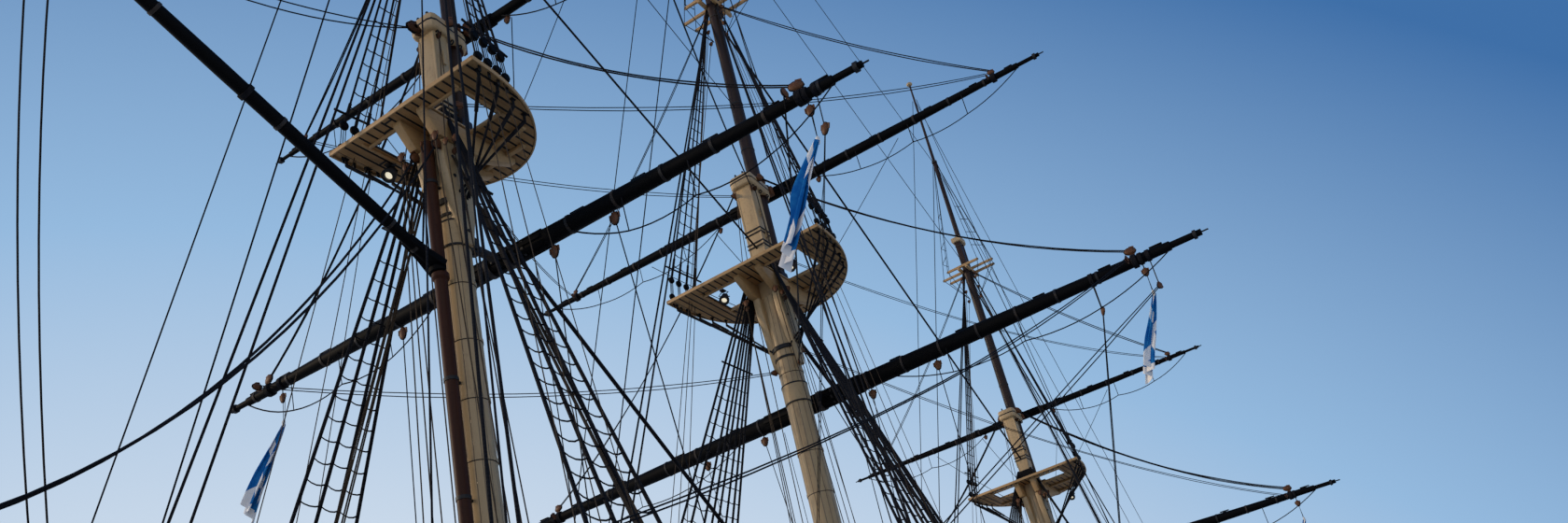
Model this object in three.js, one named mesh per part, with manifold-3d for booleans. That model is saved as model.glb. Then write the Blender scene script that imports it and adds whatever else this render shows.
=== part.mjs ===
// A three-masted wooden frigate, as a 1:2 scale model, with only her lower and topsail yards crossed.
// Frame: +X to the bow, +Y to port, +Z up. The origin is on the waterline, under the main mast's axis.
// The tables are in metres of the full-size ship. The model is in millimetres.
import * as THREE from 'three';
import { mergeVertices } from 'three/addons/utils/BufferGeometryUtils.js';
import Module from 'manifold-3d';

const wasm = await Module();
wasm.setup();

const M = 500;             // model millimetres for each metre of the ship, so 1:2
const GAP = 0.3;           // millimetres between two pieces that touch
const PIN_PLAY = 0.3;      // millimetres round a pin in its eye
const SWING_PLAY = 6;      // millimetres between a moving piece and its neighbour
const ROUND = 20;          // sides of a mast, ring or pin
const SPAR_SIDES = 12;     // sides of a yard or boom
const ROPE_SIDES = 8;

// Finishes, as seen in evening light
const paint = (color, roughness, metalness = 0) =>
  new THREE.MeshStandardMaterial({ color, roughness, metalness });
const BLACK_PAINT = () => paint(0x17161a, 0.45);
const CREAM_PAINT = () => paint(0xd9c7a0, 0.5);
const TOP_BOARDS = () => paint(0xb09368, 0.7);
const DARK_WOOD = () => paint(0x4a3222, 0.55);
const DECK_WOOD = () => paint(0xa88b62, 0.8);
const TAR = () => paint(0x121013, 0.8);
const IRON = () => paint(0x1d1d20, 0.5, 0.7);
const COPPER = () => paint(0x6c4a35, 0.6, 0.6);
const FLAG_CLOTH = () => paint(0x1c5cae, 0.85);

// Hull. Each ring runs round the hull at one height: z is its height amidships, aft and fore are its ends,
// beam is its greatest half breadth, stern and bow its half breadths at the ends, run and entry how full
// it stays towards the ends, sheer how much it follows the deck's curve, and bluff how round the bow is,
// with 1 for a sharp bow.
const RINGS = [
  // z, aft, fore, beam, stern, bow, run, entry, sheer, bluff
  [-4.90, -19.60, 20.20, 0.30, 0.15, 0.15, 1.2, 1.5, 0.0, 1],
  [-4.45, -19.66, 21.60, 2.20, 0.15, 0.15, 1.1, 1.5, 0.0, 1],
  [-3.60, -19.76, 22.70, 4.20, 0.16, 0.15, 1.2, 1.7, 0.0, 0.96],
  [-2.40, -19.90, 23.60, 5.40, 0.17, 0.15, 1.4, 2.0, 0.0, 0.92],
  [-1.10, -20.05, 24.30, 5.95, 0.18, 0.15, 1.7, 2.2, 0.0, 0.88],
  [0.00, -20.17, 24.70, 6.05, 0.22, 0.15, 2.1, 2.5, 0.2, 0.83],
  [1.00, -20.31, 25.00, 6.00, 0.50, 0.16, 2.7, 2.8, 0.6, 0.78],
  [1.70, -20.41, 25.20, 5.86, 2.20, 0.16, 3.2, 3.0, 0.8, 0.72],
  [2.25, -21.30, 25.35, 5.69, 3.90, 0.16, 3.2, 3.2, 1.0, 0.67],
  [3.05, -22.40, 25.50, 5.37, 4.08, 0.17, 2.9, 3.4, 1.0, 0.61],
  [4.00, -22.75, 25.70, 5.03, 3.86, 0.17, 2.7, 3.6, 1.0, 0.56],
];
const RAIL_RING = [5.25, -23.15, 25.90, 4.80, 3.62, 0.17, 2.6, 3.6, 1.05, 0.54];
const WIDEST = 2.0;                 // x of the midship section
const DECK_Z = 4.0;                 // deck at the midship section
const DECK_RISE = { fore: 0.9, aft: 0.45, foreRun: 23, aftRun: 25 };
const STATIONS = [0, 0.03, 0.08, 0.15, 0.23, 0.31, 0.39, 0.47, 0.55, 0.63, 0.70, 0.77, 0.83, 0.88, 0.92, 0.95,
  0.975, 0.99, 1];
const WALL = 0.26;                  // thickness of the bulwarks
const KEEL = { half: 0.15, bottom: -5.35, postTop: 1.25 };
const DECK_SLAB = 0.08;
const DECK_AFT = 0.0065;            // station of the deck's after end, just inside the taffrail
const WATERWAY = 0.03;              // between the deck's edge and the bulwark

// Rudder: its stock stands on the line of the sternpost's after edge
const RUDDER_AXIS = { foot: [-20.20, -5.20], head: [-20.98, 3.0] };
const RUDDER = { stock: 0.20, width: 1.45, headWidth: 0.75, half: 0.15, top: 1.55 };

// Masts: x where the axis meets the waterline, rake in degrees, and heights above water.
// ahead is the topmast's axis before the lower mast's, and ahead2 the topgallant mast's before the topmast's.
const MASTS = {
  mizzen: { x: -13.237, rake: 0.759, top: 17.752, cap: 20.62, trees: 26.4, head: 27.9, stop: 31.6, truck: 35.6,
    foot: 0.31, hounds: 0.27, side: 0.42, topmast: 0.165, topgallant: 0.10, ahead: 0.58, ahead2: 0.33,
    topAft: 1.17, topHalf: 1.99, topLong: 3.15, treeHalf: 0.95 },
  main: { x: 0, rake: 1.547, top: 19.410, cap: 23.08, trees: 30.60, head: 32.4, stop: 37.0, truck: 42.4,
    foot: 0.38, hounds: 0.34, side: 0.52, topmast: 0.215, topgallant: 0.13, ahead: 0.74, ahead2: 0.42,
    topAft: 1.58, topHalf: 2.62, topLong: 4.08, treeHalf: 1.30 },
  fore: { x: 19.698, rake: 1.599, top: 17.441, cap: 20.80, trees: 28.20, head: 29.9, stop: 34.4, truck: 39.24,
    foot: 0.34, hounds: 0.31, side: 0.48, topmast: 0.205, topgallant: 0.125, ahead: 0.70, ahead2: 0.40,
    topAft: 1.05, topHalf: 2.45, topLong: 3.85, treeHalf: 1.26 },
};
const TOP = { thick: 0.10, rim: 0.06, treeDeep: 0.30, treeWide: 0.20, crossDeep: 0.18, crossWide: 0.18 };
const CAP = { thick: 0.42, wall: 0.12 };
const CHEEK = { long: 2.3, deep: 0.44, thick: 0.10 };

// Yards: mast, height of the slings, half length, distance before the mast's axis, port end's rise in
// degrees, radius at the slings, and how it is held: a truss on the lower mast or a parrel on the topmast
const YARDS = [
  ['crossjack_yard', 'mizzen', 15.159, 8.463, 1.275, 1.33, 0.19, 'truss'],
  ['mizzen_topsail_yard', 'mizzen', 20.871, 6.180, 1.00, 1.34, 0.115, 'parrel'],
  ['main_yard', 'main', 15.666, 11.500, 1.00, 0.23, 0.25, 'truss'],
  ['main_topsail_yard', 'main', 22.993, 9.305, 1.28, 0.815, 0.165, 'parrel'],
  ['fore_yard', 'fore', 13.850, 10.937, 0.95, 1.53, 0.215, 'truss'],
  ['fore_topsail_yard', 'fore', 20.769, 8.133, 1.22, 0.75, 0.145, 'parrel'],
];
const PARREL = { wall: 0.05, deep: 0.22, half: 0.16 };
const TRUSS = { pin: 0.07, eye: 0.13, reach: 0.20, deep: 0.16, band: 0.035, lug: 0.06, arm: 0.2 };

// Spanker gear on the trysail mast, which stands close abaft the mizzen mast
const TRYSAIL = { behind: 0.50, radius: 0.125, saddle: 0.04, top: 17.2 };
const GAFF = { height: 14.28, length: 12.5, rise: 24.4, radius: 0.13 };
const BOOM = { height: 7.0, length: 17.0, rise: 3.0, radius: 0.16 };
const JAW = { wall: 0.085, deep: 0.22, wrap: 80 };

// Bowsprit and jib-boom: the jib-boom's heel is measured along the bowsprit
const BOWSPRIT = { heel: [22.3, 5.12], length: 15.0, rise: 27, radius: 0.34, taper: 0.66 };
const JIB_BOOM = { heel: 9.6, length: 12.4, radius: 0.15, above: 0.50 };
const STRIKER = { length: 2.9, radius: 0.08 };

// Stays between the masts and forward: each end is a mast's name and height, or a spar's name and the
// distance along it
const STAYS = [
  ['fore_stay', ['fore', 16.55], ['bowsprit', 8.4], 0.055],
  ['main_stay', ['main', 18.45], ['fore', 5.7], 0.060],
  ['mizzen_stay', ['mizzen', 16.95], ['main', 6.5], 0.045],
  ['fore_topmast_stay', ['fore_topmast', 27.6], ['jib_boom', 7.4], 0.030],
  ['main_topmast_stay', ['main_topmast', 30.0], ['fore', 18.35], 0.035],
  ['mizzen_topmast_stay', ['mizzen_topmast', 25.8], ['main', 20.35], 0.028],
];

// Signal flags, which hang from blocks under the lower yards and drift to port
const FLAGS = [
  // name, yard's row, distance to port
  ['flag_mizzen_port', 0, 6.7], ['flag_mizzen_starboard', 0, -7.3],
  ['flag_main_port', 2, 9.9], ['flag_main_starboard', 2, -9.9],
  ['flag_fore_port', 4, 9.4], ['flag_fore_starboard', 4, -9.4],
];
const FLAG = { halyard: 0.02, head: 1.0, drop: 1.9, drift: 1.1, narrow: 0.09, wide: 0.32 };

// Fittings on deck: x, and sizes
const WHEEL = { x: -17.4, axle: 1.0, rim: 0.56, spoke: 0.80, spokes: 10, at: 0.42 };
const CAPSTAN = { x: -7.6, base: 0.62, drum: 0.34, head: 0.52, high: 1.15, whelps: 6 };
const HATCH = { x: [6.2, 9.4], half: 1.25, high: 0.34 };
const SKYLIGHT = { x: [-11.6, -9.8], half: 0.8, high: 0.75 };
const BINNACLE = { x: [-15.9, -15.4], half: 0.5, high: 1.15 };
const BITTS = { x: 16.3, half: 0.75, high: 1.1, post: 0.16 };
const CATHEAD = { from: [20.6, 1.15], to: [23.9, 4.15], high: 0.36, shank: 3.3, stock: 1.5, arm: 1.05 };

// Helper functions

// A closed BufferGeometry as a manifold solid
function solid(geometry) {
  const plain = geometry.index ? geometry.toNonIndexed() : geometry.clone();
  for (const name of Object.keys(plain.attributes)) if (name !== 'position') plain.deleteAttribute(name);
  const merged = mergeVertices(plain, 1e-3);
  return new wasm.Manifold(new wasm.Mesh({
    numProp: 3,
    vertProperties: new Float32Array(merged.attributes.position.array),
    triVerts: new Uint32Array(merged.index.array),
  }));
}

// A manifold solid as a BufferGeometry
function geometryOf(manifold) {
  const mesh = manifold.getMesh();
  const geometry = new THREE.BufferGeometry();
  geometry.setAttribute('position', new THREE.BufferAttribute(new Float32Array(mesh.vertProperties), 3));
  geometry.setIndex(new THREE.BufferAttribute(new Uint32Array(mesh.triVerts), 1));
  geometry.computeVertexNormals();
  return geometry;
}

const join = (...parts) => parts.reduce((a, b) => a.add(b));
const cut = (first, ...rest) => rest.reduce((a, b) => a.subtract(b), first);
const shifted = (manifold, x, y, z) => manifold.translate([x, y, z]);

// The first solid, cut so that it keeps the gap to its neighbours on every side
const WAYS = [[0, 0, 0], [1, 0, 0], [-1, 0, 0], [0, 1, 0], [0, -1, 0], [0, 0, 1], [0, 0, -1]];
const clearOf = (first, ...rest) => cut(first,
  ...rest.flatMap((other) => WAYS.map((way) => shifted(other, ...way.map((step) => step * GAP)))));

// A solid carried through a three.js matrix
function placed(manifold, matrix) {
  return manifold.transform(Array.from(matrix.elements));
}

// A round bar on the Z axis from a profile of [height, radius] in metres
function turned(profile, sides = ROUND) {
  const points = profile.map(([z, r]) => new THREE.Vector2(r * M, z * M));
  points.unshift(new THREE.Vector2(0, profile[0][0] * M));
  points.push(new THREE.Vector2(0, profile[profile.length - 1][0] * M));
  return solid(new THREE.LatheGeometry(points, sides).rotateX(Math.PI / 2));
}

// A profile of [radius, height] in millimetres, turned about Z so that its flats face a round bar's corners
const facing = (profile) => solid(new THREE.LatheGeometry(
  profile.map(([r, z]) => new THREE.Vector2(r, z)), ROUND, Math.PI / ROUND,
).rotateX(Math.PI / 2));
const boreRadius = (pin, play) => (pin * M + play) / Math.cos(Math.PI / ROUND);

// The bore for a round pin, clear of it by play
function bore(pin, low, high) {
  const radius = boreRadius(pin, PIN_PLAY);
  return facing([[0, low * M], [radius, low * M], [radius, high * M], [0, high * M]]);
}

// A ring on the Z axis round such a bore
function ring(pin, outer, low, high, play = PIN_PLAY) {
  const hole = boreRadius(pin, play);
  return facing([[hole, low * M], [outer * M, low * M], [outer * M, high * M], [hole, high * M], [hole, low * M]]);
}

// A box from its lowest to its highest corner, in metres
function block([x0, y0, z0], [x1, y1, z1]) {
  const box = new THREE.BoxGeometry((x1 - x0) * M, (y1 - y0) * M, (z1 - z0) * M);
  return solid(box.translate((x0 + x1) / 2 * M, (y0 + y1) / 2 * M, (z0 + z1) / 2 * M));
}

// A flat outline in metres, extruded upwards from low to high
function slab(outline, low, high, holes = []) {
  const shape = new THREE.Shape(outline.map(([x, y]) => new THREE.Vector2(x * M, y * M)));
  for (const hole of holes) shape.holes.push(new THREE.Path(hole.map(([x, y]) => new THREE.Vector2(x * M, y * M))));
  const extruded = new THREE.ExtrudeGeometry(shape, { depth: (high - low) * M, bevelEnabled: false });
  return solid(extruded.translate(0, 0, low * M));
}

// An outline in the ship's centre plane, [x, z] in metres, made half metres thick to each side
function profilePlate(outline, half) {
  const shape = new THREE.Shape(outline.map(([x, z]) => new THREE.Vector2(x * M, z * M)));
  const extruded = new THREE.ExtrudeGeometry(shape, { depth: 2 * half * M, bevelEnabled: false });
  return solid(extruded.rotateX(Math.PI / 2).translate(0, half * M, 0));
}

// A rope or bar between two points in metres
function bar(from, to, radius, sides = ROPE_SIDES, endRadius = radius) {
  const a = new THREE.Vector3(...from).multiplyScalar(M);
  const b = new THREE.Vector3(...to).multiplyScalar(M);
  const along = b.clone().sub(a);
  const tube = new THREE.CylinderGeometry(endRadius * M, radius * M, along.length(), sides);
  tube.applyQuaternion(new THREE.Quaternion().setFromUnitVectors(new THREE.Vector3(0, 1, 0), along.normalize()));
  return solid(tube.translate((a.x + b.x) / 2, (a.y + b.y) / 2, (a.z + b.z) / 2));
}

const ship = new THREE.Group();

function add(name, shape, material, parent = ship) {
  const mesh = new THREE.Mesh(geometryOf(shape), material);
  mesh.name = name;
  parent.add(mesh);
  return mesh;
}

// Hull, keel, deck and bulwarks

const degrees = (angle) => angle * Math.PI / 180;
const deckRise = (x) => (x > WIDEST
  ? DECK_RISE.fore * ((x - WIDEST) / DECK_RISE.foreRun) ** 2
  : DECK_RISE.aft * ((WIDEST - x) / DECK_RISE.aftRun) ** 2);

// The point of a hull ring at station s, which runs from 0 at the stern to 1 at the bow
function ringPoint([z, aft, fore, beam, stern, bow, run, entry, sheer, bluff], s) {
  const x = aft + (fore - aft) * s;
  const height = z + sheer * deckRise(x);
  if (x > WIDEST) {
    const t = Math.min(1, (x - WIDEST) / (fore - WIDEST));
    return [x, bow + (beam - bow) * (1 - t ** entry) ** bluff, height];
  }
  const t = (WIDEST - x) / (WIDEST - aft);
  return [x, stern + (beam - stern) * (1 - t ** run), height];
}

// A closed shell through rings of the same number of points. Each ring runs the same way round, and the
// first and last rings are closed by strips between the points that lie opposite each other.
function loft(rings) {
  const count = rings[0].length;
  const positions = rings.flat(2).map((value) => value * M);
  const faces = [];
  const at = (k, i) => k * count + ((i + count) % count);
  for (let k = 0; k + 1 < rings.length; k += 1) {
    for (let i = 0; i < count; i += 1) {
      faces.push(at(k, i), at(k, i + 1), at(k + 1, i + 1), at(k, i), at(k + 1, i + 1), at(k + 1, i));
    }
  }
  const last = rings.length - 1;
  for (let i = 0; i + 1 < count / 2; i += 1) {
    const j = count - 1 - i;
    faces.push(at(0, i), at(0, j), at(0, j - 1), at(0, i), at(0, j - 1), at(0, i + 1));
    faces.push(at(last, i), at(last, j - 1), at(last, j), at(last, i), at(last, i + 1), at(last, j - 1));
  }
  const geometry = new THREE.BufferGeometry();
  geometry.setAttribute('position', new THREE.BufferAttribute(new Float32Array(positions), 3));
  geometry.setIndex(faces);
  return solid(geometry);
}

// A ring of points round the ship: starboard side from stern to bow, then port side back
const aroundShip = (side) => [
  ...STATIONS.map((s) => { const [x, y, z] = side(s); return [x, -y, z]; }),
  ...[...STATIONS].reverse().map(side),
];

const hullShell = loft(RINGS.map((row) => aroundShip((s) => ringPoint(row, s))));
const deckRing = RINGS[RINGS.length - 1];

// The inside of the bulwark at station s, its wall measured square to the side
function insidePoint(row, s, wall) {
  const step = 0.002;
  const before = ringPoint(row, Math.max(0, s - step));
  const after = ringPoint(row, Math.min(1, s + step));
  const along = Math.hypot(after[0] - before[0], after[1] - before[1]);
  const [x, y, z] = ringPoint(row, s);
  const inX = x + (after[1] - before[1]) / along * wall;
  const inY = y - (after[0] - before[0]) / along * wall;
  return [inX, Math.max(inY, 0.02), z];
}

// What stands on the hull starts a little low and is cut clear of it
const BEDDING = 0.04;
const SHY = 0.02;                   // how far its foot stands in from the hull's side
const onHull = (piece) => clearOf(piece, hullShell);

// One side's bulwark, as a loft of four-cornered sections along the side
function bulwark(side) {
  const sections = [DECK_AFT / 10, ...STATIONS.slice(1)].map((s) => {
    const [ox, oy, oz] = insidePoint(deckRing, s, SHY);
    const [tx, ty, tz] = ringPoint(RAIL_RING, s);
    const [ix, iy, iz] = insidePoint(deckRing, s, WALL);
    const [ux, uy, uz] = insidePoint(RAIL_RING, s, WALL);
    const corners = [[ox, oy, oz - BEDDING], [tx, ty, tz], [ux, uy, uz], [ix, iy, iz - BEDDING]];
    return corners.map(([x, y, z]) => [x, side * y, z]);
  });
  return onHull(loft(side > 0 ? sections : sections.map((section) => [...section].reverse())));
}

// The deck's boards, inside the bulwarks
const deckTop = (x) => DECK_Z + deckRise(x) + DECK_SLAB;
const deckStations = [DECK_AFT, ...STATIONS.slice(1, -2)];
const deckEdge = deckStations.map((s) => insidePoint(deckRing, s, WALL + WATERWAY));
const deckHalf = (dz) => (points) => [
  ...points.map(([x, y]) => [x, -y, DECK_Z + deckRise(x) + dz]),
  ...[...points].reverse().map(([x, y]) => [x, y, DECK_Z + deckRise(x) + dz]),
];
const deckSlab = onHull(loft([deckHalf(-BEDDING)(deckEdge), deckHalf(DECK_SLAB)(deckEdge)]));
// All the room up to just above the deck, which pieces that stand on it are cut clear of
const deckRoom = loft([deckHalf(-1.5)(deckEdge), deckHalf(DECK_SLAB + GAP / M)(deckEdge)]);
const onDeck = (piece) => cut(piece, deckRoom);

// Channels: planks along each side that spread the lower shrouds, just below the deck's edge
const CHANNELS = [
  // x aft, x fore, height
  [-17.6, -13.2, 3.95],
  [-5.9, 0.3, 3.65],
  [13.8, 19.4, 4.05],
];
const CHANNEL = { out: 0.52, in: 0.6, thick: 0.14 };
const sideBreadth = (x) => {
  const s = (x - deckRing[1]) / (deckRing[2] - deckRing[1]);
  return ringPoint(deckRing, s)[1];
};
function channel([aft, fore, height], side) {
  const outline = [
    [aft, sideBreadth(aft) - CHANNEL.in], [fore, sideBreadth(fore) - CHANNEL.in],
    [fore, sideBreadth(fore) + CHANNEL.out * 0.8], [fore - 0.4, sideBreadth(fore - 0.4) + CHANNEL.out],
    [aft + 0.4, sideBreadth(aft + 0.4) + CHANNEL.out], [aft, sideBreadth(aft) + CHANNEL.out * 0.8],
  ].map(([x, y]) => [x, side * y]);
  const ordered = side > 0 ? outline : outline.reverse();
  return slab(ordered, height - 0.25 - CHANNEL.thick, height - 0.25);
}

// The rudder stock's bore runs up through the counter into the hull
const axisAt = (z) => {
  const { foot, head } = RUDDER_AXIS;
  return foot[0] + (head[0] - foot[0]) * (z - foot[1]) / (head[1] - foot[1]);
};
const rudderTilt = Math.atan2(RUDDER_AXIS.head[0] - RUDDER_AXIS.foot[0], RUDDER_AXIS.head[1] - RUDDER_AXIS.foot[1]);
const rudderGroup = new THREE.Group();
rudderGroup.position.set(RUDDER_AXIS.foot[0] * M, 0, RUDDER_AXIS.foot[1] * M);
rudderGroup.rotation.y = rudderTilt;
rudderGroup.updateMatrixWorld();
const stockTop = 3.2 - RUDDER_AXIS.foot[1];
const rudderBore = placed(bore(RUDDER.stock, 6.0, stockTop + 0.02), rudderGroup.matrixWorld);

const channels = CHANNELS.flatMap((row) => [channel(row, 1), channel(row, -1)]);
const hull = cut(join(hullShell, ...channels), rudderBore);
add('hull', hull, BLACK_PAINT());
add('upper_deck', deckSlab, DECK_WOOD());

// The bowsprit's own frame: Z along it, -X above it
const bowspritGroup = new THREE.Group();
bowspritGroup.position.set(BOWSPRIT.heel[0] * M, 0, BOWSPRIT.heel[1] * M);
bowspritGroup.rotation.y = degrees(90 - BOWSPRIT.rise);
bowspritGroup.updateMatrixWorld();
ship.add(bowspritGroup);
const bowspritPole = (extra) => turned([
  [-extra, BOWSPRIT.radius + extra], [BOWSPRIT.length, BOWSPRIT.radius * BOWSPRIT.taper + extra],
]);
const bowspritHole = placed(bowspritPole(GAP / M / Math.cos(Math.PI / ROUND)), bowspritGroup.matrixWorld);
const bulwarks = { port: cut(bulwark(1), bowspritHole), starboard: cut(bulwark(-1), bowspritHole) };
for (const [side, wall] of Object.entries(bulwarks)) add(`bulwark_${side}`, wall, BLACK_PAINT());

// Taffrail: the bulwark across the stern, between the inside faces of the side bulwarks
const taffrailSections = [deckRing, RAIL_RING].map((row) => {
  const [x, , z] = ringPoint(row, 0);
  const half = insidePoint(row, 0, WALL)[1] - GAP / M;
  const base = row === deckRing ? z - BEDDING : z;
  return [[x + SHY, -half, base], [x + WALL, -half, base], [x + WALL, half, base], [x + SHY, half, base]];
});
add('taffrail', onHull(loft(taffrailSections)), BLACK_PAINT());

// Keel, stem, knee of the head and sternpost, in one plate that follows the hull's centre line
const clear = GAP / M;
const bowLine = RINGS.map((row) => { const [x, , z] = ringPoint(row, 1); return [x + clear, z]; });
const sternLine = RINGS.slice(0, 8).map((row) => { const [x, , z] = ringPoint(row, 0); return [x - clear, z]; });
const railTop = ringPoint(RAIL_RING, 1);
const stemOutline = [
  ...[...sternLine].reverse(),
  [sternLine[0][0], RINGS[0][0] - clear], [bowLine[0][0], RINGS[0][0] - clear],
  ...bowLine, [railTop[0] + clear, railTop[2]],
  [26.35, 6.25], [26.5, 5.5], [27.6, 5.65], [28.7, 6.25], [29.35, 6.05], [29.5, 5.45], [29.1, 4.9],
  [28.2, 4.1], [27.4, 3.1], [26.7, 1.9], [26.2, 0.6], [25.7, -1.6], [24.8, -3.4], [23.2, -4.7], [21.3, KEEL.bottom],
  [-20.05, KEEL.bottom], [-20.05, -5.1],
  [axisAt(KEEL.postTop) + RUDDER.stock + SWING_PLAY / M, KEEL.postTop - 0.35],
  [sternLine[7][0] - 0.12, KEEL.postTop],
];
const rudderSweep = placed(
  turned([[-0.3, RUDDER.stock + SWING_PLAY / M], [stockTop, RUDDER.stock + SWING_PLAY / M]]),
  rudderGroup.matrixWorld,
);
const keel = cut(profilePlate(stemOutline.reverse(), KEEL.half), rudderSweep, bowspritHole);
add('keel_and_stem', keel, COPPER());

// Rudder: blade and stock in the raked frame of its axis
const bladeFoot = 0.1;
const bladeTop = RUDDER.top - RUDDER_AXIS.foot[1];
const blade = profilePlate([
  [0, bladeFoot], [0, bladeTop], [-RUDDER.headWidth, bladeTop], [-RUDDER.headWidth, bladeTop - 0.5],
  [-1.05, 4.6], [-RUDDER.width, bladeFoot + 1.2], [-RUDDER.width, bladeFoot],
].reverse(), RUDDER.half);
const rudder = join(blade, turned([[bladeFoot, RUDDER.stock], [stockTop, RUDDER.stock]]));
ship.add(rudderGroup);
add('rudder', rudder, COPPER(), rudderGroup);

// Masts

const mastGroups = {};
for (const [name, mast] of Object.entries(MASTS)) {
  const group = new THREE.Group();
  group.position.set(mast.x * M, 0, 0);
  group.rotation.y = -degrees(mast.rake);
  group.updateMatrixWorld();
  ship.add(group);
  mastGroups[name] = group;
}
const insideGroup = (manifold, group) => placed(manifold, group.matrixWorld.clone().invert());

// The outline of a top: square across its after edge and rounded forwards
function topOutline({ topAft, topHalf, topLong }, inset = 0) {
  const bend = 2.4;
  const steps = [0, 0.16, 0.32, 0.48, 0.62, 0.74, 0.84, 0.92, 0.97];
  const port = steps.map((u) => [
    -topAft + inset + u * (topLong - 2 * inset), (topHalf - inset) * Math.sqrt(1 - u ** bend),
  ]);
  const tip = [[-topAft + topLong - inset, 0]];
  return [...port.map(([x, y]) => [x, -y]), ...tip, ...port.reverse()];
}

// A ring outline round the topmast and a square round the masthead, as the cap has
function capOutline({ side, topmast, ahead }) {
  const aftEnd = side / 2 + CAP.wall;
  const nose = topmast + CAP.wall;
  const arc = Array.from({ length: 9 }, (_, i) => degrees(-90 + i * 22.5));
  return [
    [-aftEnd + 0.08, -aftEnd], ...arc.map((a) => [ahead + nose * Math.cos(a), nose * Math.sin(a)]),
    [-aftEnd + 0.08, aftEnd], [-aftEnd, aftEnd - 0.12], [-aftEnd, -aftEnd + 0.12],
  ];
}
const circle = (x, y, radius, sides = ROUND) => Array.from({ length: sides }, (_, i) => {
  const angle = 2 * Math.PI * i / sides;
  return [x + radius * Math.cos(angle), y + radius * Math.sin(angle)];
});
const rectangle = (x0, y0, x1, y1) => [[x0, y0], [x1, y0], [x1, y1], [x0, y1]];

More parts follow.
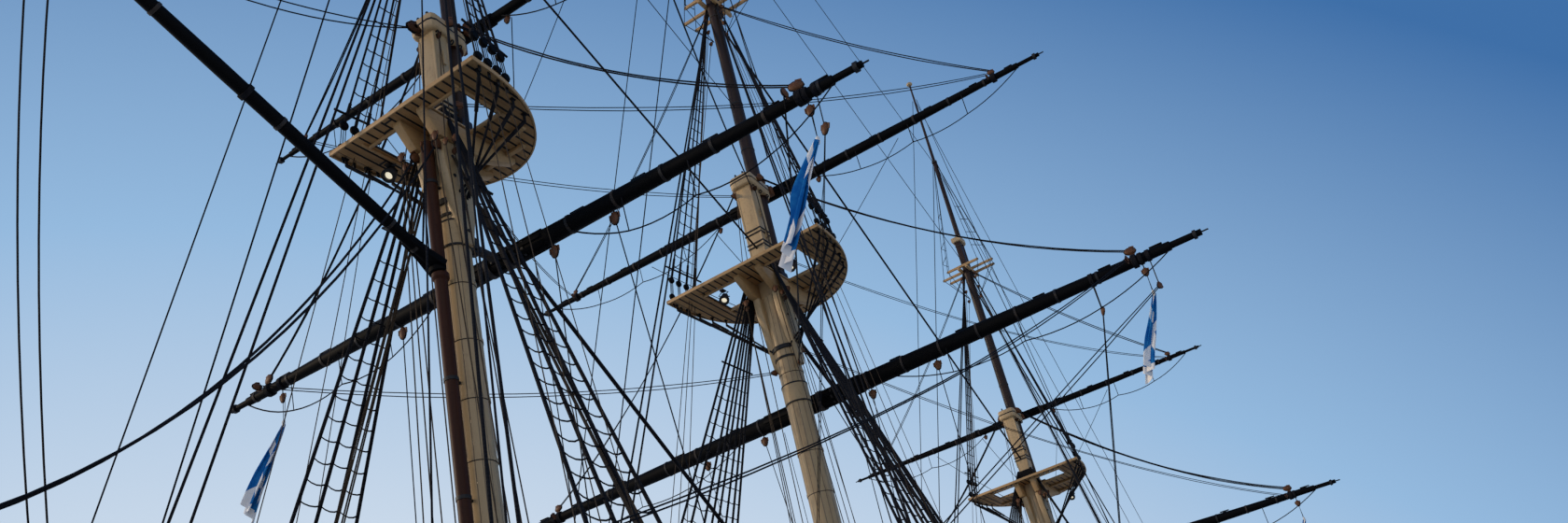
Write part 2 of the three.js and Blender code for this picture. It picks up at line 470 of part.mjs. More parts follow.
function buildMast(name, mast) {
  const group = mastGroups[name];
  const { top, cap, trees, head, stop, truck, foot, hounds, side, topmast, topgallant, ahead, ahead2 } = mast;
  const capLow = cap - CAP.thick;
  const treeLow = top - TOP.thick - TOP.crossDeep - TOP.treeDeep;
  const yard = YARDS.find((row) => row[1] === name && row[7] === 'truss');
  const yardAt = yard[2];
  const mastAtYard = foot + (hounds - foot) * 0.75;
  const pivot = trussPivot(mast, mastAtYard);
  const play = SWING_PLAY / M;
  const gap = GAP / M;
  const shoulder = treeLow - gap;

  // Lower mast: a round shaft, cheeks under the top, and a square head up to the cap
  const shaft = turned([[3.6, foot], [8.0, foot * 1.03], [yardAt, mastAtYard], [shoulder, hounds]]);
  const cheekLow = treeLow - CHEEK.long;
  const cheeks = [1, -1].map((port) => {
    const inner = port > 0 ? hounds - 0.12 : -hounds - CHEEK.thick;
    const outer = port > 0 ? hounds + CHEEK.thick : -hounds + 0.12;
    const plate = profilePlate([
      [-0.12, cheekLow], [0.12, cheekLow], [CHEEK.deep, treeLow - 0.5], [CHEEK.deep, shoulder],
      [-CHEEK.deep, shoulder], [-CHEEK.deep, treeLow - 0.5],
    ].reverse(), (outer - inner) / 2);
    return shifted(plate, 0, (inner + outer) / 2 * M, 0);
  });
  const headBlock = block([-side / 2, -side / 2, treeLow - 0.4], [side / 2, side / 2, cap - 0.02]);
  const band = turned([[yardAt - 0.32, mastAtYard + TRUSS.band], [yardAt + 0.32, mastAtYard + TRUSS.band]]);
  const lug = (low) => {
    const tongue = block([0, -TRUSS.eye, low], [pivot, TRUSS.eye, low + TRUSS.lug]);
    return join(tongue, shifted(turned([[low, TRUSS.eye], [low + TRUSS.lug, TRUSS.eye]]), pivot * M, 0, 0));
  };
  const eyeHalf = TRUSS.deep / 2;
  const pin = shifted(turned([
    [yardAt - eyeHalf - play - TRUSS.lug, TRUSS.pin], [yardAt + eyeHalf + play + TRUSS.lug, TRUSS.pin],
  ]), pivot * M, 0, 0);
  const lower = join(shaft, ...cheeks, headBlock, band, pin,
    lug(yardAt - eyeHalf - play - TRUSS.lug), lug(yardAt + eyeHalf + play));
  add(`${name}_lower_mast`, cut(lower, insideGroup(deckRoom, group)), CREAM_PAINT(), group);

  // Top: boards on crosstrees and trestletrees, with the mastheads' hole and a lubber's hole each side
  const inner = side / 2 + gap;
  const treeOuter = inner + TOP.treeWide;
  const boardsLow = top - TOP.thick;
  const lubber = { aft: -side / 2 - mast.topAft * 0.52, fore: 0.34, out: mast.topHalf * 0.62 };
  const wellFore = ahead + topmast + 0.05;
  const boards = slab(topOutline(mast), boardsLow, top, [
    rectangle(-inner, -inner, wellFore, inner).reverse(),
    rectangle(lubber.aft, treeOuter + 0.02, lubber.fore, lubber.out).reverse(),
    rectangle(lubber.aft, -lubber.out, lubber.fore, -treeOuter - 0.02).reverse(),
  ]);
  const aftTree = -mast.topAft * 0.86;
  const foreTree = mast.topLong - mast.topAft - 0.35;
  const trestles = [1, -1].map((port) => (port > 0
    ? block([aftTree, inner, treeLow], [foreTree, treeOuter, boardsLow])
    : block([aftTree, -treeOuter, treeLow], [foreTree, -inner, boardsLow])));
  const crossAt = [lubber.aft - 0.12 - TOP.crossWide / 2, wellFore + 0.12 + TOP.crossWide / 2, foreTree - 0.25];
  const crossHalf = [0.93, 0.84, 0.6].map((part) => part * mast.topHalf);
  const cross = crossAt.map((x, i) => block([x - TOP.crossWide / 2, -crossHalf[i], boardsLow - TOP.crossDeep],
    [x + TOP.crossWide / 2, crossHalf[i], boardsLow + 0.01]));
  const rim = cut(slab(topOutline(mast), top - 0.01, top + TOP.rim), slab(topOutline(mast, 0.09), top - 0.02, top + 0.2));
  add(`${name}_top`, join(boards, ...trestles, ...cross, rim), TOP_BOARDS(), group);

  // Cap: it fits over the masthead and holds the topmast before it
  const headHole = rectangle(-inner, -inner, inner, inner).reverse();
  const mastHole = circle(ahead, 0, topmast + gap / Math.cos(Math.PI / ROUND)).reverse();
  add(`${name}_cap`, slab(capOutline(mast), capLow, cap, [headHole, mastHole]), CREAM_PAINT(), group);

  // Topmast: it stands before the masthead and hangs on a fid that rests on the top
  const heel = treeLow - 0.12;
  const topTreeLow = trees - 0.16;
  const headSide = topmast * 1.25;
  const fid = block([ahead - 0.07, -treeOuter, top + gap], [ahead + 0.07, treeOuter, top + 0.16]);
  const topmastPole = join(
    turned([[heel, topmast], [cap, topmast], [topTreeLow - gap, topmast * 0.82], [topTreeLow, topmast * 0.5]]),
    block([-headSide / 2, -headSide / 2, topTreeLow - 0.3], [headSide / 2, headSide / 2, head]),
  );
  add(`${name}_topmast`, join(shifted(topmastPole, ahead * M, 0, 0), fid), DARK_WOOD(), group);

  // Crosstrees at the topmast's head
  const upperInner = headSide / 2 + gap;
  const upperOuter = upperInner + 0.11;
  const second = ahead + ahead2;
  const beams = [1, -1].map((port) => {
    const low = port > 0 ? upperInner : -upperOuter;
    return block([ahead - 0.55, low, topTreeLow], [second + 0.45, low + 0.11, trees]);
  });
  const spreaders = [[ahead - 0.42, 0.62], [ahead + headSide / 2 + 0.06, 1], [second + 0.3, 0.9]].map(([x, part]) =>
    block([x - 0.05, -mast.treeHalf * part, trees - 0.02], [x + 0.05, mast.treeHalf * part, trees + 0.10]));
  add(`${name}_crosstrees`, join(...beams, ...spreaders), DARK_WOOD(), group);

  // Topgallant and royal mast in one pole, with the topmast's cap round it
  const collarHole = headSide / 2 + gap;
  const collar = slab([
    [ahead - headSide / 2 - 0.09, -headSide / 2 - 0.09], [second, -topgallant - 0.11],
    [second + topgallant + 0.09, 0], [second, topgallant + 0.11], [ahead - headSide / 2 - 0.09, headSide / 2 + 0.09],
  ], head - 0.26, head - 0.02, [rectangle(ahead - collarHole, -collarHole, ahead + collarHole, collarHole).reverse()]);
  const pole = shifted(turned([
    [trees - 0.3, topgallant], [stop, topgallant * 0.72], [stop + 0.001, topgallant * 0.6],
    [truck - 0.16, topgallant * 0.33], [truck - 0.159, 0.15], [truck - 0.05, 0.15], [truck, 0.07],
  ], SPAR_SIDES), second * M, 0, 0);
  add(`${name}_topgallant_mast`, join(pole, collar), DARK_WOOD(), group);
}

// Distance from the mast's axis to the truss pin
function trussPivot(mast, radius) {
  return radius + TRUSS.reach;
}

for (const [name, mast] of Object.entries(MASTS)) buildMast(name, mast);

// Yards

function buildYard([name, mastName, height, half, ahead, rise, radius, hold]) {
  const mast = MASTS[mastName];
  const spar = turned([
    [-half, radius * 0.34], [-half * 0.93, radius * 0.36], [-half * 0.929, radius * 0.5], [-half * 0.5, radius * 0.86],
    [-half * 0.12, radius], [half * 0.12, radius], [half * 0.5, radius * 0.86], [half * 0.929, radius * 0.5],
    [half * 0.93, radius * 0.36], [half, radius * 0.34],
  ], SPAR_SIDES);
  const tilt = new THREE.Matrix4().makeRotationX(-Math.PI / 2 + degrees(rise));
  const place = new THREE.Matrix4().makeTranslation(ahead * M, 0, height * M).multiply(tilt);
  let yard = placed(spar, place);
  if (hold === 'truss') {
    const pivot = trussPivot(mast, mast.foot + (mast.hounds - mast.foot) * 0.75);
    const deep = TRUSS.deep / 2;
    const eye = shifted(ring(TRUSS.pin, TRUSS.eye, height - deep, height + deep), pivot * M, 0, 0);
    const yoke = block([pivot + TRUSS.pin + 0.02, -TRUSS.arm / 2, height - deep], [ahead, TRUSS.arm / 2, height + deep]);
    yard = join(yard, eye, yoke);
  } else {
    // The parrel rides on the topmast just above the cap, and the yard hangs before the cap's nose
    const { wall, deep, half: armHalf } = PARREL;
    const low = mast.cap + SWING_PLAY / M;
    const outer = mast.topmast + wall;
    const collar = shifted(ring(mast.topmast, outer, low, low + deep), mast.ahead * M, 0, 0);
    const arm = block([mast.ahead + mast.topmast + wall / 2, -armHalf, low], [ahead, armHalf, low + deep]);
    yard = join(yard, collar, arm);
  }
  add(name, yard, BLACK_PAINT(), mastGroups[mastName]);
}
YARDS.forEach(buildYard);

// Trysail mast, gaff and boom, in the mizzen mast's frame

const mizzen = mastGroups.mizzen;
const trysailGroup = new THREE.Group();
trysailGroup.position.set(-TRYSAIL.behind * M, 0, 0);
mizzen.add(trysailGroup);
trysailGroup.updateWorldMatrix(true, false);
const saddleTop = (height) => height - JAW.deep / 2 - SWING_PLAY / M;
const trysailProfile = [[3.6, TRYSAIL.radius]];
for (const { height } of [BOOM, GAFF]) {
  const high = saddleTop(height);
  trysailProfile.push([high - 0.1, TRYSAIL.radius], [high - 0.099, TRYSAIL.radius + TRYSAIL.saddle],
    [high, TRYSAIL.radius + TRYSAIL.saddle], [high + 0.001, TRYSAIL.radius]);
}
trysailProfile.push([TRYSAIL.top, TRYSAIL.radius]);
add('trysail_mast', cut(turned(trysailProfile), insideGroup(deckRoom, trysailGroup)), DARK_WOOD(), trysailGroup);

// A boom or gaff: jaws round the after side of the trysail mast and a tapered spar that rises aft
function jawedSpar({ height, length, rise, radius }) {
  const wrap = degrees(JAW.wrap);
  const reach = 0.6;
  const wedge = slab([
    [0, 0], [-reach * Math.cos(wrap), reach * Math.sin(wrap)], [-reach, reach], [-reach, -reach],
    [-reach * Math.cos(wrap), -reach * Math.sin(wrap)],
  ], height - JAW.deep, height + JAW.deep);
  const collar = ring(TRYSAIL.radius, TRYSAIL.radius + JAW.wall, height - JAW.deep / 2, height + JAW.deep / 2);
  const spar = turned([
    [0.12, radius * 0.72], [length * 0.12, radius * 0.9], [length * 0.4, radius], [length * 0.75, radius * 0.8],
    [length * 0.97, radius * 0.5], [length, radius * 0.5],
  ], SPAR_SIDES);
  const aim = new THREE.Matrix4().makeTranslation(0, 0, height * M)
    .multiply(new THREE.Matrix4().makeRotationY(-Math.PI / 2 + degrees(rise)));
  return cut(join(collar.intersect(wedge), placed(spar, aim)), bore(TRYSAIL.radius, height - 1, height + 1));
}
add('spanker_gaff', jawedSpar(GAFF), BLACK_PAINT(), trysailGroup);
add('spanker_boom', jawedSpar(BOOM), BLACK_PAINT(), trysailGroup);

// Bowsprit, jib-boom and dolphin striker

const jibBoomPole = (extra) => shifted(turned([
  [JIB_BOOM.heel - extra, JIB_BOOM.radius + extra],
  [JIB_BOOM.heel + JIB_BOOM.length, JIB_BOOM.radius * 0.6 + extra],
], SPAR_SIDES), -JIB_BOOM.above * M, 0, 0);
const jibBoomHole = jibBoomPole(GAP / M / Math.cos(Math.PI / SPAR_SIDES));
const bowspritEnd = BOWSPRIT.length;
const bowspritCap = block([-JIB_BOOM.above - 0.28, -0.26, bowspritEnd - 0.3], [0.3, 0.26, bowspritEnd]);
const saddle = block([-JIB_BOOM.above + 0.06, -0.2, JIB_BOOM.heel], [0, 0.2, JIB_BOOM.heel + 0.3]);
const bowsprit = cut(join(bowspritPole(0), bowspritCap, saddle), jibBoomHole, insideGroup(deckRoom, bowspritGroup));
add('bowsprit', bowsprit, CREAM_PAINT(), bowspritGroup);
add('jib_boom', jibBoomPole(0), DARK_WOOD(), bowspritGroup);
const striker = bar([0.3 + GAP / M, 0, bowspritEnd - 0.15], [0.3 + STRIKER.length, 0, bowspritEnd - 0.15],
  STRIKER.radius, ROPE_SIDES, STRIKER.radius * 0.6);
add('dolphin_striker', striker, BLACK_PAINT(), bowspritGroup);

// Stays

// A point on a mast's axis, or on the bowsprit's or jib-boom's
function sparPoint([spar, distance]) {
  if (spar === 'bowsprit' || spar === 'jib_boom') {
    const off = spar === 'bowsprit' ? 0 : -JIB_BOOM.above;
    const along = spar === 'bowsprit' ? distance : JIB_BOOM.heel + distance;
    const point = new THREE.Vector3(off * M, 0, along * M).applyMatrix4(bowspritGroup.matrixWorld);
    return point.divideScalar(M).toArray();
  }
  const [mastName, part] = spar.split('_');
  const mast = MASTS[mastName];
  const ahead = part ? mast.ahead : 0;
  return [mast.x - distance * Math.sin(degrees(mast.rake)) + ahead, 0, distance];
}
const worldSolid = {};
ship.updateMatrixWorld(true);
ship.traverse((item) => {
  if (item.isMesh) worldSolid[item.name] = placed(solid(item.geometry), item.matrixWorld);
});
const sparNode = (spar) => (MASTS[spar] ? `${spar}_lower_mast` : spar);
for (const [name, from, to, radius] of STAYS) {
  const start = sparPoint(from);
  const end = sparPoint(to);
  const along = new THREE.Vector3(...end).sub(new THREE.Vector3(...start)).normalize().multiplyScalar(GAP * 1.5);
  const ends = [[from, 1], [to, -1]].map(([[spar], way]) =>
    shifted(worldSolid[sparNode(spar)], along.x * way, along.y * way, along.z * way));
  add(name, cut(bar(start, end, radius), ...ends), TAR());
}

// Flags under the lower yards: each hangs on its halyard
for (const [name, row, port] of FLAGS) {
  const [yardName, mastName, height, , ahead, rise, radius] = YARDS[row];
  const mast = MASTS[mastName];
  const x = mast.x - height * Math.sin(degrees(mast.rake)) + ahead;
  const z = height + port * Math.sin(degrees(rise));
  const head = [x, port, z - FLAG.head];
  const halyard = bar([x, port, z], [x, port, z - FLAG.head - 0.05], FLAG.halyard, ROPE_SIDES);
  const cloth = bar(head, [x, port + FLAG.drift, head[2] - FLAG.drop], FLAG.narrow, ROPE_SIDES, FLAG.wide);
  const yard = shifted(worldSolid[yardName], 0, 0, -GAP);
  add(name, cut(join(halyard, cloth), yard), FLAG_CLOTH());
}

// Steering wheel: two wheels and a barrel on one axle, carried by a stand

const wheelGroup = new THREE.Group();
const wheelDeck = deckTop(WHEEL.x);
wheelGroup.position.set(WHEEL.x * M, 0, (wheelDeck + WHEEL.axle) * M);
wheelGroup.rotation.y = Math.PI / 2;
wheelGroup.updateMatrixWorld();
ship.add(wheelGroup);
const axle = 0.06;
function oneWheel(at) {
  const rim = ring(WHEEL.rim - 0.06, WHEEL.rim + 0.03, at - 0.035, at + 0.035, 0);
  const hub = turned([[at - 0.06, 0.14], [at + 0.06, 0.14]]);
  const spokes = Array.from({ length: WHEEL.spokes }, (_, i) => {
    const angle = 2 * Math.PI * i / WHEEL.spokes;
    const tip = [WHEEL.spoke * Math.cos(angle), WHEEL.spoke * Math.sin(angle), at];
    return bar([0.05 * Math.cos(angle), 0.05 * Math.sin(angle), at], tip, 0.026, 4);
  });
  return join(rim, hub, ...spokes);
}
const barrel = turned([[-0.24, 0.2], [0.24, 0.2]]);
const wheelAxle = turned([[-WHEEL.at - 0.09, axle], [WHEEL.at + 0.09, axle]]);
add('steering_wheel', join(wheelAxle, barrel, oneWheel(-WHEEL.at), oneWheel(WHEEL.at)), DARK_WOOD(), wheelGroup);

const bearingHole = placed(bore(axle, -1, 1), wheelGroup.matrixWorld);
const postFoot = wheelDeck - 0.3;
const posts = [-1, 1].map((end) => {
  const x = WHEEL.x + end * 0.30;
  return block([x - 0.045, -0.12, postFoot], [x + 0.045, 0.12, wheelDeck + WHEEL.axle + 0.14]);
});
const standFoot = block([WHEEL.x - 0.5, -0.3, postFoot], [WHEEL.x + 0.5, 0.3, wheelDeck + 0.08]);
add('wheel_stand', onDeck(cut(join(standFoot, ...posts), bearingHole)), DARK_WOOD());

// Capstan and the ring that it turns on

const capstanDeck = deckTop(CAPSTAN.x);
const baseTop = capstanDeck + 0.14;
const capstanBase = shifted(turned([[capstanDeck - 0.3, CAPSTAN.base], [baseTop, CAPSTAN.base]]), CAPSTAN.x * M, 0, 0);
add('capstan_base', onDeck(capstanBase), DARK_WOOD());
const capstanGroup = new THREE.Group();
capstanGroup.position.set(CAPSTAN.x * M, 0, baseTop * M + GAP);
ship.add(capstanGroup);
const whelps = Array.from({ length: CAPSTAN.whelps }, (_, i) => {
  const turn = new THREE.Matrix4().makeRotationZ(2 * Math.PI * i / CAPSTAN.whelps);
  return placed(block([0, -0.05, 0.1], [CAPSTAN.drum + 0.1, 0.05, CAPSTAN.high - 0.28]), turn);
});
const capstan = join(turned([
  [0, 0.54], [0.1, 0.54], [0.101, CAPSTAN.drum], [CAPSTAN.high - 0.28, CAPSTAN.drum * 0.85],
  [CAPSTAN.high - 0.279, CAPSTAN.head], [CAPSTAN.high - 0.04, CAPSTAN.head], [CAPSTAN.high, CAPSTAN.head * 0.8],
]), ...whelps);
add('capstan', capstan, DARK_WOOD(), capstanGroup);

// Hatch, skylight, binnacle and bitts

const deckBlock = (x0, x1, half, high) => block([x0, -half, deckTop(x1) - 0.4], [x1, half, deckTop(x1) + high]);
const [hatchAft, hatchFore] = HATCH.x;
add('main_hatch', onDeck(deckBlock(hatchAft, hatchFore, HATCH.half, HATCH.high)), DARK_WOOD());
const [lightAft, lightFore] = SKYLIGHT.x;
const lightTop = deckTop(lightFore) + SKYLIGHT.high;
const roof = placed(profilePlate([[-SKYLIGHT.half, lightTop - 0.4], [SKYLIGHT.half, lightTop - 0.4], [0, lightTop]],
  (lightFore - lightAft) / 2), new THREE.Matrix4().makeRotationZ(Math.PI / 2));
const skylight = join(deckBlock(lightAft, lightFore, SKYLIGHT.half, SKYLIGHT.high - 0.39),
  shifted(roof, (lightAft + lightFore) / 2 * M, 0, 0));
add('skylight', onDeck(skylight), DARK_WOOD());
const [boxAft, boxFore] = BINNACLE.x;
add('binnacle', onDeck(deckBlock(boxAft, boxFore, BINNACLE.half, BINNACLE.high)), DARK_WOOD());
const bittPosts = [-1, 1].map((side) => block(
  [BITTS.x - BITTS.post, side * BITTS.half - BITTS.post, deckTop(BITTS.x) - 0.4],
  [BITTS.x + BITTS.post, side * BITTS.half + BITTS.post, deckTop(BITTS.x) + BITTS.high],
));
const crossPiece = block([BITTS.x - 0.3, -BITTS.half - 0.4, deckTop(BITTS.x) + 0.6],
  [BITTS.x - 0.08, BITTS.half + 0.4, deckTop(BITTS.x) + 0.85]);
add('fore_bitts', onDeck(join(...bittPosts, crossPiece)), DARK_WOOD());

// Catheads, each with its anchor hanging from the outer end

for (const [name, side] of [['port', 1], ['starboard', -1]]) {
  const [fx, fy] = CATHEAD.from;
  const [tx, ty] = CATHEAD.to;
  const long = Math.hypot(tx - fx, ty - fy);
  const railAt = ringPoint(RAIL_RING, (fx + 1.3 - RAIL_RING[1]) / (RAIL_RING[2] - RAIL_RING[1]))[2];
  const low = railAt - 0.03;
  const turn = new THREE.Matrix4().makeTranslation(fx * M, side * fy * M, 0)
    .multiply(new THREE.Matrix4().makeRotationZ(side * Math.atan2(ty - fy, tx - fx)));
  const beam = block([0, -0.17, low], [long, 0.17, low + CATHEAD.high]);
  const hang = long - 0.22;
  const crown = low - CATHEAD.shank;
  const shank = bar([hang, 0, low + 0.1], [hang, 0, crown], 0.09, ROPE_SIDES, 0.13);
  const stock = block([hang - 0.12, -CATHEAD.stock, low - 0.75], [hang + 0.12, CATHEAD.stock, low - 0.5]);
  const arms = [-1, 1].map((way) => join(
    bar([hang, 0, crown + 0.05], [hang + way * CATHEAD.arm, 0, crown + 0.62], 0.12, ROPE_SIDES, 0.07),
    block([hang + way * 0.86 - 0.12, -0.22, crown + 0.45], [hang + way * 0.86 + 0.12, 0.22, crown + 0.55]),
  ));
  const piece = placed(join(beam, shank, stock, ...arms), turn);
  add(`anchor_${name}`, clearOf(piece, bulwarks[name]), IRON());
}

export default ship;
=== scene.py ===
"""The looks of a three-masted wooden frigate, built round her packed 1:2 model.

Sizes and places are in metres of the full-size ship: +X to the bow, +Y to port, +Z up from the waterline.
Each mesh is scaled to the model when it is finished.
"""

from __future__ import annotations

import functools
import logging
import math
import random
from collections.abc import Callable, Iterable, Sequence
from dataclasses import dataclass
from enum import Enum

import bmesh
import bpy
from mathutils import Matrix, Vector


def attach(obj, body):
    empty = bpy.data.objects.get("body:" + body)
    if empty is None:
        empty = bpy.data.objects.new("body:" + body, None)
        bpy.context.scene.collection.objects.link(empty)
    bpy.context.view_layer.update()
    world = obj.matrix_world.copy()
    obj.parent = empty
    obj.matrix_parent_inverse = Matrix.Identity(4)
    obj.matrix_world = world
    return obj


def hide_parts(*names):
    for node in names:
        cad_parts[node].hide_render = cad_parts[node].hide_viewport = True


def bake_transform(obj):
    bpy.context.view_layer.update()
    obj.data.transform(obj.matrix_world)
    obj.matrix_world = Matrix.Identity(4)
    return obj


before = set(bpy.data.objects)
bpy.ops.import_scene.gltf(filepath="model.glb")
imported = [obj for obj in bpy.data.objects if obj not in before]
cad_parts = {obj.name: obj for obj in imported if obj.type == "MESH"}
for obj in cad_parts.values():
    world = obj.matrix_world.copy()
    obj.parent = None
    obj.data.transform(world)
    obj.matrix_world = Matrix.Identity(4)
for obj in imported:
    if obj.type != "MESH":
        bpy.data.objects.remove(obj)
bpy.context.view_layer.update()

MODEL = 0.5                     # model metres for each metre of the ship
UP = Vector((0, 0, 1))
LAID = Matrix.Rotation(math.pi / 2, 4, "X")     # lays an upright part down, with its head to starboard

log = logging.getLogger("frigate")

Colour = tuple[float, float, float]
Profile = Sequence[tuple[float, float]]


class Side(Enum):
    """A side of the ship, as the sign of its y."""

    PORT = 1
    STARBOARD = -1


SIDES = {side.name.lower(): side.value for side in Side}


# Shader maths

# The Mix node's colour sockets, by number, because sockets of its other kinds have the same names
MIX_FIRST, MIX_SECOND, MIX_RESULT = 6, 7, 2


class Socket:
    """One shader value, on which Python's arithmetic makes Math nodes."""

    def __init__(self, shader: Shader, link: bpy.types.NodeSocket) -> None:
        """Wraps a node's output.

        Args:
            shader: the material that the node belongs to.
            link: the output socket.
        """
        self.shader = shader
        self.link = link

    def math(self, operation: str, *others: Value, swap: bool = False) -> Socket:
        """A Math node on this value.

        Args:
            operation: the node's operation.
            others: its further inputs.
            swap: whether this value is the second input.

        Returns:
            The node's output.
        """
        inputs = [*others, self] if swap else [self, *others]
        return self.shader.node("ShaderNodeMath", {"operation": operation}, dict(enumerate(inputs)))

    def __add__(self, other: Value) -> Socket:
        """The sum."""
        return self.math("ADD", other)

    def __sub__(self, other: Value) -> Socket:
        """The difference."""
        return self.math("SUBTRACT", other)

    def __rsub__(self, other: Value) -> Socket:
        """A number less this value."""
        return self.math("SUBTRACT", other, swap=True)

    def __mul__(self, other: Value) -> Socket:
        """The product."""
        return self.math("MULTIPLY", other)

    def __truediv__(self, other: Value) -> Socket:
        """The quotient."""
        return self.math("DIVIDE", other)

    def __gt__(self, other: Value) -> Socket:
        """1 where this value is the greater."""
        return self.math("GREATER_THAN", other)

    def __lt__(self, other: Value) -> Socket:
        """1 where this value is the smaller."""
        return self.math("LESS_THAN", other)

    __radd__ = __add__
    __rmul__ = __mul__

    def floor(self) -> Socket:
        """The whole number below."""
        return self.math("FLOOR")

    def fraction(self) -> Socket:
        """What lies above the whole number below."""
        return self.math("FRACT")

    def size(self) -> Socket:
        """The value without its sign."""
        return self.math("ABSOLUTE")

    def at_least(self, other: Value) -> Socket:
        """The greater of two values."""
        return self.math("MAXIMUM", other)

    def between(self, low: float, high: float) -> Socket:
        """1 where the value lies between two numbers."""
        return (self > low) * (self < high)

    def fade(self, low: float, high: float) -> Socket:
        """A rise from 0 at one number to 1 at another, without a sharp edge."""
        return self.shader.node("ShaderNodeMapRange", {"interpolation_type": "SMOOTHSTEP"},
                                {"Value": self, "From Min": low, "From Max": high})


Value = float | Socket


class Shader:
    """A material in the making."""

    def __init__(self, name: str) -> None:
        """Starts a material with a Principled BSDF.

        Args:
            name: the finish's name.
        """
        self.material = bpy.data.materials.new(name)
        self.material.use_nodes = True
        self.tree = self.material.node_tree
        self.tree.nodes.clear()
        self.surface = self.tree.nodes.new("ShaderNodeBsdfPrincipled")
        output = self.tree.nodes.new("ShaderNodeOutputMaterial")
        self.tree.links.new(self.surface.outputs["BSDF"], output.inputs["Surface"])

    def fill(self, node: bpy.types.Node, values: dict[str | int, object]) -> None:
        """Sets a node's inputs.

        Args:
            node: the node.
            values: a value or a Socket for each input's name or number.
        """
        for key, value in values.items():
            if isinstance(value, Socket):
                self.tree.links.new(value.link, node.inputs[key])
            else:
                node.inputs[key].default_value = value

    def node(self, kind: str, settings: dict[str, object], values: dict[str | int, object],
             output: str | int = 0) -> Socket:
        """Adds any node.

        Args:
            kind: the node's type.
            settings: its properties; stops holds a ramp's (position, grey or colour) pairs.
            values: a value or a Socket for each input's name or number.
            output: the name or number of the output that is wanted.

        Returns:
            That output.
        """
        made = self.tree.nodes.new(kind)
        for key, value in settings.items():
            if key == "stops":
                self.set_stops(made.color_ramp, value)
            else:
                setattr(made, key, value)
        self.fill(made, values)
        return Socket(self, made.outputs[output])

    @staticmethod
    def set_stops(ramp: bpy.types.ColorRamp, stops: Sequence[tuple[float, Colour]]) -> None:
        """Gives a colour ramp its stops."""
        while len(ramp.elements) < len(stops):
            ramp.elements.new(0.5)
        for element, (position, colour) in zip(ramp.elements, stops):
            element.position = position
            element.color = (*colour, 1)

    def place(self) -> Socket:
        """The point's place on the ship, in her metres, as a vector."""
        coordinates = self.node("ShaderNodeTexCoord", {}, {}, "Object")
        return self.node("ShaderNodeVectorMath", {"operation": "SCALE"}, {0: coordinates, "Scale": 1 / MODEL})

    def axes(self, vector: Socket) -> tuple[Socket, Socket, Socket]:
        """A vector's three numbers."""
        made = self.tree.nodes.new("ShaderNodeSeparateXYZ")
        self.tree.links.new(vector.link, made.inputs[0])
        return tuple(Socket(self, output) for output in made.outputs)

    def stretched(self, vector: Socket, scale: Sequence[float]) -> Socket:
        """A vector with each of its numbers multiplied by a scale of its own."""
        return self.node("ShaderNodeVectorMath", {"operation": "MULTIPLY"}, {0: vector, 1: tuple(scale)})

    def noise(self, vector: Socket, scale: float, detail: float = 4.0, roughness: float = 0.55) -> Socket:
        """Cloudy noise from about 0.3 to 0.7."""
        return self.node("ShaderNodeTexNoise", {},
                         {"Vector": vector, "Scale": scale, "Detail": detail, "Roughness": roughness})

    def chance(self, number: Value) -> Socket:
        """A random value from 0 to 1 for each number."""
        return self.node("ShaderNodeTexWhiteNoise", {"noise_dimensions": "1D"}, {"W": number})

    def bands(self, vector: Socket, scale: float, axis: str, distortion: float) -> Socket:
        """Waves that follow each other along an axis."""
        return self.node("ShaderNodeTexWave", {"wave_type": "BANDS", "bands_direction": axis},
                         {"Vector": vector, "Scale": scale, "Distortion": distortion}, "Fac")

    def mix(self, factor: Value, first: Colour | Socket, second: Colour | Socket) -> Socket:
        """A colour between two colours."""
        ends = [end if isinstance(end, Socket) else (*end, 1) for end in (first, second)]
        return self.node("ShaderNodeMix", {"data_type": "RGBA"},
                         {0: factor, MIX_FIRST: ends[0], MIX_SECOND: ends[1]}, MIX_RESULT)

    def bump(self, height: Socket, depth: float, strength: float = 1.0) -> Socket:
        """A surface that stands up by depth, in metres of the ship, where height is 1."""
        return self.node("ShaderNodeBump", {}, {"Height": height, "Distance": depth * MODEL, "Strength": strength})

    def done(self, **sockets: object) -> bpy.types.Material:
        """Sets the surface's own sockets, spaces in their names as underscores, and gives the material."""
        self.fill(self.surface, {key.replace("_", " "): value for key, value in sockets.items()})
        return self.material


def tinted(colour: Colour, share: float) -> Colour:
    """A colour made darker or lighter."""
    return tuple(share * part for part in colour)


@dataclass(frozen=True)
class Finish:
    """What a surface is made of. Each kind of finish makes its own material, once."""

    name: str

    @functools.cache
    def material(self) -> bpy.types.Material:
        """The finish's material."""
        return self.make(Shader(self.name))

    def make(self, shader: Shader) -> bpy.types.Material:
        """Builds the material's nodes."""
        raise NotImplementedError


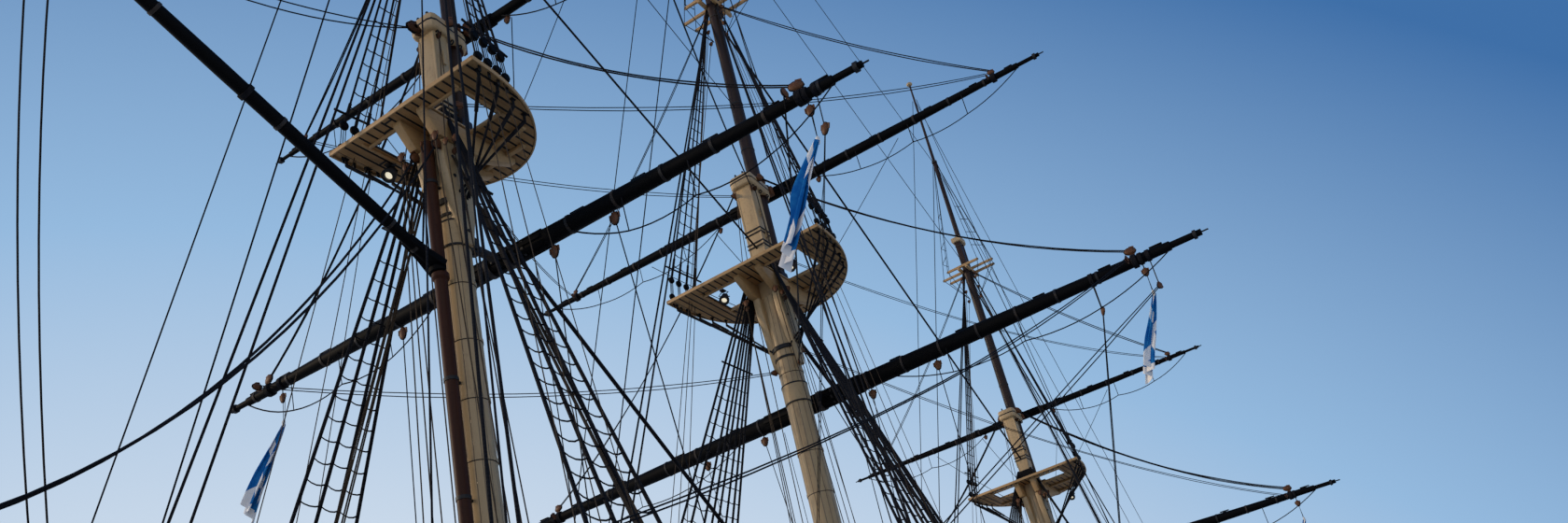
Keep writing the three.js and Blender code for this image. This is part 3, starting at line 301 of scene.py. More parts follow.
@dataclass(frozen=True)
class Timber(Finish):
    """Painted or varnished wood with its grain along one axis.

    The grain vector holds how fast the pattern changes along each axis, so it is small along the grain.
    """

    colour: Colour
    worn: Colour
    grain: Colour = (9.0, 9.0, 0.5)
    rough: float = 0.5
    coat: float = 0.0
    depth: float = 0.004
    wear: float = 0.5
    gloss: float = 0.5

    def make(self, shader: Shader) -> bpy.types.Material:
        """Grain, patches of wear and dirt, and a gloss that varies with them."""
        place = shader.place()
        grain = shader.noise(shader.stretched(place, self.grain), 1.6, 6, 0.62)
        patches = shader.noise(place, 0.9, 5, 0.6)
        fine = shader.noise(place, 14, 3, 0.6)
        worn = (grain * 0.65 + patches * 0.35).fade(0.62 - self.wear * 0.24, 0.72)
        colour = shader.mix(worn * (0.35 + 0.5 * self.wear), self.colour, self.worn)
        colour = shader.mix(fine.fade(0.52, 0.75) * 0.5, colour, tinted(self.colour, 0.55))
        return shader.done(Base_Color=colour, Roughness=patches * 0.3 + (self.rough - 0.15), Coat_Weight=self.coat,
                           Specular_IOR_Level=self.gloss,
                           Normal=shader.bump(grain * 0.8 + fine * 0.2, self.depth))


@dataclass(frozen=True)
class Planks(Finish):
    """Boards that run fore and aft, with a dark seam between them and a tone of its own for each."""

    colour: Colour
    worn: Colour
    width: float
    seam: float = 0.014
    butt: float = 6.0
    rough: float = 0.65

    def make(self, shader: Shader) -> bpy.types.Material:
        """Seams and butts from the board's number, with grain along it."""
        place = shader.place()
        x, y, _ = shader.axes(place)
        across = y / self.width + 0.5
        board = across.floor()
        edge = (across.fraction() - 0.5).size()
        along = x / self.butt + shader.chance(board * 3.7 + 11) * 7
        butt = (along.fraction() - 0.5).size() > 0.5 - self.seam * 0.5 / self.butt
        seam = (edge > 0.5 - self.seam * 0.5 / self.width).at_least(butt)
        tone = shader.chance(board * 1.3 + along.floor() * 17.7)
        grain = shader.noise(shader.stretched(place, (0.6, 12, 12)), 1.5, 6, 0.62)
        dirt = shader.noise(place, 1.1, 5, 0.6)
        colour = shader.mix(tone * 0.55 + grain.fade(0.42, 0.68) * 0.35, self.colour, self.worn)
        colour = shader.mix(dirt.fade(0.5, 0.75) * 0.35, colour, tinted(self.worn, 0.45))
        colour = shader.mix(seam, colour, (0.012, 0.009, 0.007))
        height = (1 - seam) + grain * 0.25 + tone * 0.15
        return shader.done(Base_Color=colour, Roughness=dirt * 0.25 + (self.rough - 0.12),
                           Normal=shader.bump(height, 0.006))


@dataclass(frozen=True)
class Staves(Finish):
    """Cream paint on a mast made of staves, whose long seams show. The mast stands at x and rakes aft."""

    x: float
    rake: float
    count: int = 14
    colour: Colour = (0.50, 0.345, 0.175)
    grime: Colour = (0.21, 0.125, 0.06)

    def make(self, shader: Shader) -> bpy.types.Material:
        """Seams by the angle round the mast's own axis, streaks that run down and chips along the seams."""
        place = shader.place()
        own = shader.node("ShaderNodeMapping", {"vector_type": "TEXTURE"},
                          {"Vector": place, "Location": (self.x, 0, 0), "Rotation": (0, -math.radians(self.rake), 0)})
        x, y, _ = shader.axes(own)
        turn = y.math("ARCTAN2", x) / math.tau * self.count
        seam = (turn.fraction() - 0.5).size().fade(0.44, 0.475)
        tone = shader.chance(turn.floor())
        streaks = shader.noise(shader.stretched(own, (7, 7, 0.35)), 1.3, 6, 0.65)
        spots = shader.noise(own, 6, 5, 0.6)
        dirt = (streaks * 0.7 + spots * 0.3).fade(0.5, 0.68)
        colour = shader.mix(dirt * 0.55 + tone * 0.12, self.colour, self.grime)
        colour = shader.mix(seam * (0.35 + spots * 0.9), colour, (0.10, 0.075, 0.05))
        return shader.done(Base_Color=colour, Roughness=spots * 0.3 + 0.33,
                           Normal=shader.bump((1 - seam) + streaks * 0.25, 0.008))


@dataclass(frozen=True)
class RopeLay(Finish):
    """Laid rope: strands that wind round it, tarred or bare."""

    colour: Colour
    light: Colour
    pitch: float = 0.05

    def make(self, shader: Shader) -> bpy.types.Material:
        """Slanting bands for the strands and a fuzz of fibres over them."""
        place = shader.place()
        strands = shader.bands(place, 0.31 / self.pitch, "DIAGONAL", 1.2)
        fibres = shader.noise(place, 30, 4, 0.7)
        weather = shader.noise(place, 1.3, 3, 0.5)
        colour = shader.mix(strands * 0.25 + fibres.fade(0.45, 0.75) * 0.25, self.colour, self.light)
        colour = shader.mix(weather.fade(0.5, 0.7) * 0.3, colour, self.light)
        return shader.done(Base_Color=colour, Roughness=fibres * 0.2 + 0.7, Specular_IOR_Level=0.1,
                           Normal=shader.bump(strands + fibres * 0.3, 0.002))


@dataclass(frozen=True)
class Metal(Finish):
    """Worked metal with a skin of paint, tarnish or rust in patches."""

    colour: Colour
    patina: Colour
    metallic: float = 0.8
    rough: float = 0.45
    seams: float = 0.0

    def make(self, shader: Shader) -> bpy.types.Material:
        """Patches of patina; seams, where it has them, are the laps of sheets of that height."""
        place = shader.place()
        patches = shader.noise(place, 2.2, 6, 0.65)
        fine = shader.noise(place, 24, 3, 0.6)
        skin = (patches * 0.7 + fine * 0.3).fade(0.45, 0.62)
        colour = shader.mix(skin, self.colour, self.patina)
        height = fine
        if self.seams:
            x, _, z = shader.axes(place)
            row = (z / self.seams).floor()
            sheet = x / (self.seams * 3) + row * 0.5
            lap = ((z / self.seams).fraction() < 0.07).at_least(sheet.fraction() < 0.022)
            corner = shader.node("ShaderNodeCombineXYZ", {}, {0: sheet.floor(), 1: row})
            tone = shader.node("ShaderNodeTexWhiteNoise", {"noise_dimensions": "2D"}, {"Vector": corner})
            colour = shader.mix(tone * 0.5, colour, tinted(self.colour, 0.6))
            colour = shader.mix(lap * 0.6, colour, tinted(self.colour, 0.35))
            height = fine * 0.3 + (1 - lap)
        return shader.done(Base_Color=colour, Roughness=skin * 0.25 + self.rough,
                           Metallic=(1 - skin * 0.6) * self.metallic, Normal=shader.bump(height, 0.004))


@dataclass(frozen=True)
class Bunting(Finish):
    """Woven blue cloth with a white saltire and a white band along its lower end, laid out on the cloth's UV map."""

    blue: Colour = (0.001, 0.11, 0.38)
    white: Colour = (0.86, 0.84, 0.82)
    arm: float = 0.08               # half the saltire's width, as a share of the cloth
    foot: float = 0.91              # how far down the white band starts

    def make(self, shader: Shader) -> bpy.types.Material:
        """The cloth's pattern, faded in patches, and a weave that catches light."""
        uv = shader.node("ShaderNodeUVMap", {"uv_map": "cloth"}, {})
        u, v, _ = shader.axes(uv)
        saltire = ((u - v).size() < self.arm).at_least((u + v - 1).size() < self.arm)
        white = saltire.at_least(v > self.foot)
        weave = shader.bands(uv, 90.0, "X", 0.4) * 0.5 + shader.bands(uv, 120.0, "Y", 0.4) * 0.5
        faded = shader.noise(shader.place(), 3.0, 4, 0.6)
        blue = shader.mix(faded.fade(0.4, 0.7) * 0.5, self.blue, (0.03, 0.28, 0.58))
        colour = shader.mix(white, blue, self.white)
        return shader.done(Base_Color=colour, Roughness=faded * 0.2 + 0.6, Specular_IOR_Level=0.12,
                           Normal=shader.bump(weave, 0.0002))


@dataclass(frozen=True)
class Lens(Finish):
    """A lamp's glass, lit from inside."""

    colour: Colour = (1.0, 0.93, 0.72)
    power: float = 0.7

    def make(self, shader: Shader) -> bpy.types.Material:
        """Ribbed glass that glows."""
        place = shader.place()
        ribs = shader.node("ShaderNodeTexWave", {"wave_type": "RINGS"}, {"Vector": place, "Scale": 12.0}, "Fac")
        glow = shader.mix(ribs * 0.3, self.colour, (1.0, 0.8, 0.5))
        return shader.done(Base_Color=glow, Roughness=0.2, Emission_Color=glow, Emission_Strength=self.power)


@dataclass(frozen=True)
class Pane(Finish):
    """Old window glass, coloured with the painted shade of the unlit inside of the ship, with a wave in it."""

    # Painted shade: the dark inside of the ship, as seen through glass, put on an opaque pane
    colour: Colour = (0.035, 0.045, 0.05)

    def make(self, shader: Shader) -> bpy.types.Material:
        """Uneven glass that mirrors its surroundings."""
        waves = shader.noise(shader.place(), 5, 2, 0.4)
        colour = shader.mix(waves.fade(0.4, 0.7), self.colour, tinted(self.colour, 1.8))
        return shader.done(Base_Color=colour, Roughness=0.08, Coat_Weight=1.0,
                           Normal=shader.bump(waves, 0.01))


# The ship's lines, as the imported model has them


@dataclass(frozen=True)
class Ring:
    """The outline of the hull at one height: its ends, half breadths and how full it stays."""

    z: float
    aft: float
    fore: float
    beam: float
    stern: float
    bow: float
    run: float
    entry: float
    sheer: float
    bluff: float

    def between(self, other: Ring, share: float) -> Ring:
        """A ring part of the way to another one."""
        names = self.__dataclass_fields__
        return Ring(*(getattr(self, n) * (1 - share) + getattr(other, n) * share for n in names))

    def point(self, s: float) -> Vector:
        """The port side's point at station s, from 0 at the stern to 1 at the bow."""
        x = self.aft + (self.fore - self.aft) * s
        height = self.z + self.sheer * deck_rise(x)
        if x > WIDEST:
            t = min(1.0, (x - WIDEST) / (self.fore - WIDEST))
            return Vector((x, self.bow + (self.beam - self.bow) * (1 - t ** self.entry) ** self.bluff, height))
        t = (WIDEST - x) / (WIDEST - self.aft)
        return Vector((x, self.stern + (self.beam - self.stern) * (1 - t ** self.run), height))


RINGS = [
    Ring(-4.90, -19.60, 20.20, 0.30, 0.15, 0.15, 1.2, 1.5, 0.0, 1.00),
    Ring(-4.45, -19.66, 21.60, 2.20, 0.15, 0.15, 1.1, 1.5, 0.0, 1.00),
    Ring(-3.60, -19.76, 22.70, 4.20, 0.16, 0.15, 1.2, 1.7, 0.0, 0.96),
    Ring(-2.40, -19.90, 23.60, 5.40, 0.17, 0.15, 1.4, 2.0, 0.0, 0.92),
    Ring(-1.10, -20.05, 24.30, 5.95, 0.18, 0.15, 1.7, 2.2, 0.0, 0.88),
    Ring(0.00, -20.17, 24.70, 6.05, 0.22, 0.15, 2.1, 2.5, 0.2, 0.83),
    Ring(1.00, -20.31, 25.00, 6.00, 0.50, 0.16, 2.7, 2.8, 0.6, 0.78),
    Ring(1.70, -20.41, 25.20, 5.86, 2.20, 0.16, 3.2, 3.0, 0.8, 0.72),
    Ring(2.25, -21.30, 25.35, 5.69, 3.90, 0.16, 3.2, 3.2, 1.0, 0.67),
    Ring(3.05, -22.40, 25.50, 5.37, 4.08, 0.17, 2.9, 3.4, 1.0, 0.61),
    Ring(4.00, -22.75, 25.70, 5.03, 3.86, 0.17, 2.7, 3.6, 1.0, 0.56),
    Ring(5.25, -23.15, 25.90, 4.80, 3.62, 0.17, 2.6, 3.6, 1.05, 0.54),
]
DECK_RING = RINGS[-2]
WIDEST = 2.0                    # x of the midship section
DECK_Z = 4.08                   # top of the deck's planks at the midship section
WALL = 0.26                     # thickness of the bulwarks
# The sheer forward and aft of the midship section: how far the deck rises, over what length
SHEER_FORE = (0.9, 23)
SHEER_AFT = (0.45, 25)


def deck_rise(x: float) -> float:
    """How far the deck has risen from the midship section at x."""
    rise, length = SHEER_FORE if x > WIDEST else SHEER_AFT
    return rise * ((x - WIDEST) / length) ** 2


def ring_at(z: float) -> Ring:
    """The hull's ring at a height amidships."""
    for low, high in zip(RINGS, RINGS[1:]):
        if z <= high.z:
            return low.between(high, (z - low.z) / (high.z - low.z))
    return RINGS[-1]


def side_at(x: float, z: float, side: int = 1) -> Vector:
    """The point of the ship's side at x, on the ring that has the height z amidships."""
    ring = ring_at(z)
    point = ring.point(min(1.0, max(0.0, (x - ring.aft) / (ring.fore - ring.aft))))
    return Vector((point.x, side * point.y, point.z))


def on_deck(x: float, y: float = 0.0, up: float = 0.0) -> Vector:
    """A point over the deck."""
    return Vector((x, y, DECK_Z + deck_rise(x) + up))


def read_off(profile: Profile, place: float) -> float:
    """A profile's value at a place, between those that it gives."""
    for (low, at_low), (high, at_high) in zip(profile, profile[1:]):
        if place <= high:
            return at_low + (at_high - at_low) * (place - low) / (high - low)
    return profile[-1][1]


TREE_LOW = 0.58                 # from the top's boards down to the foot of its trestletrees
CAP_THICK = 0.42
TOP_CURVE = 2.4                 # power of the curve that the top's outline follows


@dataclass(frozen=True)
class Mast:
    """One mast's sizes. Heights are measured along the mast from the waterline."""

    name: str
    x: float
    rake: float                     # degrees aft
    top: float                      # height of the top's boards
    cap: float                      # of the cap's upper face
    trees: float                    # of the crosstrees
    head: float                     # of the topmast's head
    stop: float                     # of the topgallant mast's stop
    truck: float
    foot: float                     # the lower mast's radius at the deck
    hounds: float                   # its radius under the top
    side: float                     # width of its square head
    topmast: float                  # the topmast's radius
    topgallant: float
    ahead: float                    # how far the topmast stands ahead of the lower mast
    ahead2: float                   # and the topgallant mast ahead of the topmast
    top_aft: float                  # how far the top reaches aft
    top_half: float                 # half its width
    top_long: float
    tree_half: float                # half the longest crosstree
    yard: float                     # height of the lower yard
    feet: tuple[float, ...]         # x of each lower shroud's foot
    channel: tuple[float, float, float]     # x aft, x fore and height of the channel
    deadeyes: tuple[float, ...]     # along the top's rim, where the topmast shrouds end
    straps: tuple[float, ...]       # along the rim, where the futtock straps start
    stoutest: float = 8.0           # height at which the lower mast is stoutest

    @property
    def frame(self) -> Matrix:
        """The mast's own frame: Z up the mast, X forward."""
        return Matrix.Translation((self.x, 0, 0)) @ Matrix.Rotation(-math.radians(self.rake), 4, "Y")

    def at(self, height: float, ahead: float = 0.0, port: float = 0.0) -> Vector:
        """A point by its height along the mast and its distances ahead and to port of the axis."""
        return self.frame @ Vector((ahead, port, height))

    def moved(self, ahead: float, port: float = 0.0, up: float = 0.0) -> Matrix:
        """The mast's own frame, moved ahead, to port and up the mast."""
        return self.frame @ Matrix.Translation((ahead, port, up))

    @property
    def at_yard(self) -> float:
        """The lower mast's radius at the lower yard."""
        return self.foot + (self.hounds - self.foot) * 0.75

    @property
    def second(self) -> float:
        """How far the topgallant mast stands ahead of the lower mast."""
        return self.ahead + self.ahead2

    @property
    def topmast_head(self) -> float:
        """Half the width of the topmast's square head."""
        return self.topmast * 0.625

    @property
    def spreaders(self) -> tuple[tuple[float, float], ...]:
        """How far ahead of the mast each crosstree lies, and its length as a share of the longest."""
        return (self.ahead - 0.42, 0.62), (self.ahead + self.topmast_head + 0.06, 1.0), (self.second + 0.3, 0.9)

    def thick(self, height: float) -> float:
        """The lower mast's radius at a height. It is stoutest some way above the deck."""
        return read_off(((0, self.foot), (4, self.foot), (self.stoutest, self.foot * 1.03),
                         (self.yard, self.at_yard), (self.top - TREE_LOW, self.hounds)), height)

    def outline(self, inset: float = 0.0, steps: int = 22) -> list[tuple[float, float]]:
        """The port half of the top's outline, from its after corner to its fore end."""
        long = self.top_long - 2 * inset
        shares = [math.sin(i / steps * math.pi / 2) for i in range(steps + 1)]
        return [(-self.top_aft + inset + u * long, (self.top_half - inset) * math.sqrt(max(0.0, 1 - u ** TOP_CURVE)))
                for u in shares]


MASTS = {
    "mizzen": Mast("mizzen", -13.237, 0.759, 17.752, 20.62, 26.4, 27.9, 31.6, 35.6, 0.31, 0.27, 0.42, 0.165, 0.10,
                   0.58, 0.33, 1.17, 1.99, 3.15, 0.95, 15.159, (-13.65, -14.4, -15.1, -15.9), (-17.6, -13.2, 3.95),
                   (-0.9, -0.63, -0.36, -0.08), (-0.88, -0.34, 0.2, 0.7)),
    "main": Mast("main", 0.0, 1.547, 19.410, 23.08, 30.60, 32.4, 37.0, 42.4, 0.38, 0.34, 0.52, 0.215, 0.13,
                 0.74, 0.42, 1.58, 2.62, 4.08, 1.30, 15.666, (-0.6, -1.1, -1.7, -2.4, -2.95, -3.6, -4.7, -5.45),
                 (-5.9, 0.3, 3.65), (-1.35, -0.99, -0.63, -0.27), (-1.3, -0.8, -0.27, 0.25, 0.75)),
    "fore": Mast("fore", 19.698, 1.599, 17.441, 20.80, 28.20, 29.9, 34.4, 39.24, 0.34, 0.31, 0.48, 0.205, 0.125,
                 0.70, 0.40, 1.05, 2.45, 3.85, 1.26, 13.850, (19.1, 18.4, 17.6, 16.8, 16.0, 15.2, 14.4),
                 (13.8, 19.4, 4.05), (-0.85, -0.6, -0.36, -0.12), (-0.85, -0.45, -0.1, 0.3, 0.7)),
}
# How far abaft each mast the first of its topmast's falls comes down, and their spacing
FALLS_AFT = {"mizzen": (1.2, 0.9), "main": (2.5, 0.8), "fore": (2.5, 0.8)}

YARD_TAPER = ((0, 1.0), (0.12, 1.0), (0.5, 0.86), (0.929, 0.5), (0.93, 0.36), (1.0, 0.34))
ARM = 0.845                     # share of a yard's half length at which its lifts and braces are made fast
TIP = 0.985                     # and that of the band at its end


@dataclass(frozen=True)
class Yard:
    """One yard's sizes: its height and distance ahead on the mast, half length, the port end's rise, and radius."""

    name: str
    mast: Mast
    height: float
    half: float
    ahead: float
    rise: float
    radius: float
    lower: bool
    flags: tuple[tuple[float, float, float], ...] = ()     # each one's place, drift in the wind and foot's spread

    @property
    def frame(self) -> Matrix:
        """The yard's own frame: Z along it to port, with X forward."""
        tilt = Matrix.Rotation(-math.pi / 2 + math.radians(self.rise), 4, "X")
        return self.mast.frame @ Matrix.Translation((self.ahead, 0, self.height)) @ tilt

    def at(self, port: float, up: float = 0.0, ahead: float = 0.0) -> Vector:
        """A point by its distance along the yard to port, with distances above and ahead of its axis."""
        return self.frame @ Vector((ahead, -up, port))

    def thick(self, port: float) -> float:
        """The yard's radius at a distance along it."""
        return self.radius * read_off(YARD_TAPER, abs(port) / self.half)

    @property
    def arm(self) -> float:
        """Where the lifts and braces are made fast, near the yard's end."""
        return self.half * ARM

    @property
    def gear(self) -> float:
        """Length of its cleats and larger blocks."""
        return 0.34 if self.lower else 0.24


YARDS = [
    Yard("crossjack_yard", MASTS["mizzen"], 15.159, 8.463, 1.275, 1.33, 0.19, True,
         ((6.7, 1.3, 0.23), (-7.3, 1.25, 0.15))),
    Yard("mizzen_topsail_yard", MASTS["mizzen"], 20.871, 6.180, 1.00, 1.34, 0.115, False),
    Yard("main_yard", MASTS["main"], 15.666, 11.500, 1.00, 0.23, 0.25, True,
         ((9.9, 1.1, 0.15), (-9.9, 0.75, 0.15))),
    Yard("main_topsail_yard", MASTS["main"], 22.993, 9.305, 1.28, 0.815, 0.165, False),
    Yard("fore_yard", MASTS["fore"], 13.850, 10.937, 0.95, 1.53, 0.215, True,
         ((9.4, 1.1, 0.15), (-9.4, 0.9, 0.15))),
    Yard("fore_topsail_yard", MASTS["fore"], 20.769, 8.133, 1.22, 0.75, 0.145, False),
]
YARD = {yard.name: yard for yard in YARDS}

TRUSS_OUT = 0.20                # the truss pin's axis ahead of the lower mast's face
TRYSAIL_BEHIND = 0.50           # the trysail mast's axis abaft the mizzen mast's
TRYSAIL_RADIUS = 0.125
GAFF = (14.28, 12.5, 24.4, 0.13)        # height, length, rise in degrees, radius
BOOM = (7.0, 17.0, 3.0, 0.16)
BOWSPRIT_HEEL = Vector((22.3, 0, 5.12))
BOWSPRIT_RISE = 27.0


def spanker_point(spar: tuple[float, float, float, float], along: float, up: float = 0.0, port: float = 0.0) -> Vector:
    """A point on the gaff or the boom, by its distance from the trysail mast's axis."""
    height, _, rise, _ = spar
    c, s = math.cos(math.radians(rise)), math.sin(math.radians(rise))
    return MASTS["mizzen"].at(height + along * s + up * c, -TRYSAIL_BEHIND - along * c + up * s, port)


def bowsprit_point(along: float, up: float = 0.0, port: float = 0.0) -> Vector:
    """A point by its distance along the bowsprit and its height square to it."""
    c, s = math.cos(math.radians(BOWSPRIT_RISE)), math.sin(math.radians(BOWSPRIT_RISE))
    return BOWSPRIT_HEEL + Vector((along * c - up * s, port, along * s + up * c))


# Building meshes


def aimed(start: Vector, end: Vector) -> Matrix:
    """A frame at start whose Z points at end."""
    return Matrix.Translation(start) @ (end - start).to_track_quat("Z", "Y").to_matrix().to_4x4()


def sagged(start: Vector, end: Vector, sag: float = 0.0, steps: int = 1) -> list[Vector]:
    """Points along a line that hangs down by sag in its middle."""
    return [start.lerp(end, i / steps) - UP * (4 * sag * (i / steps) * (1 - i / steps)) for i in range(steps + 1)]


def at_height(foot: Vector, head: Vector, z: float) -> Vector:
    """The point of a line from foot to head that has the height z."""
    return foot.lerp(head, (z - foot.z) / (head.z - foot.z))


def ring_edges(part: bmesh.types.BMesh, verts: Sequence[bmesh.types.BMVert]) -> list[bmesh.types.BMEdge]:
    """Joins vertices into a closed ring of edges."""
    return [part.edges.new(pair) for pair in zip(verts, [*verts[1:], verts[0]])]


def bridged(part: bmesh.types.BMesh, rings: Sequence[list[bmesh.types.BMEdge]]) -> None:
    """Spans the gap from each ring of edges to the next."""
    for first, second in zip(rings, rings[1:]):
        bmesh.ops.bridge_loops(part, edges=[*first, *second])


class Work:
    """A piece in the making: one mesh, in the ship's metres, in as many finishes as it needs."""

    def __init__(self, name: str, finish: Finish) -> None:
        """Starts an empty piece.

        Args:
            name: the piece's name.
            finish: what its first parts are made of.
        """
        self.name = name
        self.mesh = bmesh.new()
        self.finishes: list[Finish] = []
        self.index = 0
        self.use(finish)

    def use(self, finish: Finish) -> Work:
        """Makes the parts that follow of another finish."""
        if finish not in self.finishes:
            self.finishes.append(finish)
        self.index = self.finishes.index(finish)
        return self

    def take(self, part: bmesh.types.BMesh, frame_matrix: Matrix | None = None, recalculate: bool = False) -> Work:
        """Adds a finished part and frees it.

        Args:
            part: the part's mesh.
            frame_matrix: where it goes, if it isn't in place.
            recalculate: whether its doubles are merged and its faces turned outwards first.

        Returns:
            This piece.
        """
        if recalculate:
            bmesh.ops.remove_doubles(part, verts=part.verts, dist=1e-5)
            bmesh.ops.recalc_face_normals(part, faces=part.faces)
        if frame_matrix is not None:
            bmesh.ops.transform(part, matrix=frame_matrix, verts=part.verts)
        for face in part.faces:
            face.material_index = self.index
        self.merge(part)
        return self

    def merge(self, part: bmesh.types.BMesh) -> None:
        """Copies a part into the piece."""
        carrier = bpy.data.meshes.new("carrier")
        part.to_mesh(carrier)
        part.free()
        self.mesh.from_mesh(carrier)
        bpy.data.meshes.remove(carrier)

    def block(self, low: Sequence[float], high: Sequence[float], bevel: float = 0.0,
              frame_matrix: Matrix | None = None) -> Work:
        """A block from its lowest to its highest corner, with its edges rounded."""
        part = bmesh.new()
        bmesh.ops.create_cube(part, size=1.0)
        low, high = Vector(low), Vector(high)
        bmesh.ops.scale(part, vec=high - low, verts=part.verts)
        bmesh.ops.translate(part, vec=(low + high) / 2, verts=part.verts)
        if bevel:
            bmesh.ops.bevel(part, geom=part.edges, offset=bevel, offset_type="OFFSET", segments=2, profile=0.5,
                            affect="EDGES", material=-1)
        return self.take(part, frame_matrix)

    def turned(self, profile: Profile, frame_matrix: Matrix | None = None, sides: int = 24) -> Work:
        """A round part on the Z axis, spun from a profile of heights and radii."""
        return self.spun([(profile[0][0], 0.0), *profile, (profile[-1][0], 0.0)], frame_matrix, sides)

    def hoop(self, bore: float, outer: float, low: float, high: float, frame_matrix: Matrix | None = None,
             sides: int = 24) -> Work:
        """A flat ring on the Z axis."""
        section = [(low, bore), (low, outer), (high, outer), (high, bore), (low, bore)]
        return self.spun(section, frame_matrix, sides)

    def band(self, radius: float, proud: float, low: float, high: float, frame_matrix: Matrix, sides: int,
             sunk: float = 0.01) -> Work:
        """A hoop driven onto a spar of a radius: how far it stands proud of it and is sunk in it."""
        return self.hoop(radius - sunk, radius + proud, low, high, frame_matrix, sides)

    def spun(self, points: Profile, frame_matrix: Matrix | None, sides: int) -> Work:
        """A line of heights and radii spun round the Z axis."""
        part = bmesh.new()
        verts = [part.verts.new((r, 0, z)) for z, r in points]
        edges = [part.edges.new(pair) for pair in zip(verts, verts[1:])]
        bmesh.ops.spin(part, geom=[*verts, *edges], cent=(0, 0, 0), axis=(0, 0, 1), angle=math.tau, steps=sides,
                       use_merge=True)
        return self.take(part, frame_matrix, recalculate=True)

    def plate(self, outline: Sequence[tuple[float, float]], low: float, high: float, bevel: float = 0.0,
              frame_matrix: Matrix | None = None, segments: int = 2) -> Work:
        """A flat outline in X and Y, extruded from low to high, with its rims rounded."""
        part = bmesh.new()
        face = part.faces.new([part.verts.new((x, y, low)) for x, y in outline])
        raised = bmesh.ops.extrude_face_region(part, geom=[face])["geom"]
        lid = [v for v in raised if isinstance(v, bmesh.types.BMVert)]
        bmesh.ops.translate(part, vec=(0, 0, high - low), verts=lid)
        bmesh.ops.recalc_face_normals(part, faces=part.faces)
        if bevel:
            rims = [e for e in part.edges if abs(e.verts[0].co.z - e.verts[1].co.z) < 1e-6]
            bmesh.ops.bevel(part, geom=rims, offset=bevel, offset_type="OFFSET", segments=segments, profile=0.5,
                            affect="EDGES", material=-1, clamp_overlap=True)
        return self.take(part, frame_matrix)

    def lines(self, runs: Iterable[tuple[Sequence[Vector], float]], fine: bool = False) -> Work:
        """Ropes or rods: each run is its points and its radius.

        Args:
            runs: the lines.
            fine: whether each has eight sides, not four.

        Returns:
            This piece.
        """
        curve = bpy.data.curves.new("lines", "CURVE")
        curve.dimensions = "3D"
        curve.bevel_depth = 1.0
        curve.bevel_resolution = 2 if fine else 0
        curve.use_fill_caps = True
        for points, radius in runs:
            spline = curve.splines.new("POLY")
            spline.points.add(len(points) - 1)
            for place, point in zip(spline.points, points):
                place.co = (*point, 1)
                place.radius = radius
        carrier = bpy.data.objects.new("lines", curve)
        mesh = bpy.data.meshes.new_from_object(carrier)
        part = bmesh.new()
        part.from_mesh(mesh)
        bpy.data.objects.remove(carrier)
        bpy.data.curves.remove(curve)
        bpy.data.meshes.remove(mesh)
        return self.take(part)

    def rod(self, points: Sequence[Vector], radius: float, fine: bool = False) -> Work:
        """One rope or rod."""
        return self.lines([(points, radius)], fine)

    def stamp(self, pattern: bpy.types.Mesh, frames: Iterable[Matrix]) -> Work:
        """Copies of a small pattern, one at each frame."""
        for place in frames:
            part = bmesh.new()
            part.from_mesh(pattern)
            self.take(part, place)
        return self

    def done(self, body: str, slot: str = "", replaces: Sequence[str] = (), sharp: float = 38.0) -> bpy.types.Object:
        """Finishes the piece.

        Args:
            body: the CAD body that it rides on; empty for none.
            slot: not used.
            replaces: the CAD nodes that it stands for.
            sharp: the angle in degrees from which an edge stays sharp.

        Returns:
            The piece's object.
        """
        bmesh.ops.scale(self.mesh, vec=(MODEL,) * 3, verts=self.mesh.verts)
        limit = math.radians(sharp)
        for edge in self.mesh.edges:
            edge.smooth = len(edge.link_faces) == 2 and edge.calc_face_angle(0.0) < limit
        for face in self.mesh.faces:
            face.smooth = True
        data = bpy.data.meshes.new(self.name)
        self.mesh.to_mesh(data)
        self.mesh.free()
        for finish in self.finishes:
            data.materials.append(finish.material())
        piece = bpy.data.objects.new(self.name, data)
        bpy.context.scene.collection.objects.link(piece)
        if body:
            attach(piece, body)
        if replaces:
            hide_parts(*replaces)
        log.info("%s: %d faces, on %s", self.name, len(data.polygons), body or "two bodies")
        return piece

    def blended(self, start: Vector, end: Vector, slot: str = "") -> bpy.types.Object:
        """Finishes a piece that leads from the ship to a moving spar, without putting it on a body.

        Args:
            start: where it leaves the ship, in the ship's metres; not used.
            end: where it reaches the spar; not used.
            slot: not used.

        Returns:
            The piece's object.
        """
        piece = self.done("", slot)
        tuple(start * MODEL)
        tuple(end * MODEL)
        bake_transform(piece)
        return piece


def pattern(build: Callable[[Work], object], name: str) -> bpy.types.Mesh:
    """A small mesh that is stamped many times, in the ship's metres.

    Args:
        build: makes the pattern's parts.
        name: the mesh's name.

    Returns:
        The mesh.
    """
    work = Work(name, Finish("none"))
    build(work)
    mesh = bpy.data.meshes.new(name)
    work.mesh.to_mesh(mesh)
    work.mesh.free()
    return mesh


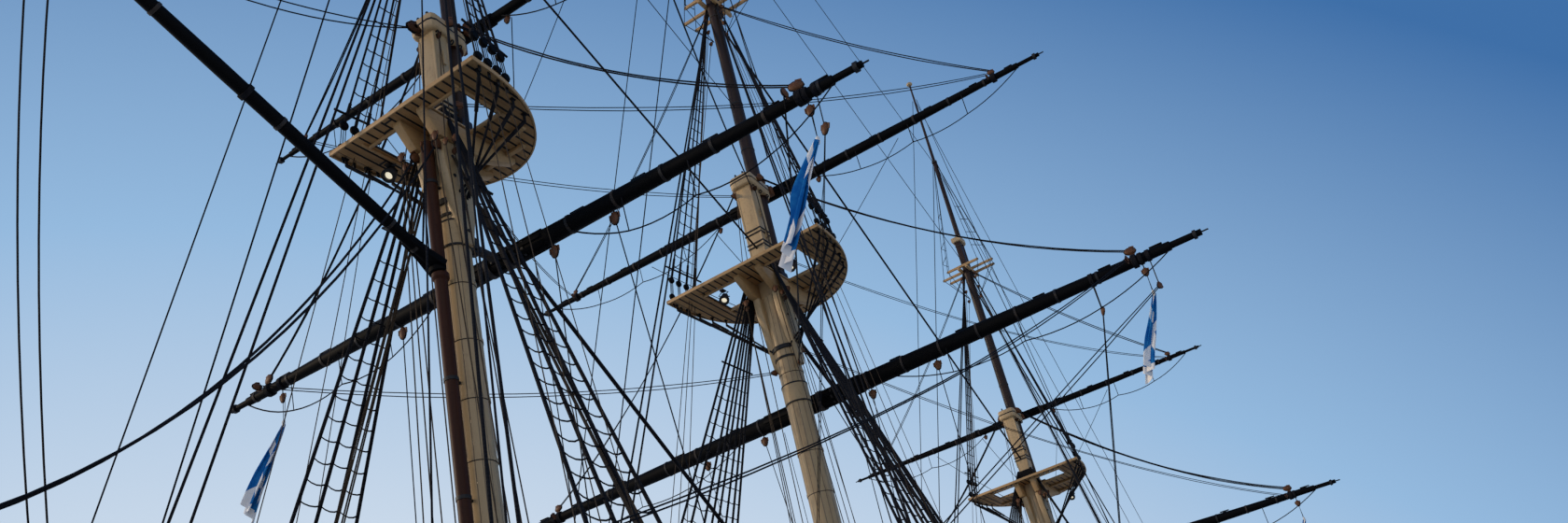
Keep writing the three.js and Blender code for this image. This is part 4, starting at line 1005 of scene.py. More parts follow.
class Stock:
    """The small patterns that the rigging is made up from, each built once."""

    def __init__(self) -> None:
        """Makes a block's shell and strop, a deadeye, a belaying pin and a cleat, each about 1 m long."""
        self.shell = pattern(self.block_shell, "block_shell")
        oval = Matrix.Diagonal((1, 0.66, 1, 1)) @ Matrix.Rotation(math.pi / 2, 4, "Y")
        self.strop = pattern(lambda work: work.hoop(0.47, 0.54, -0.05, 0.05, oval, 10), "strop")
        disc = [(-0.25, 0.40), (-0.1, 0.5), (0.1, 0.5), (0.25, 0.40)]
        self.deadeye = pattern(lambda work: work.turned(disc, sides=10), "deadeye")
        stem = [(-0.5, 0.05), (0, 0.06), (0.01, 0.1), (0.4, 0.07), (0.5, 0.03)]
        self.pin = pattern(lambda work: work.turned(stem, sides=6), "belaying_pin")
        self.cleat = pattern(self.cleat_shape, "cleat")

    @staticmethod
    def block_shell(work: Work) -> None:
        """A wooden block: an egg with flat cheeks and a slot for its sheave."""
        part = bmesh.new()
        bmesh.ops.create_uvsphere(part, u_segments=10, v_segments=7, radius=0.5)
        bmesh.ops.scale(part, vec=(0.40, 0.64, 1.0), verts=part.verts)
        work.take(part)
        work.block((-0.05, -0.42, -0.36), (0.05, 0.42, 0.05))

    @staticmethod
    def cleat_shape(work: Work) -> None:
        """A stubby cleat with two horns."""
        work.block((-0.08, -0.12, -0.18), (0.08, 0.12, 0.18))
        work.block((0.06, -0.09, -0.5), (0.16, 0.09, 0.5))


# Finishes

CREAM = Timber("cream_oil_paint", (0.51, 0.35, 0.175), (0.24, 0.145, 0.07), (6, 6, 1.0))
STAVES = {name: Staves(f"{name}_mast_paint", mast.x, mast.rake) for name, mast in MASTS.items()}
TOP_BOARDS = Planks("top_planking", (0.48, 0.27, 0.10), (0.27, 0.145, 0.05), 0.21, seam=0.05, rough=0.75)
TOP_TIMBER = Timber("top_timbers", (0.47, 0.28, 0.115), (0.25, 0.14, 0.055), (1, 9, 9), rough=0.6)
DARK_MAST = Timber("dark_mast", (0.028, 0.013, 0.008), (0.065, 0.032, 0.018), (9, 9, 0.35), gloss=0.3)
RED_MAST = Timber("varnished_mast", (0.046, 0.0145, 0.0065), (0.095, 0.033, 0.014), (9, 9, 0.35), gloss=0.15)
BLACK_SPAR = Timber("black_varnish", (0.0035, 0.0035, 0.004), (0.011, 0.009, 0.008), (5, 0.45, 5), rough=0.6,
                    wear=0.3, gloss=0.06)
TAR = RopeLay("tarred_hemp", (0.006, 0.006, 0.008), (0.028, 0.026, 0.028))
HEMP = RopeLay("hemp_rope", (0.045, 0.032, 0.022), (0.12, 0.088, 0.058), 0.03)
BLOCK_WOOD = Timber("block_wood", (0.12, 0.045, 0.016), (0.22, 0.09, 0.035), (3, 9, 9), rough=0.55, gloss=0.3)
IRON = Metal("black_iron", (0.012, 0.012, 0.013), (0.035, 0.023, 0.016), metallic=0.3, rough=0.55)
LINEN = Timber("flag_linen", (0.80, 0.78, 0.74), (0.6, 0.58, 0.52), (9, 9, 9), rough=0.8, depth=0.001, wear=0.3)
BUNTING = Bunting("flag_bunting")
LAMP_GLASS = Lens("lamp_glass")
STOCK = Stock()


# Masts and tops


def square(half_x: float, half_y: float, x: float = 0.0, y: float = 0.0) -> list[tuple[float, float]]:
    """A rectangle's corners round a centre."""
    return [(x - half_x, y - half_y), (x + half_x, y - half_y), (x + half_x, y + half_y), (x - half_x, y + half_y)]


def span(side: int, near: float, far: float) -> list[float]:
    """The least and the greatest y of what lies between two distances out on one side."""
    return sorted((side * near, side * far))


def eye_bolt(work: Work, place: Vector, size: float = 0.07, turn: float = 0.0) -> None:
    """A ring on its bolt, hanging at a place."""
    frame_matrix = Matrix.Translation(place) @ Matrix.Rotation(turn, 4, "Z") @ LAID
    work.hoop(size * 0.62, size, -size * 0.2, size * 0.2, frame_matrix, 10)


def tackle_block(work: Work, place: Vector, toward: Vector, size: float = 0.3) -> None:
    """A wooden block with its strop, aimed along its rope.

    Args:
        work: the piece that it is part of.
        place: the block's centre.
        toward: a point that its rope leads to.
        size: its length.
    """
    turned = aimed(place, toward) @ Matrix.Scale(size, 4)
    work.use(BLOCK_WOOD).stamp(STOCK.shell, [turned])
    work.use(TAR).stamp(STOCK.strop, [turned])


@dataclass
class MastRig:
    """One mast from the deck to the truck: its staved lower mast, top, cap, topmast and topgallant mast."""

    mast: Mast
    hoop_pitch: float = 1.22        # distance between the lower mast's iron hoops
    hoop_high: float = 0.075
    board: float = 0.21             # width of the top's boards
    gap: float = 0.012              # open seam between them
    cheek_long: float = 2.3
    futtock_drop: float = 2.0       # from the top down to the futtock band

    def build(self) -> None:
        """Makes the mast's pieces from the deck up."""
        self.lower_mast()
        self.top()
        self.cap()
        self.topmast()
        self.crosstrees()
        self.topgallant_mast()

    @property
    def futtock_height(self) -> float:
        """The height of the band that the futtock shrouds end on."""
        return self.mast.top - self.futtock_drop * (0.93 if self.mast.name == "mizzen" else 1.15)

    def lower_mast(self) -> None:
        """A mast of staves with hoops, cheeks, bibs and a square head, and the pin rails at its foot."""
        mast = self.mast
        at = mast.frame
        deck = (on_deck(mast.x).z - 0.06) / math.cos(math.radians(mast.rake))
        tree_low = mast.top - TREE_LOW
        staves = STAVES[mast.name]
        work = Work(f"{mast.name}_mast_staves", staves)
        work.turned([(z, mast.thick(z)) for z in (deck, mast.stoutest, mast.yard, tree_low - 0.02)], at, 32)
        work.turned([(deck, mast.foot + 0.2), (deck + 0.1, mast.foot + 0.19), (deck + 0.2, mast.foot + 0.13),
                     (deck + 0.42, mast.foot + 0.025)], at, 32)
        z = deck + 1.3
        while z < tree_low - self.cheek_long:
            if abs(z - mast.yard) > 0.6:
                radius = mast.thick(z)
                work.use(staves).band(radius, 0.014, z, z + self.hoop_high, at, 32)
                work.use(IRON).band(radius, 0.005, z - 0.016, z, at, 32)
            z += self.hoop_pitch
        self.truss(work)
        self.cheeks(work, tree_low)
        self.masthead(work, tree_low)
        band = self.futtock_height
        radius = mast.thick(band)
        work.use(IRON).band(radius, 0.045, band - 0.06, band + 0.06, at, 32, 0.02)
        work.band(radius, 0.03, band - 0.34, band - 0.28, at, 32, 0.02)
        self.pin_rail(work)
        work.done("ship", "cream_paint", [f"{mast.name}_lower_mast"])

    def truss(self, work: Work) -> None:
        """The band, lugs and pin that the lower yard turns on."""
        mast = self.mast
        pivot = mast.at_yard + TRUSS_OUT
        work.use(CREAM).band(mast.at_yard, 0.022, mast.yard - 0.3, mast.yard + 0.3, mast.frame, 32, 0.02)
        work.use(IRON)
        for edge in (-0.3, 0.26):
            work.band(mast.at_yard, 0.03, mast.yard + edge, mast.yard + edge + 0.04, mast.frame, 32, 0.02)
        for low in (-0.155, 0.095):
            work.plate([(0, -0.1), (pivot, -0.1), (pivot + 0.08, -0.06), (pivot + 0.1, 0), (pivot + 0.08, 0.06),
                        (pivot, 0.1), (0, 0.1)], mast.yard + low, mast.yard + low + 0.06, 0.01, mast.frame)
        work.turned([(-0.19, 0.05), (-0.18, 0.062), (0.16, 0.062), (0.17, 0.1), (0.21, 0.085)],
                    mast.moved(pivot, 0, mast.yard), 12)

    def cheeks(self, work: Work, tree_low: float) -> None:
        """The cheeks, bibs and their bolts under the trestletrees."""
        mast = self.mast
        low = tree_low - self.cheek_long
        shape = [(-0.12, low), (0.12, low), (0.3, tree_low - 1.2), (0.44, tree_low - 0.5), (0.44, tree_low - 0.01),
                 (-0.44, tree_low - 0.01), (-0.44, tree_low - 0.5), (-0.3, tree_low - 1.2)]
        for side in SIDES.values():
            inner, outer = span(side, mast.hounds - 0.12, mast.hounds + 0.10)
            work.use(CREAM).plate(shape, -outer, -inner, 0.025, mast.frame @ LAID)
            face = mast.moved(0, side * (mast.hounds + 0.10))
            for z in (low + 0.3, low + 0.9, low + 1.5, tree_low - 0.35):
                for x in ((0,) if z < low + 1.2 else (-0.22, 0.22)):
                    bolt = face @ Matrix.Translation((x, 0, z)) @ Matrix.Rotation(-side * math.pi / 2, 4, "X")
                    work.use(IRON).turned([(0, 0.04), (0.02, 0.035), (0.03, 0.015)], bolt, 8)

    def masthead(self, work: Work, tree_low: float) -> None:
        """The square head with its corner battens, iron bands and cleats."""
        mast = self.mast
        half = mast.side / 2
        work.use(CREAM).block((-half, -half, tree_low - 0.4), (half, half, mast.cap - 0.02), 0.045, mast.frame)
        corner = half - 0.02
        for x in (-corner, corner):
            for y in (-corner, corner):
                work.block((x - 0.03, y - 0.03, mast.top + 0.75), (x + 0.03, y + 0.03, mast.cap - CAP_THICK - 0.12),
                           0.012, mast.frame)
        for share in (0.16,) if mast.name == "mizzen" else (0.3, 0.42):
            z = mast.top + (mast.cap - mast.top) * share
            for step in (0, 0.13):
                ring = square(half + 0.028, half + 0.028)
                work.use(IRON).plate(ring, z + step, z + step + 0.045, 0.008, mast.frame)
        work.use(CREAM)
        for side in SIDES.values():
            outward = Matrix.Rotation(side * math.pi / 2, 4, "Z") @ Matrix.Scale(0.36, 4)
            work.stamp(STOCK.cleat, [mast.moved(0, side * (half + 0.01), mast.top + (mast.cap - mast.top) * share)
                                     @ outward for share in (0.4, 0.62)])

    def pin_rail(self, work: Work) -> None:
        """A fife rail on three sides of the mast's foot, full of belaying pins with coils on them."""
        ahead, wide, high = 1.25, 1.0, 0.95
        at = Matrix.Translation(on_deck(self.mast.x))
        baluster = [(-0.05, 0.09), (0.06, 0.09), (0.1, 0.06), (0.5, 0.085), (0.86, 0.06), (0.9, 0.09), (high, 0.09)]
        work.use(RED_MAST)
        for x in (-0.9, ahead):
            for side in SIDES.values():
                work.turned(baluster, at @ Matrix.Translation((x, side * wide, 0)), 12)
        work.block((ahead - 0.1, -wide - 0.14, high), (ahead + 0.1, wide + 0.14, high + 0.09), 0.02, at)
        spots = (-0.7, -0.4, -0.1, 0.2, 0.5, 0.8)
        pins = []
        for side in SIDES.values():
            y = side * wide
            work.block((-1.05, y - 0.1, high), (ahead - 0.11, y + 0.1, high + 0.09), 0.02, at)
            pins += [(x, y) for x in spots]
        pins += [(ahead, y) for y in spots]
        frames = [at @ Matrix.Translation((x, y, high + 0.03)) @ Matrix.Scale(0.46, 4) for x, y in pins]
        work.use(BLOCK_WOOD).stamp(STOCK.pin, frames)
        self.coils(work, [at @ Vector((x, y, high - 0.02)) for x, y in pins[::2]])

    def coils(self, work: Work, places: Sequence[Vector]) -> None:
        """Coils of rope that hang from belaying pins."""
        runs = []
        for place in places:
            for turn in range(3):
                wide, deep = 0.13 + 0.01 * turn, 0.62 - 0.05 * turn
                loop = [place + Vector((wide * math.sin(a), 0.02 * turn, -deep / 2 + deep / 2 * math.cos(a)))
                        for a in (i * math.tau / 10 for i in range(11))]
                runs.append((loop, 0.014))
        work.use(HEMP).lines(runs)

    def top(self) -> None:
        """The top: boards fore and aft on crosstrees and trestletrees, a rim, and the shrouds' plates."""
        mast = self.mast
        top, half = mast.top, mast.side / 2
        work = Work(f"{mast.name}_top_platform", TOP_BOARDS)
        at = mast.frame
        inner = half + 0.01
        tree_outer = inner + 0.20
        boards_low = top - 0.065
        tree_low = top - TREE_LOW
        hole_aft, hole_fore, hole_out = -half - mast.top_aft * 0.52, 0.34, mast.top_half * 0.62
        well_fore = mast.ahead + mast.topmast + 0.05
        count = int((mast.top_half - 0.06) / self.board + 0.5)
        for n in range(-count, count + 1):
            low, high = n * self.board - self.board / 2 + self.gap / 2, n * self.board + self.board / 2 - self.gap / 2
            low, high = max(low, -mast.top_half + 0.03), min(high, mast.top_half - 0.03)
            if high - low < 0.04:
                continue
            middle = abs(low + high) / 2
            start, fore = -mast.top_aft + 0.02, (self.outline_x(low), self.outline_x(high))
            parts = [(start, fore)]
            if middle < inner + 0.02:
                parts = [(start, (-half - 0.01,) * 2), (well_fore, fore)]
            elif tree_outer - 0.08 < middle < hole_out:
                parts = [(start, (hole_aft,) * 2), (hole_fore, fore)]
            for x, ends in parts:
                if min(ends) - x > 0.1:
                    work.plate([(x, low), (ends[0], low), (ends[1], high), (x, high)], boards_low, top - 0.012, 0.006,
                               at, 1)
        self.top_cover(work, inner, hole_aft, hole_fore, hole_out, tree_outer)
        fore_tree = mast.top_long - mast.top_aft - 0.35
        under = boards_low - 0.002
        tree = [(-mast.top_aft * 0.80, under - 0.09), (-half - 0.35, tree_low), (mast.ahead + 0.1, tree_low),
                (fore_tree, under - 0.12), (fore_tree, under), (-mast.top_aft * 0.80, under)]
        for side in SIDES.values():
            low, high = span(side, inner, tree_outer)
            work.plate(tree, -high, -low, 0.02, at @ LAID)
            low, high = span(side, tree_outer + 0.01, hole_out + 0.05)
            for x in (hole_aft - 0.02, hole_fore - 0.06):
                work.block((x, low, under - 0.06), (x + 0.06, high, under), 0.012, at)
            low, high = span(side, hole_out, hole_out + 0.05)
            work.block((hole_aft - 0.15, low, under - 0.06), (hole_fore + 0.25, high, under), 0.012, at)
        for x, share in ((well_fore + 0.16, 0.86), (fore_tree - 0.25, 0.75)):
            work.plate(square(0.055, share * self.outline_y(x), x), under - 0.09, under, 0.02, at)
        self.rim(work)
        self.plates(work)
        work.done("ship", "top_boards", [f"{mast.name}_top"])

    def outline_x(self, y: float, inset: float = 0.05) -> float:
        """How far forward the top reaches at y."""
        mast = self.mast
        share = min(1.0, abs(y) / (mast.top_half - inset))
        return -mast.top_aft + inset + (mast.top_long - 2 * inset) * (1 - share ** 2) ** (1 / TOP_CURVE)

    def top_cover(self, work: Work, inner: float, hole_aft: float, hole_fore: float, hole_out: float,
                  tree_outer: float) -> None:
        """Thin plates in the top timbers' finish, laid over the boards so that no light comes through their seams.

        Args:
            work: the piece.
            inner: the trestletrees' inner faces, out from the centre plane.
            hole_aft: the lubber's holes' after edges.
            hole_fore: their fore edges.
            hole_out: their outer edges.
            tree_outer: the trestletrees' outer faces.
        """
        mast = self.mast
        mast_aft = -mast.side / 2 - 0.01
        port = mast.outline(0.05)
        aft_edge, fore_edge = ((x, self.outline_y(x)) for x in (hole_aft, hole_fore))
        aft = [*([p for p in port if p[0] < hole_aft] or port[:1]), aft_edge]
        fore = [*(p for p in reversed(port) if p[0] > hole_fore), fore_edge]
        patches = [[*((x, -y) for x, y in reversed(part)), *part] for part in (aft, fore)]
        beside = [aft_edge, *(p for p in port if hole_aft < p[0] < hole_fore), fore_edge]
        for side in SIDES.values():
            patches.append([(x, side * y) for x, y in (*beside, (hole_fore, hole_out), (hole_aft, hole_out))])
            patches.append(square((hole_fore - hole_aft) / 2, (tree_outer - inner) / 2, (hole_fore + hole_aft) / 2,
                                  side * (inner + tree_outer) / 2))
        patches.append(square((mast_aft - hole_aft) / 2, inner, (mast_aft + hole_aft) / 2))
        work.use(TOP_TIMBER)
        for patch in patches:
            work.plate(patch, mast.top - 0.014, mast.top, 0, mast.frame)

    def outline_y(self, x: float, inset: float = 0.05) -> float:
        """How far out the top reaches at x."""
        mast = self.mast
        u = min(1.0, max(0.0, (x + mast.top_aft - inset) / (mast.top_long - 2 * inset)))
        return (mast.top_half - inset) * math.sqrt(max(0.0, 1 - u ** TOP_CURVE))

    def rim(self, work: Work) -> None:
        """A moulded rim that follows the outline, lapped at the after corners."""
        mast = self.mast
        port = mast.outline()
        path = [*port, *((x, -y) for x, y in reversed(port[:-1]))]
        profile = ((0.0, -0.07), (0.0, 0.02), (0.02, 0.03), (0.10, 0.03), (0.10, 0.0), (0.035, -0.01), (0.035, -0.07))
        part = bmesh.new()
        centre = Vector((mast.top_long / 2 - mast.top_aft, 0))
        loops = []
        for x, y in path:
            out = Vector((x, y)) - centre
            normal = Vector((out.x / mast.top_long ** 2 * 4, out.y / mast.top_half ** 2)).normalized()
            if abs(x + mast.top_aft) < 1e-6:
                normal = Vector((0, math.copysign(1, y)))
            loops.append([part.verts.new((x - normal.x * inset, y - normal.y * inset, mast.top + up))
                          for inset, up in profile])
        bridged(part, [ring_edges(part, loop) for loop in loops])
        for ring in (loops[0], loops[-1]):
            part.faces.new(ring)
        bmesh.ops.recalc_face_normals(part, faces=part.faces)
        work.use(TOP_TIMBER).take(part, mast.frame)
        half = mast.top_half
        work.block((-mast.top_aft, -half, mast.top - 0.07), (-mast.top_aft + 0.035, half, mast.top + 0.03), 0.01,
                   mast.frame)

    def rim_spots(self, along: Sequence[float], inset: float = 0.09) -> list[tuple[float, float]]:
        """Places just inside the port rim, by their distances ahead of the mast."""
        return [(x, self.outline_y(x, 0.0) - inset) for x in along]

    def plates(self, work: Work) -> None:
        """The straps' plates under the rim, and the deadeyes' plates that come up through it."""
        mast = self.mast
        for side in SIDES.values():
            work.use(TAR)
            for x, y in self.rim_spots(mast.straps, 0.15):
                place = mast.moved(x, side * y, mast.top)
                work.block((-0.06, -0.04, -0.09), (0.06, 0.04, -0.064), 0.01, place)
                work.block((-0.03, -0.02, -0.26), (0.03, 0.02, -0.08), 0.01, place)
            work.use(IRON)
            for x, y in self.rim_spots(mast.deadeyes):
                work.block((-0.035, -0.012, -0.14), (0.035, 0.012, 0.16), 0.006, mast.moved(x, side * y, mast.top))

    def cap(self) -> None:
        """The cap: a thick rounded block over the masthead and round the topmast, with ringbolts."""
        mast = self.mast
        aft, nose = mast.side / 2 + 0.12, mast.topmast + 0.12
        arc = [(mast.ahead + nose * math.cos(a), nose * math.sin(a))
               for a in (math.radians(-90 + i * 15) for i in range(13))]
        outline = [(-aft + 0.14, -aft), *arc, (-aft + 0.14, aft), (-aft + 0.04, aft - 0.04), (-aft, aft - 0.14),
                   (-aft, -aft + 0.14), (-aft + 0.04, -aft + 0.04)]
        low = mast.cap - CAP_THICK
        work = Work(f"{mast.name}_cap_block", CREAM)
        work.plate(outline, low, mast.cap, 0.085, mast.frame, 4)
        wide = [(x * 1.012 - 0.004, y * 1.02) for x, y in outline]
        work.use(IRON).plate(wide, low + 0.185, low + 0.235, 0.008, mast.frame, 1)
        ring = mast.moved(mast.ahead)
        work.use(RED_MAST).band(mast.topmast, 0.055, mast.cap - 0.02, mast.cap + 0.035, ring, 28)
        work.band(mast.topmast, 0.05, low - 0.03, low + 0.02, ring, 28)
        work.use(IRON)
        for side in SIDES.values():
            for x in (-0.12, 0.3, mast.ahead - 0.05):
                eye_bolt(work, mast.at(low - 0.05, x, side * (aft - 0.09)), 0.065, math.pi / 2)
            eye_bolt(work, mast.at(mast.cap + 0.05, -aft + 0.12, side * 0.13), 0.06)
        work.use(BLOCK_WOOD)
        for side in SIDES.values():
            work.block((mast.ahead + nose - 0.10, side * 0.10 - 0.055, low + 0.03),
                       (mast.ahead + nose + 0.012, side * 0.10 + 0.055, mast.cap - 0.06), 0.02, mast.frame)
        work.done("ship", "cream_paint", [f"{mast.name}_cap"])

    def topmast(self) -> None:
        """The topmast from its square heel and fid to its square head."""
        mast = self.mast
        at = mast.moved(mast.ahead)
        r, head = mast.topmast, mast.topmast_head
        heel, upper = mast.top - TREE_LOW - 0.12, mast.trees - 0.16
        finish = RED_MAST if mast.name == "mizzen" else DARK_MAST
        work = Work(f"{mast.name}_topmast_spar", DARK_MAST)
        work.block((-r, -r, heel), (r, r, mast.top + 0.55), r * 0.28, at)
        work.turned([(mast.top + 0.5, r * 0.98), (mast.top + 0.75, r), (mast.cap, r), (upper, r * 0.82)], at, 24)
        work.block((-head, -head, upper - 0.3), (head, head, mast.head - 0.02), 0.02, at)
        work.use(finish).turned([(mast.cap + 0.04, r + 0.012), (mast.cap + 0.05, r + 0.02), (mast.cap + 0.13, r + 0.02),
                                 (mast.cap + 0.14, r + 0.012)], at, 24)
        work.use(IRON)
        for z in (heel + 0.06, mast.top + 0.3):
            work.plate(square(r + 0.012, r + 0.012), z, z + 0.07, 0.008, at)
        for z in (mast.cap + 1.4, mast.cap + 3.2, upper - 0.5):
            work.band(r * (1 - 0.18 * (z - mast.cap) / (upper - mast.cap)), 0.012, z, z + 0.05, at, 24)
        fid = mast.side / 2 + 0.24
        work.block((-0.07, -fid, mast.top + 0.005), (0.07, fid, mast.top + 0.15), 0.01, at)
        for z in (upper - 0.28, mast.head - 0.5):
            work.plate(square(head + 0.012, head + 0.012), z, z + 0.05, 0.006, at)
        work.done("ship", "dark_spar", [f"{mast.name}_topmast"])

    def crosstrees(self) -> None:
        """The crosstrees at the topmast's head: two beams and three tapered spreaders."""
        mast = self.mast
        work = Work(f"{mast.name}_crosstree_spreaders", TOP_TIMBER)
        for side in SIDES.values():
            low, high = span(side, mast.topmast_head + 0.005, mast.topmast_head + 0.115)
            work.block((mast.ahead - 0.55, low, mast.trees - 0.16), (mast.second + 0.45, high, mast.trees), 0.02,
                       mast.frame)
        for x, share in mast.spreaders:
            long = mast.tree_half * share
            shape = [(x - 0.035, -long), (x + 0.035, -long), (x + 0.055, 0), (x + 0.035, long), (x - 0.035, long),
                     (x - 0.055, 0)]
            work.use(TOP_TIMBER).plate(shape, mast.trees - 0.02, mast.trees + 0.09, 0.015, mast.frame)
            for side in SIDES.values():
                knob = mast.moved(x, side * (long - 0.03), mast.trees + 0.03)
                work.use(IRON).hoop(0.03, 0.055, -0.02, 0.02, knob, 8)
        work.done("ship", "dark_spar", [f"{mast.name}_crosstrees"])

    def topgallant_mast(self) -> None:
        """The topgallant and royal mast in one pole, the topmast's cap round it and the truck on it."""
        mast = self.mast
        second, r, truck = mast.second, mast.topgallant, mast.truck
        head = mast.topmast_head + 0.09
        at = mast.moved(second)
        work = Work(f"{mast.name}_topgallant_pole", DARK_MAST)
        work.turned([(mast.trees - 0.3, r), (mast.stop, r * 0.72), (mast.stop + 0.03, r * 0.6),
                     (truck - 0.2, r * 0.33)], at, 16)
        work.use(CREAM).turned([(truck - 0.17, 0.06), (truck - 0.15, 0.13), (truck - 0.09, 0.15), (truck - 0.04, 0.12),
                                (truck, 0.06)], at, 16)
        arc = [(second + (r + 0.1) * math.cos(a), (r + 0.1) * math.sin(a))
               for a in (math.radians(-90 + i * 20) for i in range(10))]
        outline = [(mast.ahead - head, -head), *arc, (mast.ahead - head, head)]
        work.use(CREAM if mast.name == "fore" else DARK_MAST)
        work.plate(outline, mast.head - 0.26, mast.head - 0.02, 0.04, mast.frame, 3)
        work.use(IRON).hoop(r * 0.6, r * 0.72 + 0.035, mast.stop - 0.05, mast.stop + 0.05, at, 16)
        work.block((-0.09, -0.012, mast.stop + 0.05), (0.09, 0.012, mast.stop + 0.09), 0.004, at)
        work.done("ship", "dark_spar", [f"{mast.name}_topgallant_mast"])


# Yards, spanker gear and bowsprit


@dataclass
class YardRig:
    """One yard with its bands, cleats, jackstay, footropes and the gear that it swings on."""

    yard: Yard
    band_pitch: float = 1.15
    eye_pitch: float = 0.85
    footrope_drop: float = 0.85
    battens: int = 8
    beads: int = 9                  # trucks in each row of a parrel

    def build(self) -> None:
        """Makes the yard's two pieces."""
        self.spar()
        self.footropes()

    def spar(self) -> None:
        """The tapered spar, dressed."""
        yard = self.yard
        half, r = yard.half, yard.radius
        work = Work(f"{yard.name}_spar", BLACK_SPAR)
        stops = [-1.0, -0.97, -0.931, -0.929, -0.8, -0.65, -0.5, -0.3, -0.12]
        profile = [(half * s, yard.thick(half * s)) for s in [*stops, *(-s for s in reversed(stops))]]
        work.turned(profile, yard.frame, 20)
        self.bands(work)
        self.jackstay(work)
        self.cleats(work)
        if yard.lower:
            self.yoke(work)
        else:
            self.parrel(work)
        self.gear(work)
        work.done(yard.name, "black_spar", [yard.name])

    def bands(self, work: Work) -> None:
        """Iron bands and the battens of the yard's middle, which stand proud of it."""
        yard = self.yard
        work.use(IRON)
        z = self.band_pitch * 0.6
        while z < yard.half * 0.9:
            for side in SIDES.values():
                work.band(yard.thick(z), 0.014, side * z - 0.03, side * z + 0.03, yard.frame, 16)
            z += self.band_pitch
        for side in SIDES.values():
            for share in (ARM, TIP):
                z = side * share * yard.half
                work.band(yard.thick(z), 0.035, z - 0.04, z + 0.04, yard.frame, 16)
            tip = side * yard.half * TIP
            work.rod([yard.at(tip - 0.1 * side), yard.at(tip + side * yard.half * 0.03)], 0.022)
        work.use(BLACK_SPAR)
        long = yard.half * 0.14
        for i in range(self.battens):
            turned = yard.frame @ Matrix.Rotation(i * math.tau / self.battens, 4, "Z")
            work.block((yard.radius - 0.02, -0.05, -long), (yard.radius + 0.025, 0.05, long), 0.012, turned)

    def jackstay(self, work: Work) -> None:
        """An iron rod in eyebolts along the yard's upper fore side."""
        yard = self.yard
        lean = math.radians(35)

        def over(port: float, more: float) -> Vector:
            """A point outside the yard, up and ahead of it."""
            reach = yard.thick(port) + more
            return yard.at(port, reach * math.cos(lean), reach * math.sin(lean))

        reach = yard.half * 0.9
        count = int(reach / self.eye_pitch)
        work.use(IRON)
        for side in SIDES.values():
            spots = [side * (0.3 + (reach - 0.3) * i / count) for i in range(count + 1)]
            work.rod([over(z, 0.055) for z in spots], 0.013)
            for z in spots:
                place = yard.frame.to_3x3().to_4x4()
                place.translation = over(z, 0.03)
                work.hoop(0.014, 0.036, -0.015, 0.015, place, 8)

    def cleats(self, work: Work) -> None:
        """Cleats along the yard's upper side, alike on both arms."""
        yard = self.yard
        turned = Matrix.Rotation(-math.pi / 2, 4, "Z") @ Matrix.Scale(yard.gear, 4)
        spots = [side * share * yard.half for share in (0.24, 0.42, 0.62, 0.78, 0.9) for side in SIDES.values()]
        work.use(BLACK_SPAR).stamp(STOCK.cleat, [yard.frame @ Matrix.Translation((0, -yard.thick(z), z)) @ turned
                                                 for z in spots])

    def yoke(self, work: Work) -> None:
        """The truss: an arm from the yard's middle to an eye on the mast's pin."""
        yard, mast = self.yard, self.yard.mast
        pivot = mast.at_yard + TRUSS_OUT
        low, high = yard.height - 0.08, yard.height + 0.08
        work.use(IRON).hoop(0.07, 0.13, low, high, mast.moved(pivot), 16)
        near, far = pivot + 0.09, yard.ahead - yard.radius * 0.6
        work.plate([(near, -0.075), (far - 0.12, -0.075), (far, -0.28), (far + 0.1, -0.28), (far + 0.1, 0.28),
                    (far, 0.28), (far - 0.12, 0.075), (near, 0.075)], low + 0.01, high - 0.01, 0.015, mast.frame)
        for side in SIDES.values():
            z = side * 0.26
            work.hoop(yard.radius + 0.015, yard.radius + 0.05, z - 0.06, z + 0.06, yard.frame, 20)

    def parrel(self, work: Work) -> None:
        """The parrel: ribs and wooden trucks round the topmast, with an arm to the yard."""
        yard, mast = self.yard, self.yard.mast
        low, high = mast.cap + 0.014, mast.cap + 0.23
        work.use(IRON).hoop(mast.topmast + 0.003, mast.topmast + 0.045, low, high, mast.moved(mast.ahead), 24)
        work.use(BLOCK_WOOD)
        bead = [(-0.05, 0.02), (-0.03, 0.04), (0.03, 0.04), (0.05, 0.02)]
        out = mast.topmast + 0.075
        for level in (low + 0.055, high - 0.055):
            for i in range(self.beads):
                angle = math.pi * (0.5 + i / (self.beads - 1))
                work.turned(bead, mast.moved(mast.ahead + out * math.cos(angle), out * math.sin(angle), level), 8)
        near, far = mast.ahead + mast.topmast, yard.ahead - yard.radius * 0.5
        work.use(BLACK_SPAR).plate([(near, -0.13), (far, -0.2), (far, 0.2), (near, 0.13)], low + 0.02, high, 0.015,
                                   mast.frame)
        work.use(BLOCK_WOOD)
        for side in SIDES.values():
            near, far = span(side, 0.17, 0.36)
            work.block((yard.ahead - yard.radius - 0.13, near, yard.height - 0.16),
                       (yard.ahead - yard.radius * 0.4, far, yard.height + 0.14), 0.04, mast.frame)

    def gear(self, work: Work) -> None:
        """The blocks that hang from the yard: lifts and braces at the arms, clew and quarter blocks inboard."""
        yard = self.yard
        big, radius = yard.gear, yard.thick(yard.arm)
        for side in SIDES.values():
            arm = side * yard.arm
            work.use(TAR).hoop(radius, radius + 0.045, arm - 0.09, arm + 0.03, yard.frame, 12)
            tackle_block(work, yard.at(arm, radius + big * 0.5), yard.mast.at(yard.height + 0.16 * yard.half),
                         big * 0.9)
            behind = yard.at(arm - side * 0.08, -0.05, -radius - big * 0.8)
            tackle_block(work, behind, behind - Vector((1, 0, 0.25)), big * 0.75)
            for share in (0.16, 0.34) if yard.lower else (0.2,):
                port = side * share * yard.half
                place = yard.at(port, -yard.thick(port) - big * 0.62)
                tackle_block(work, place, place - UP, big * 0.85)
                work.use(TAR).rod([yard.at(port, -yard.thick(port) + 0.05), place], 0.016)

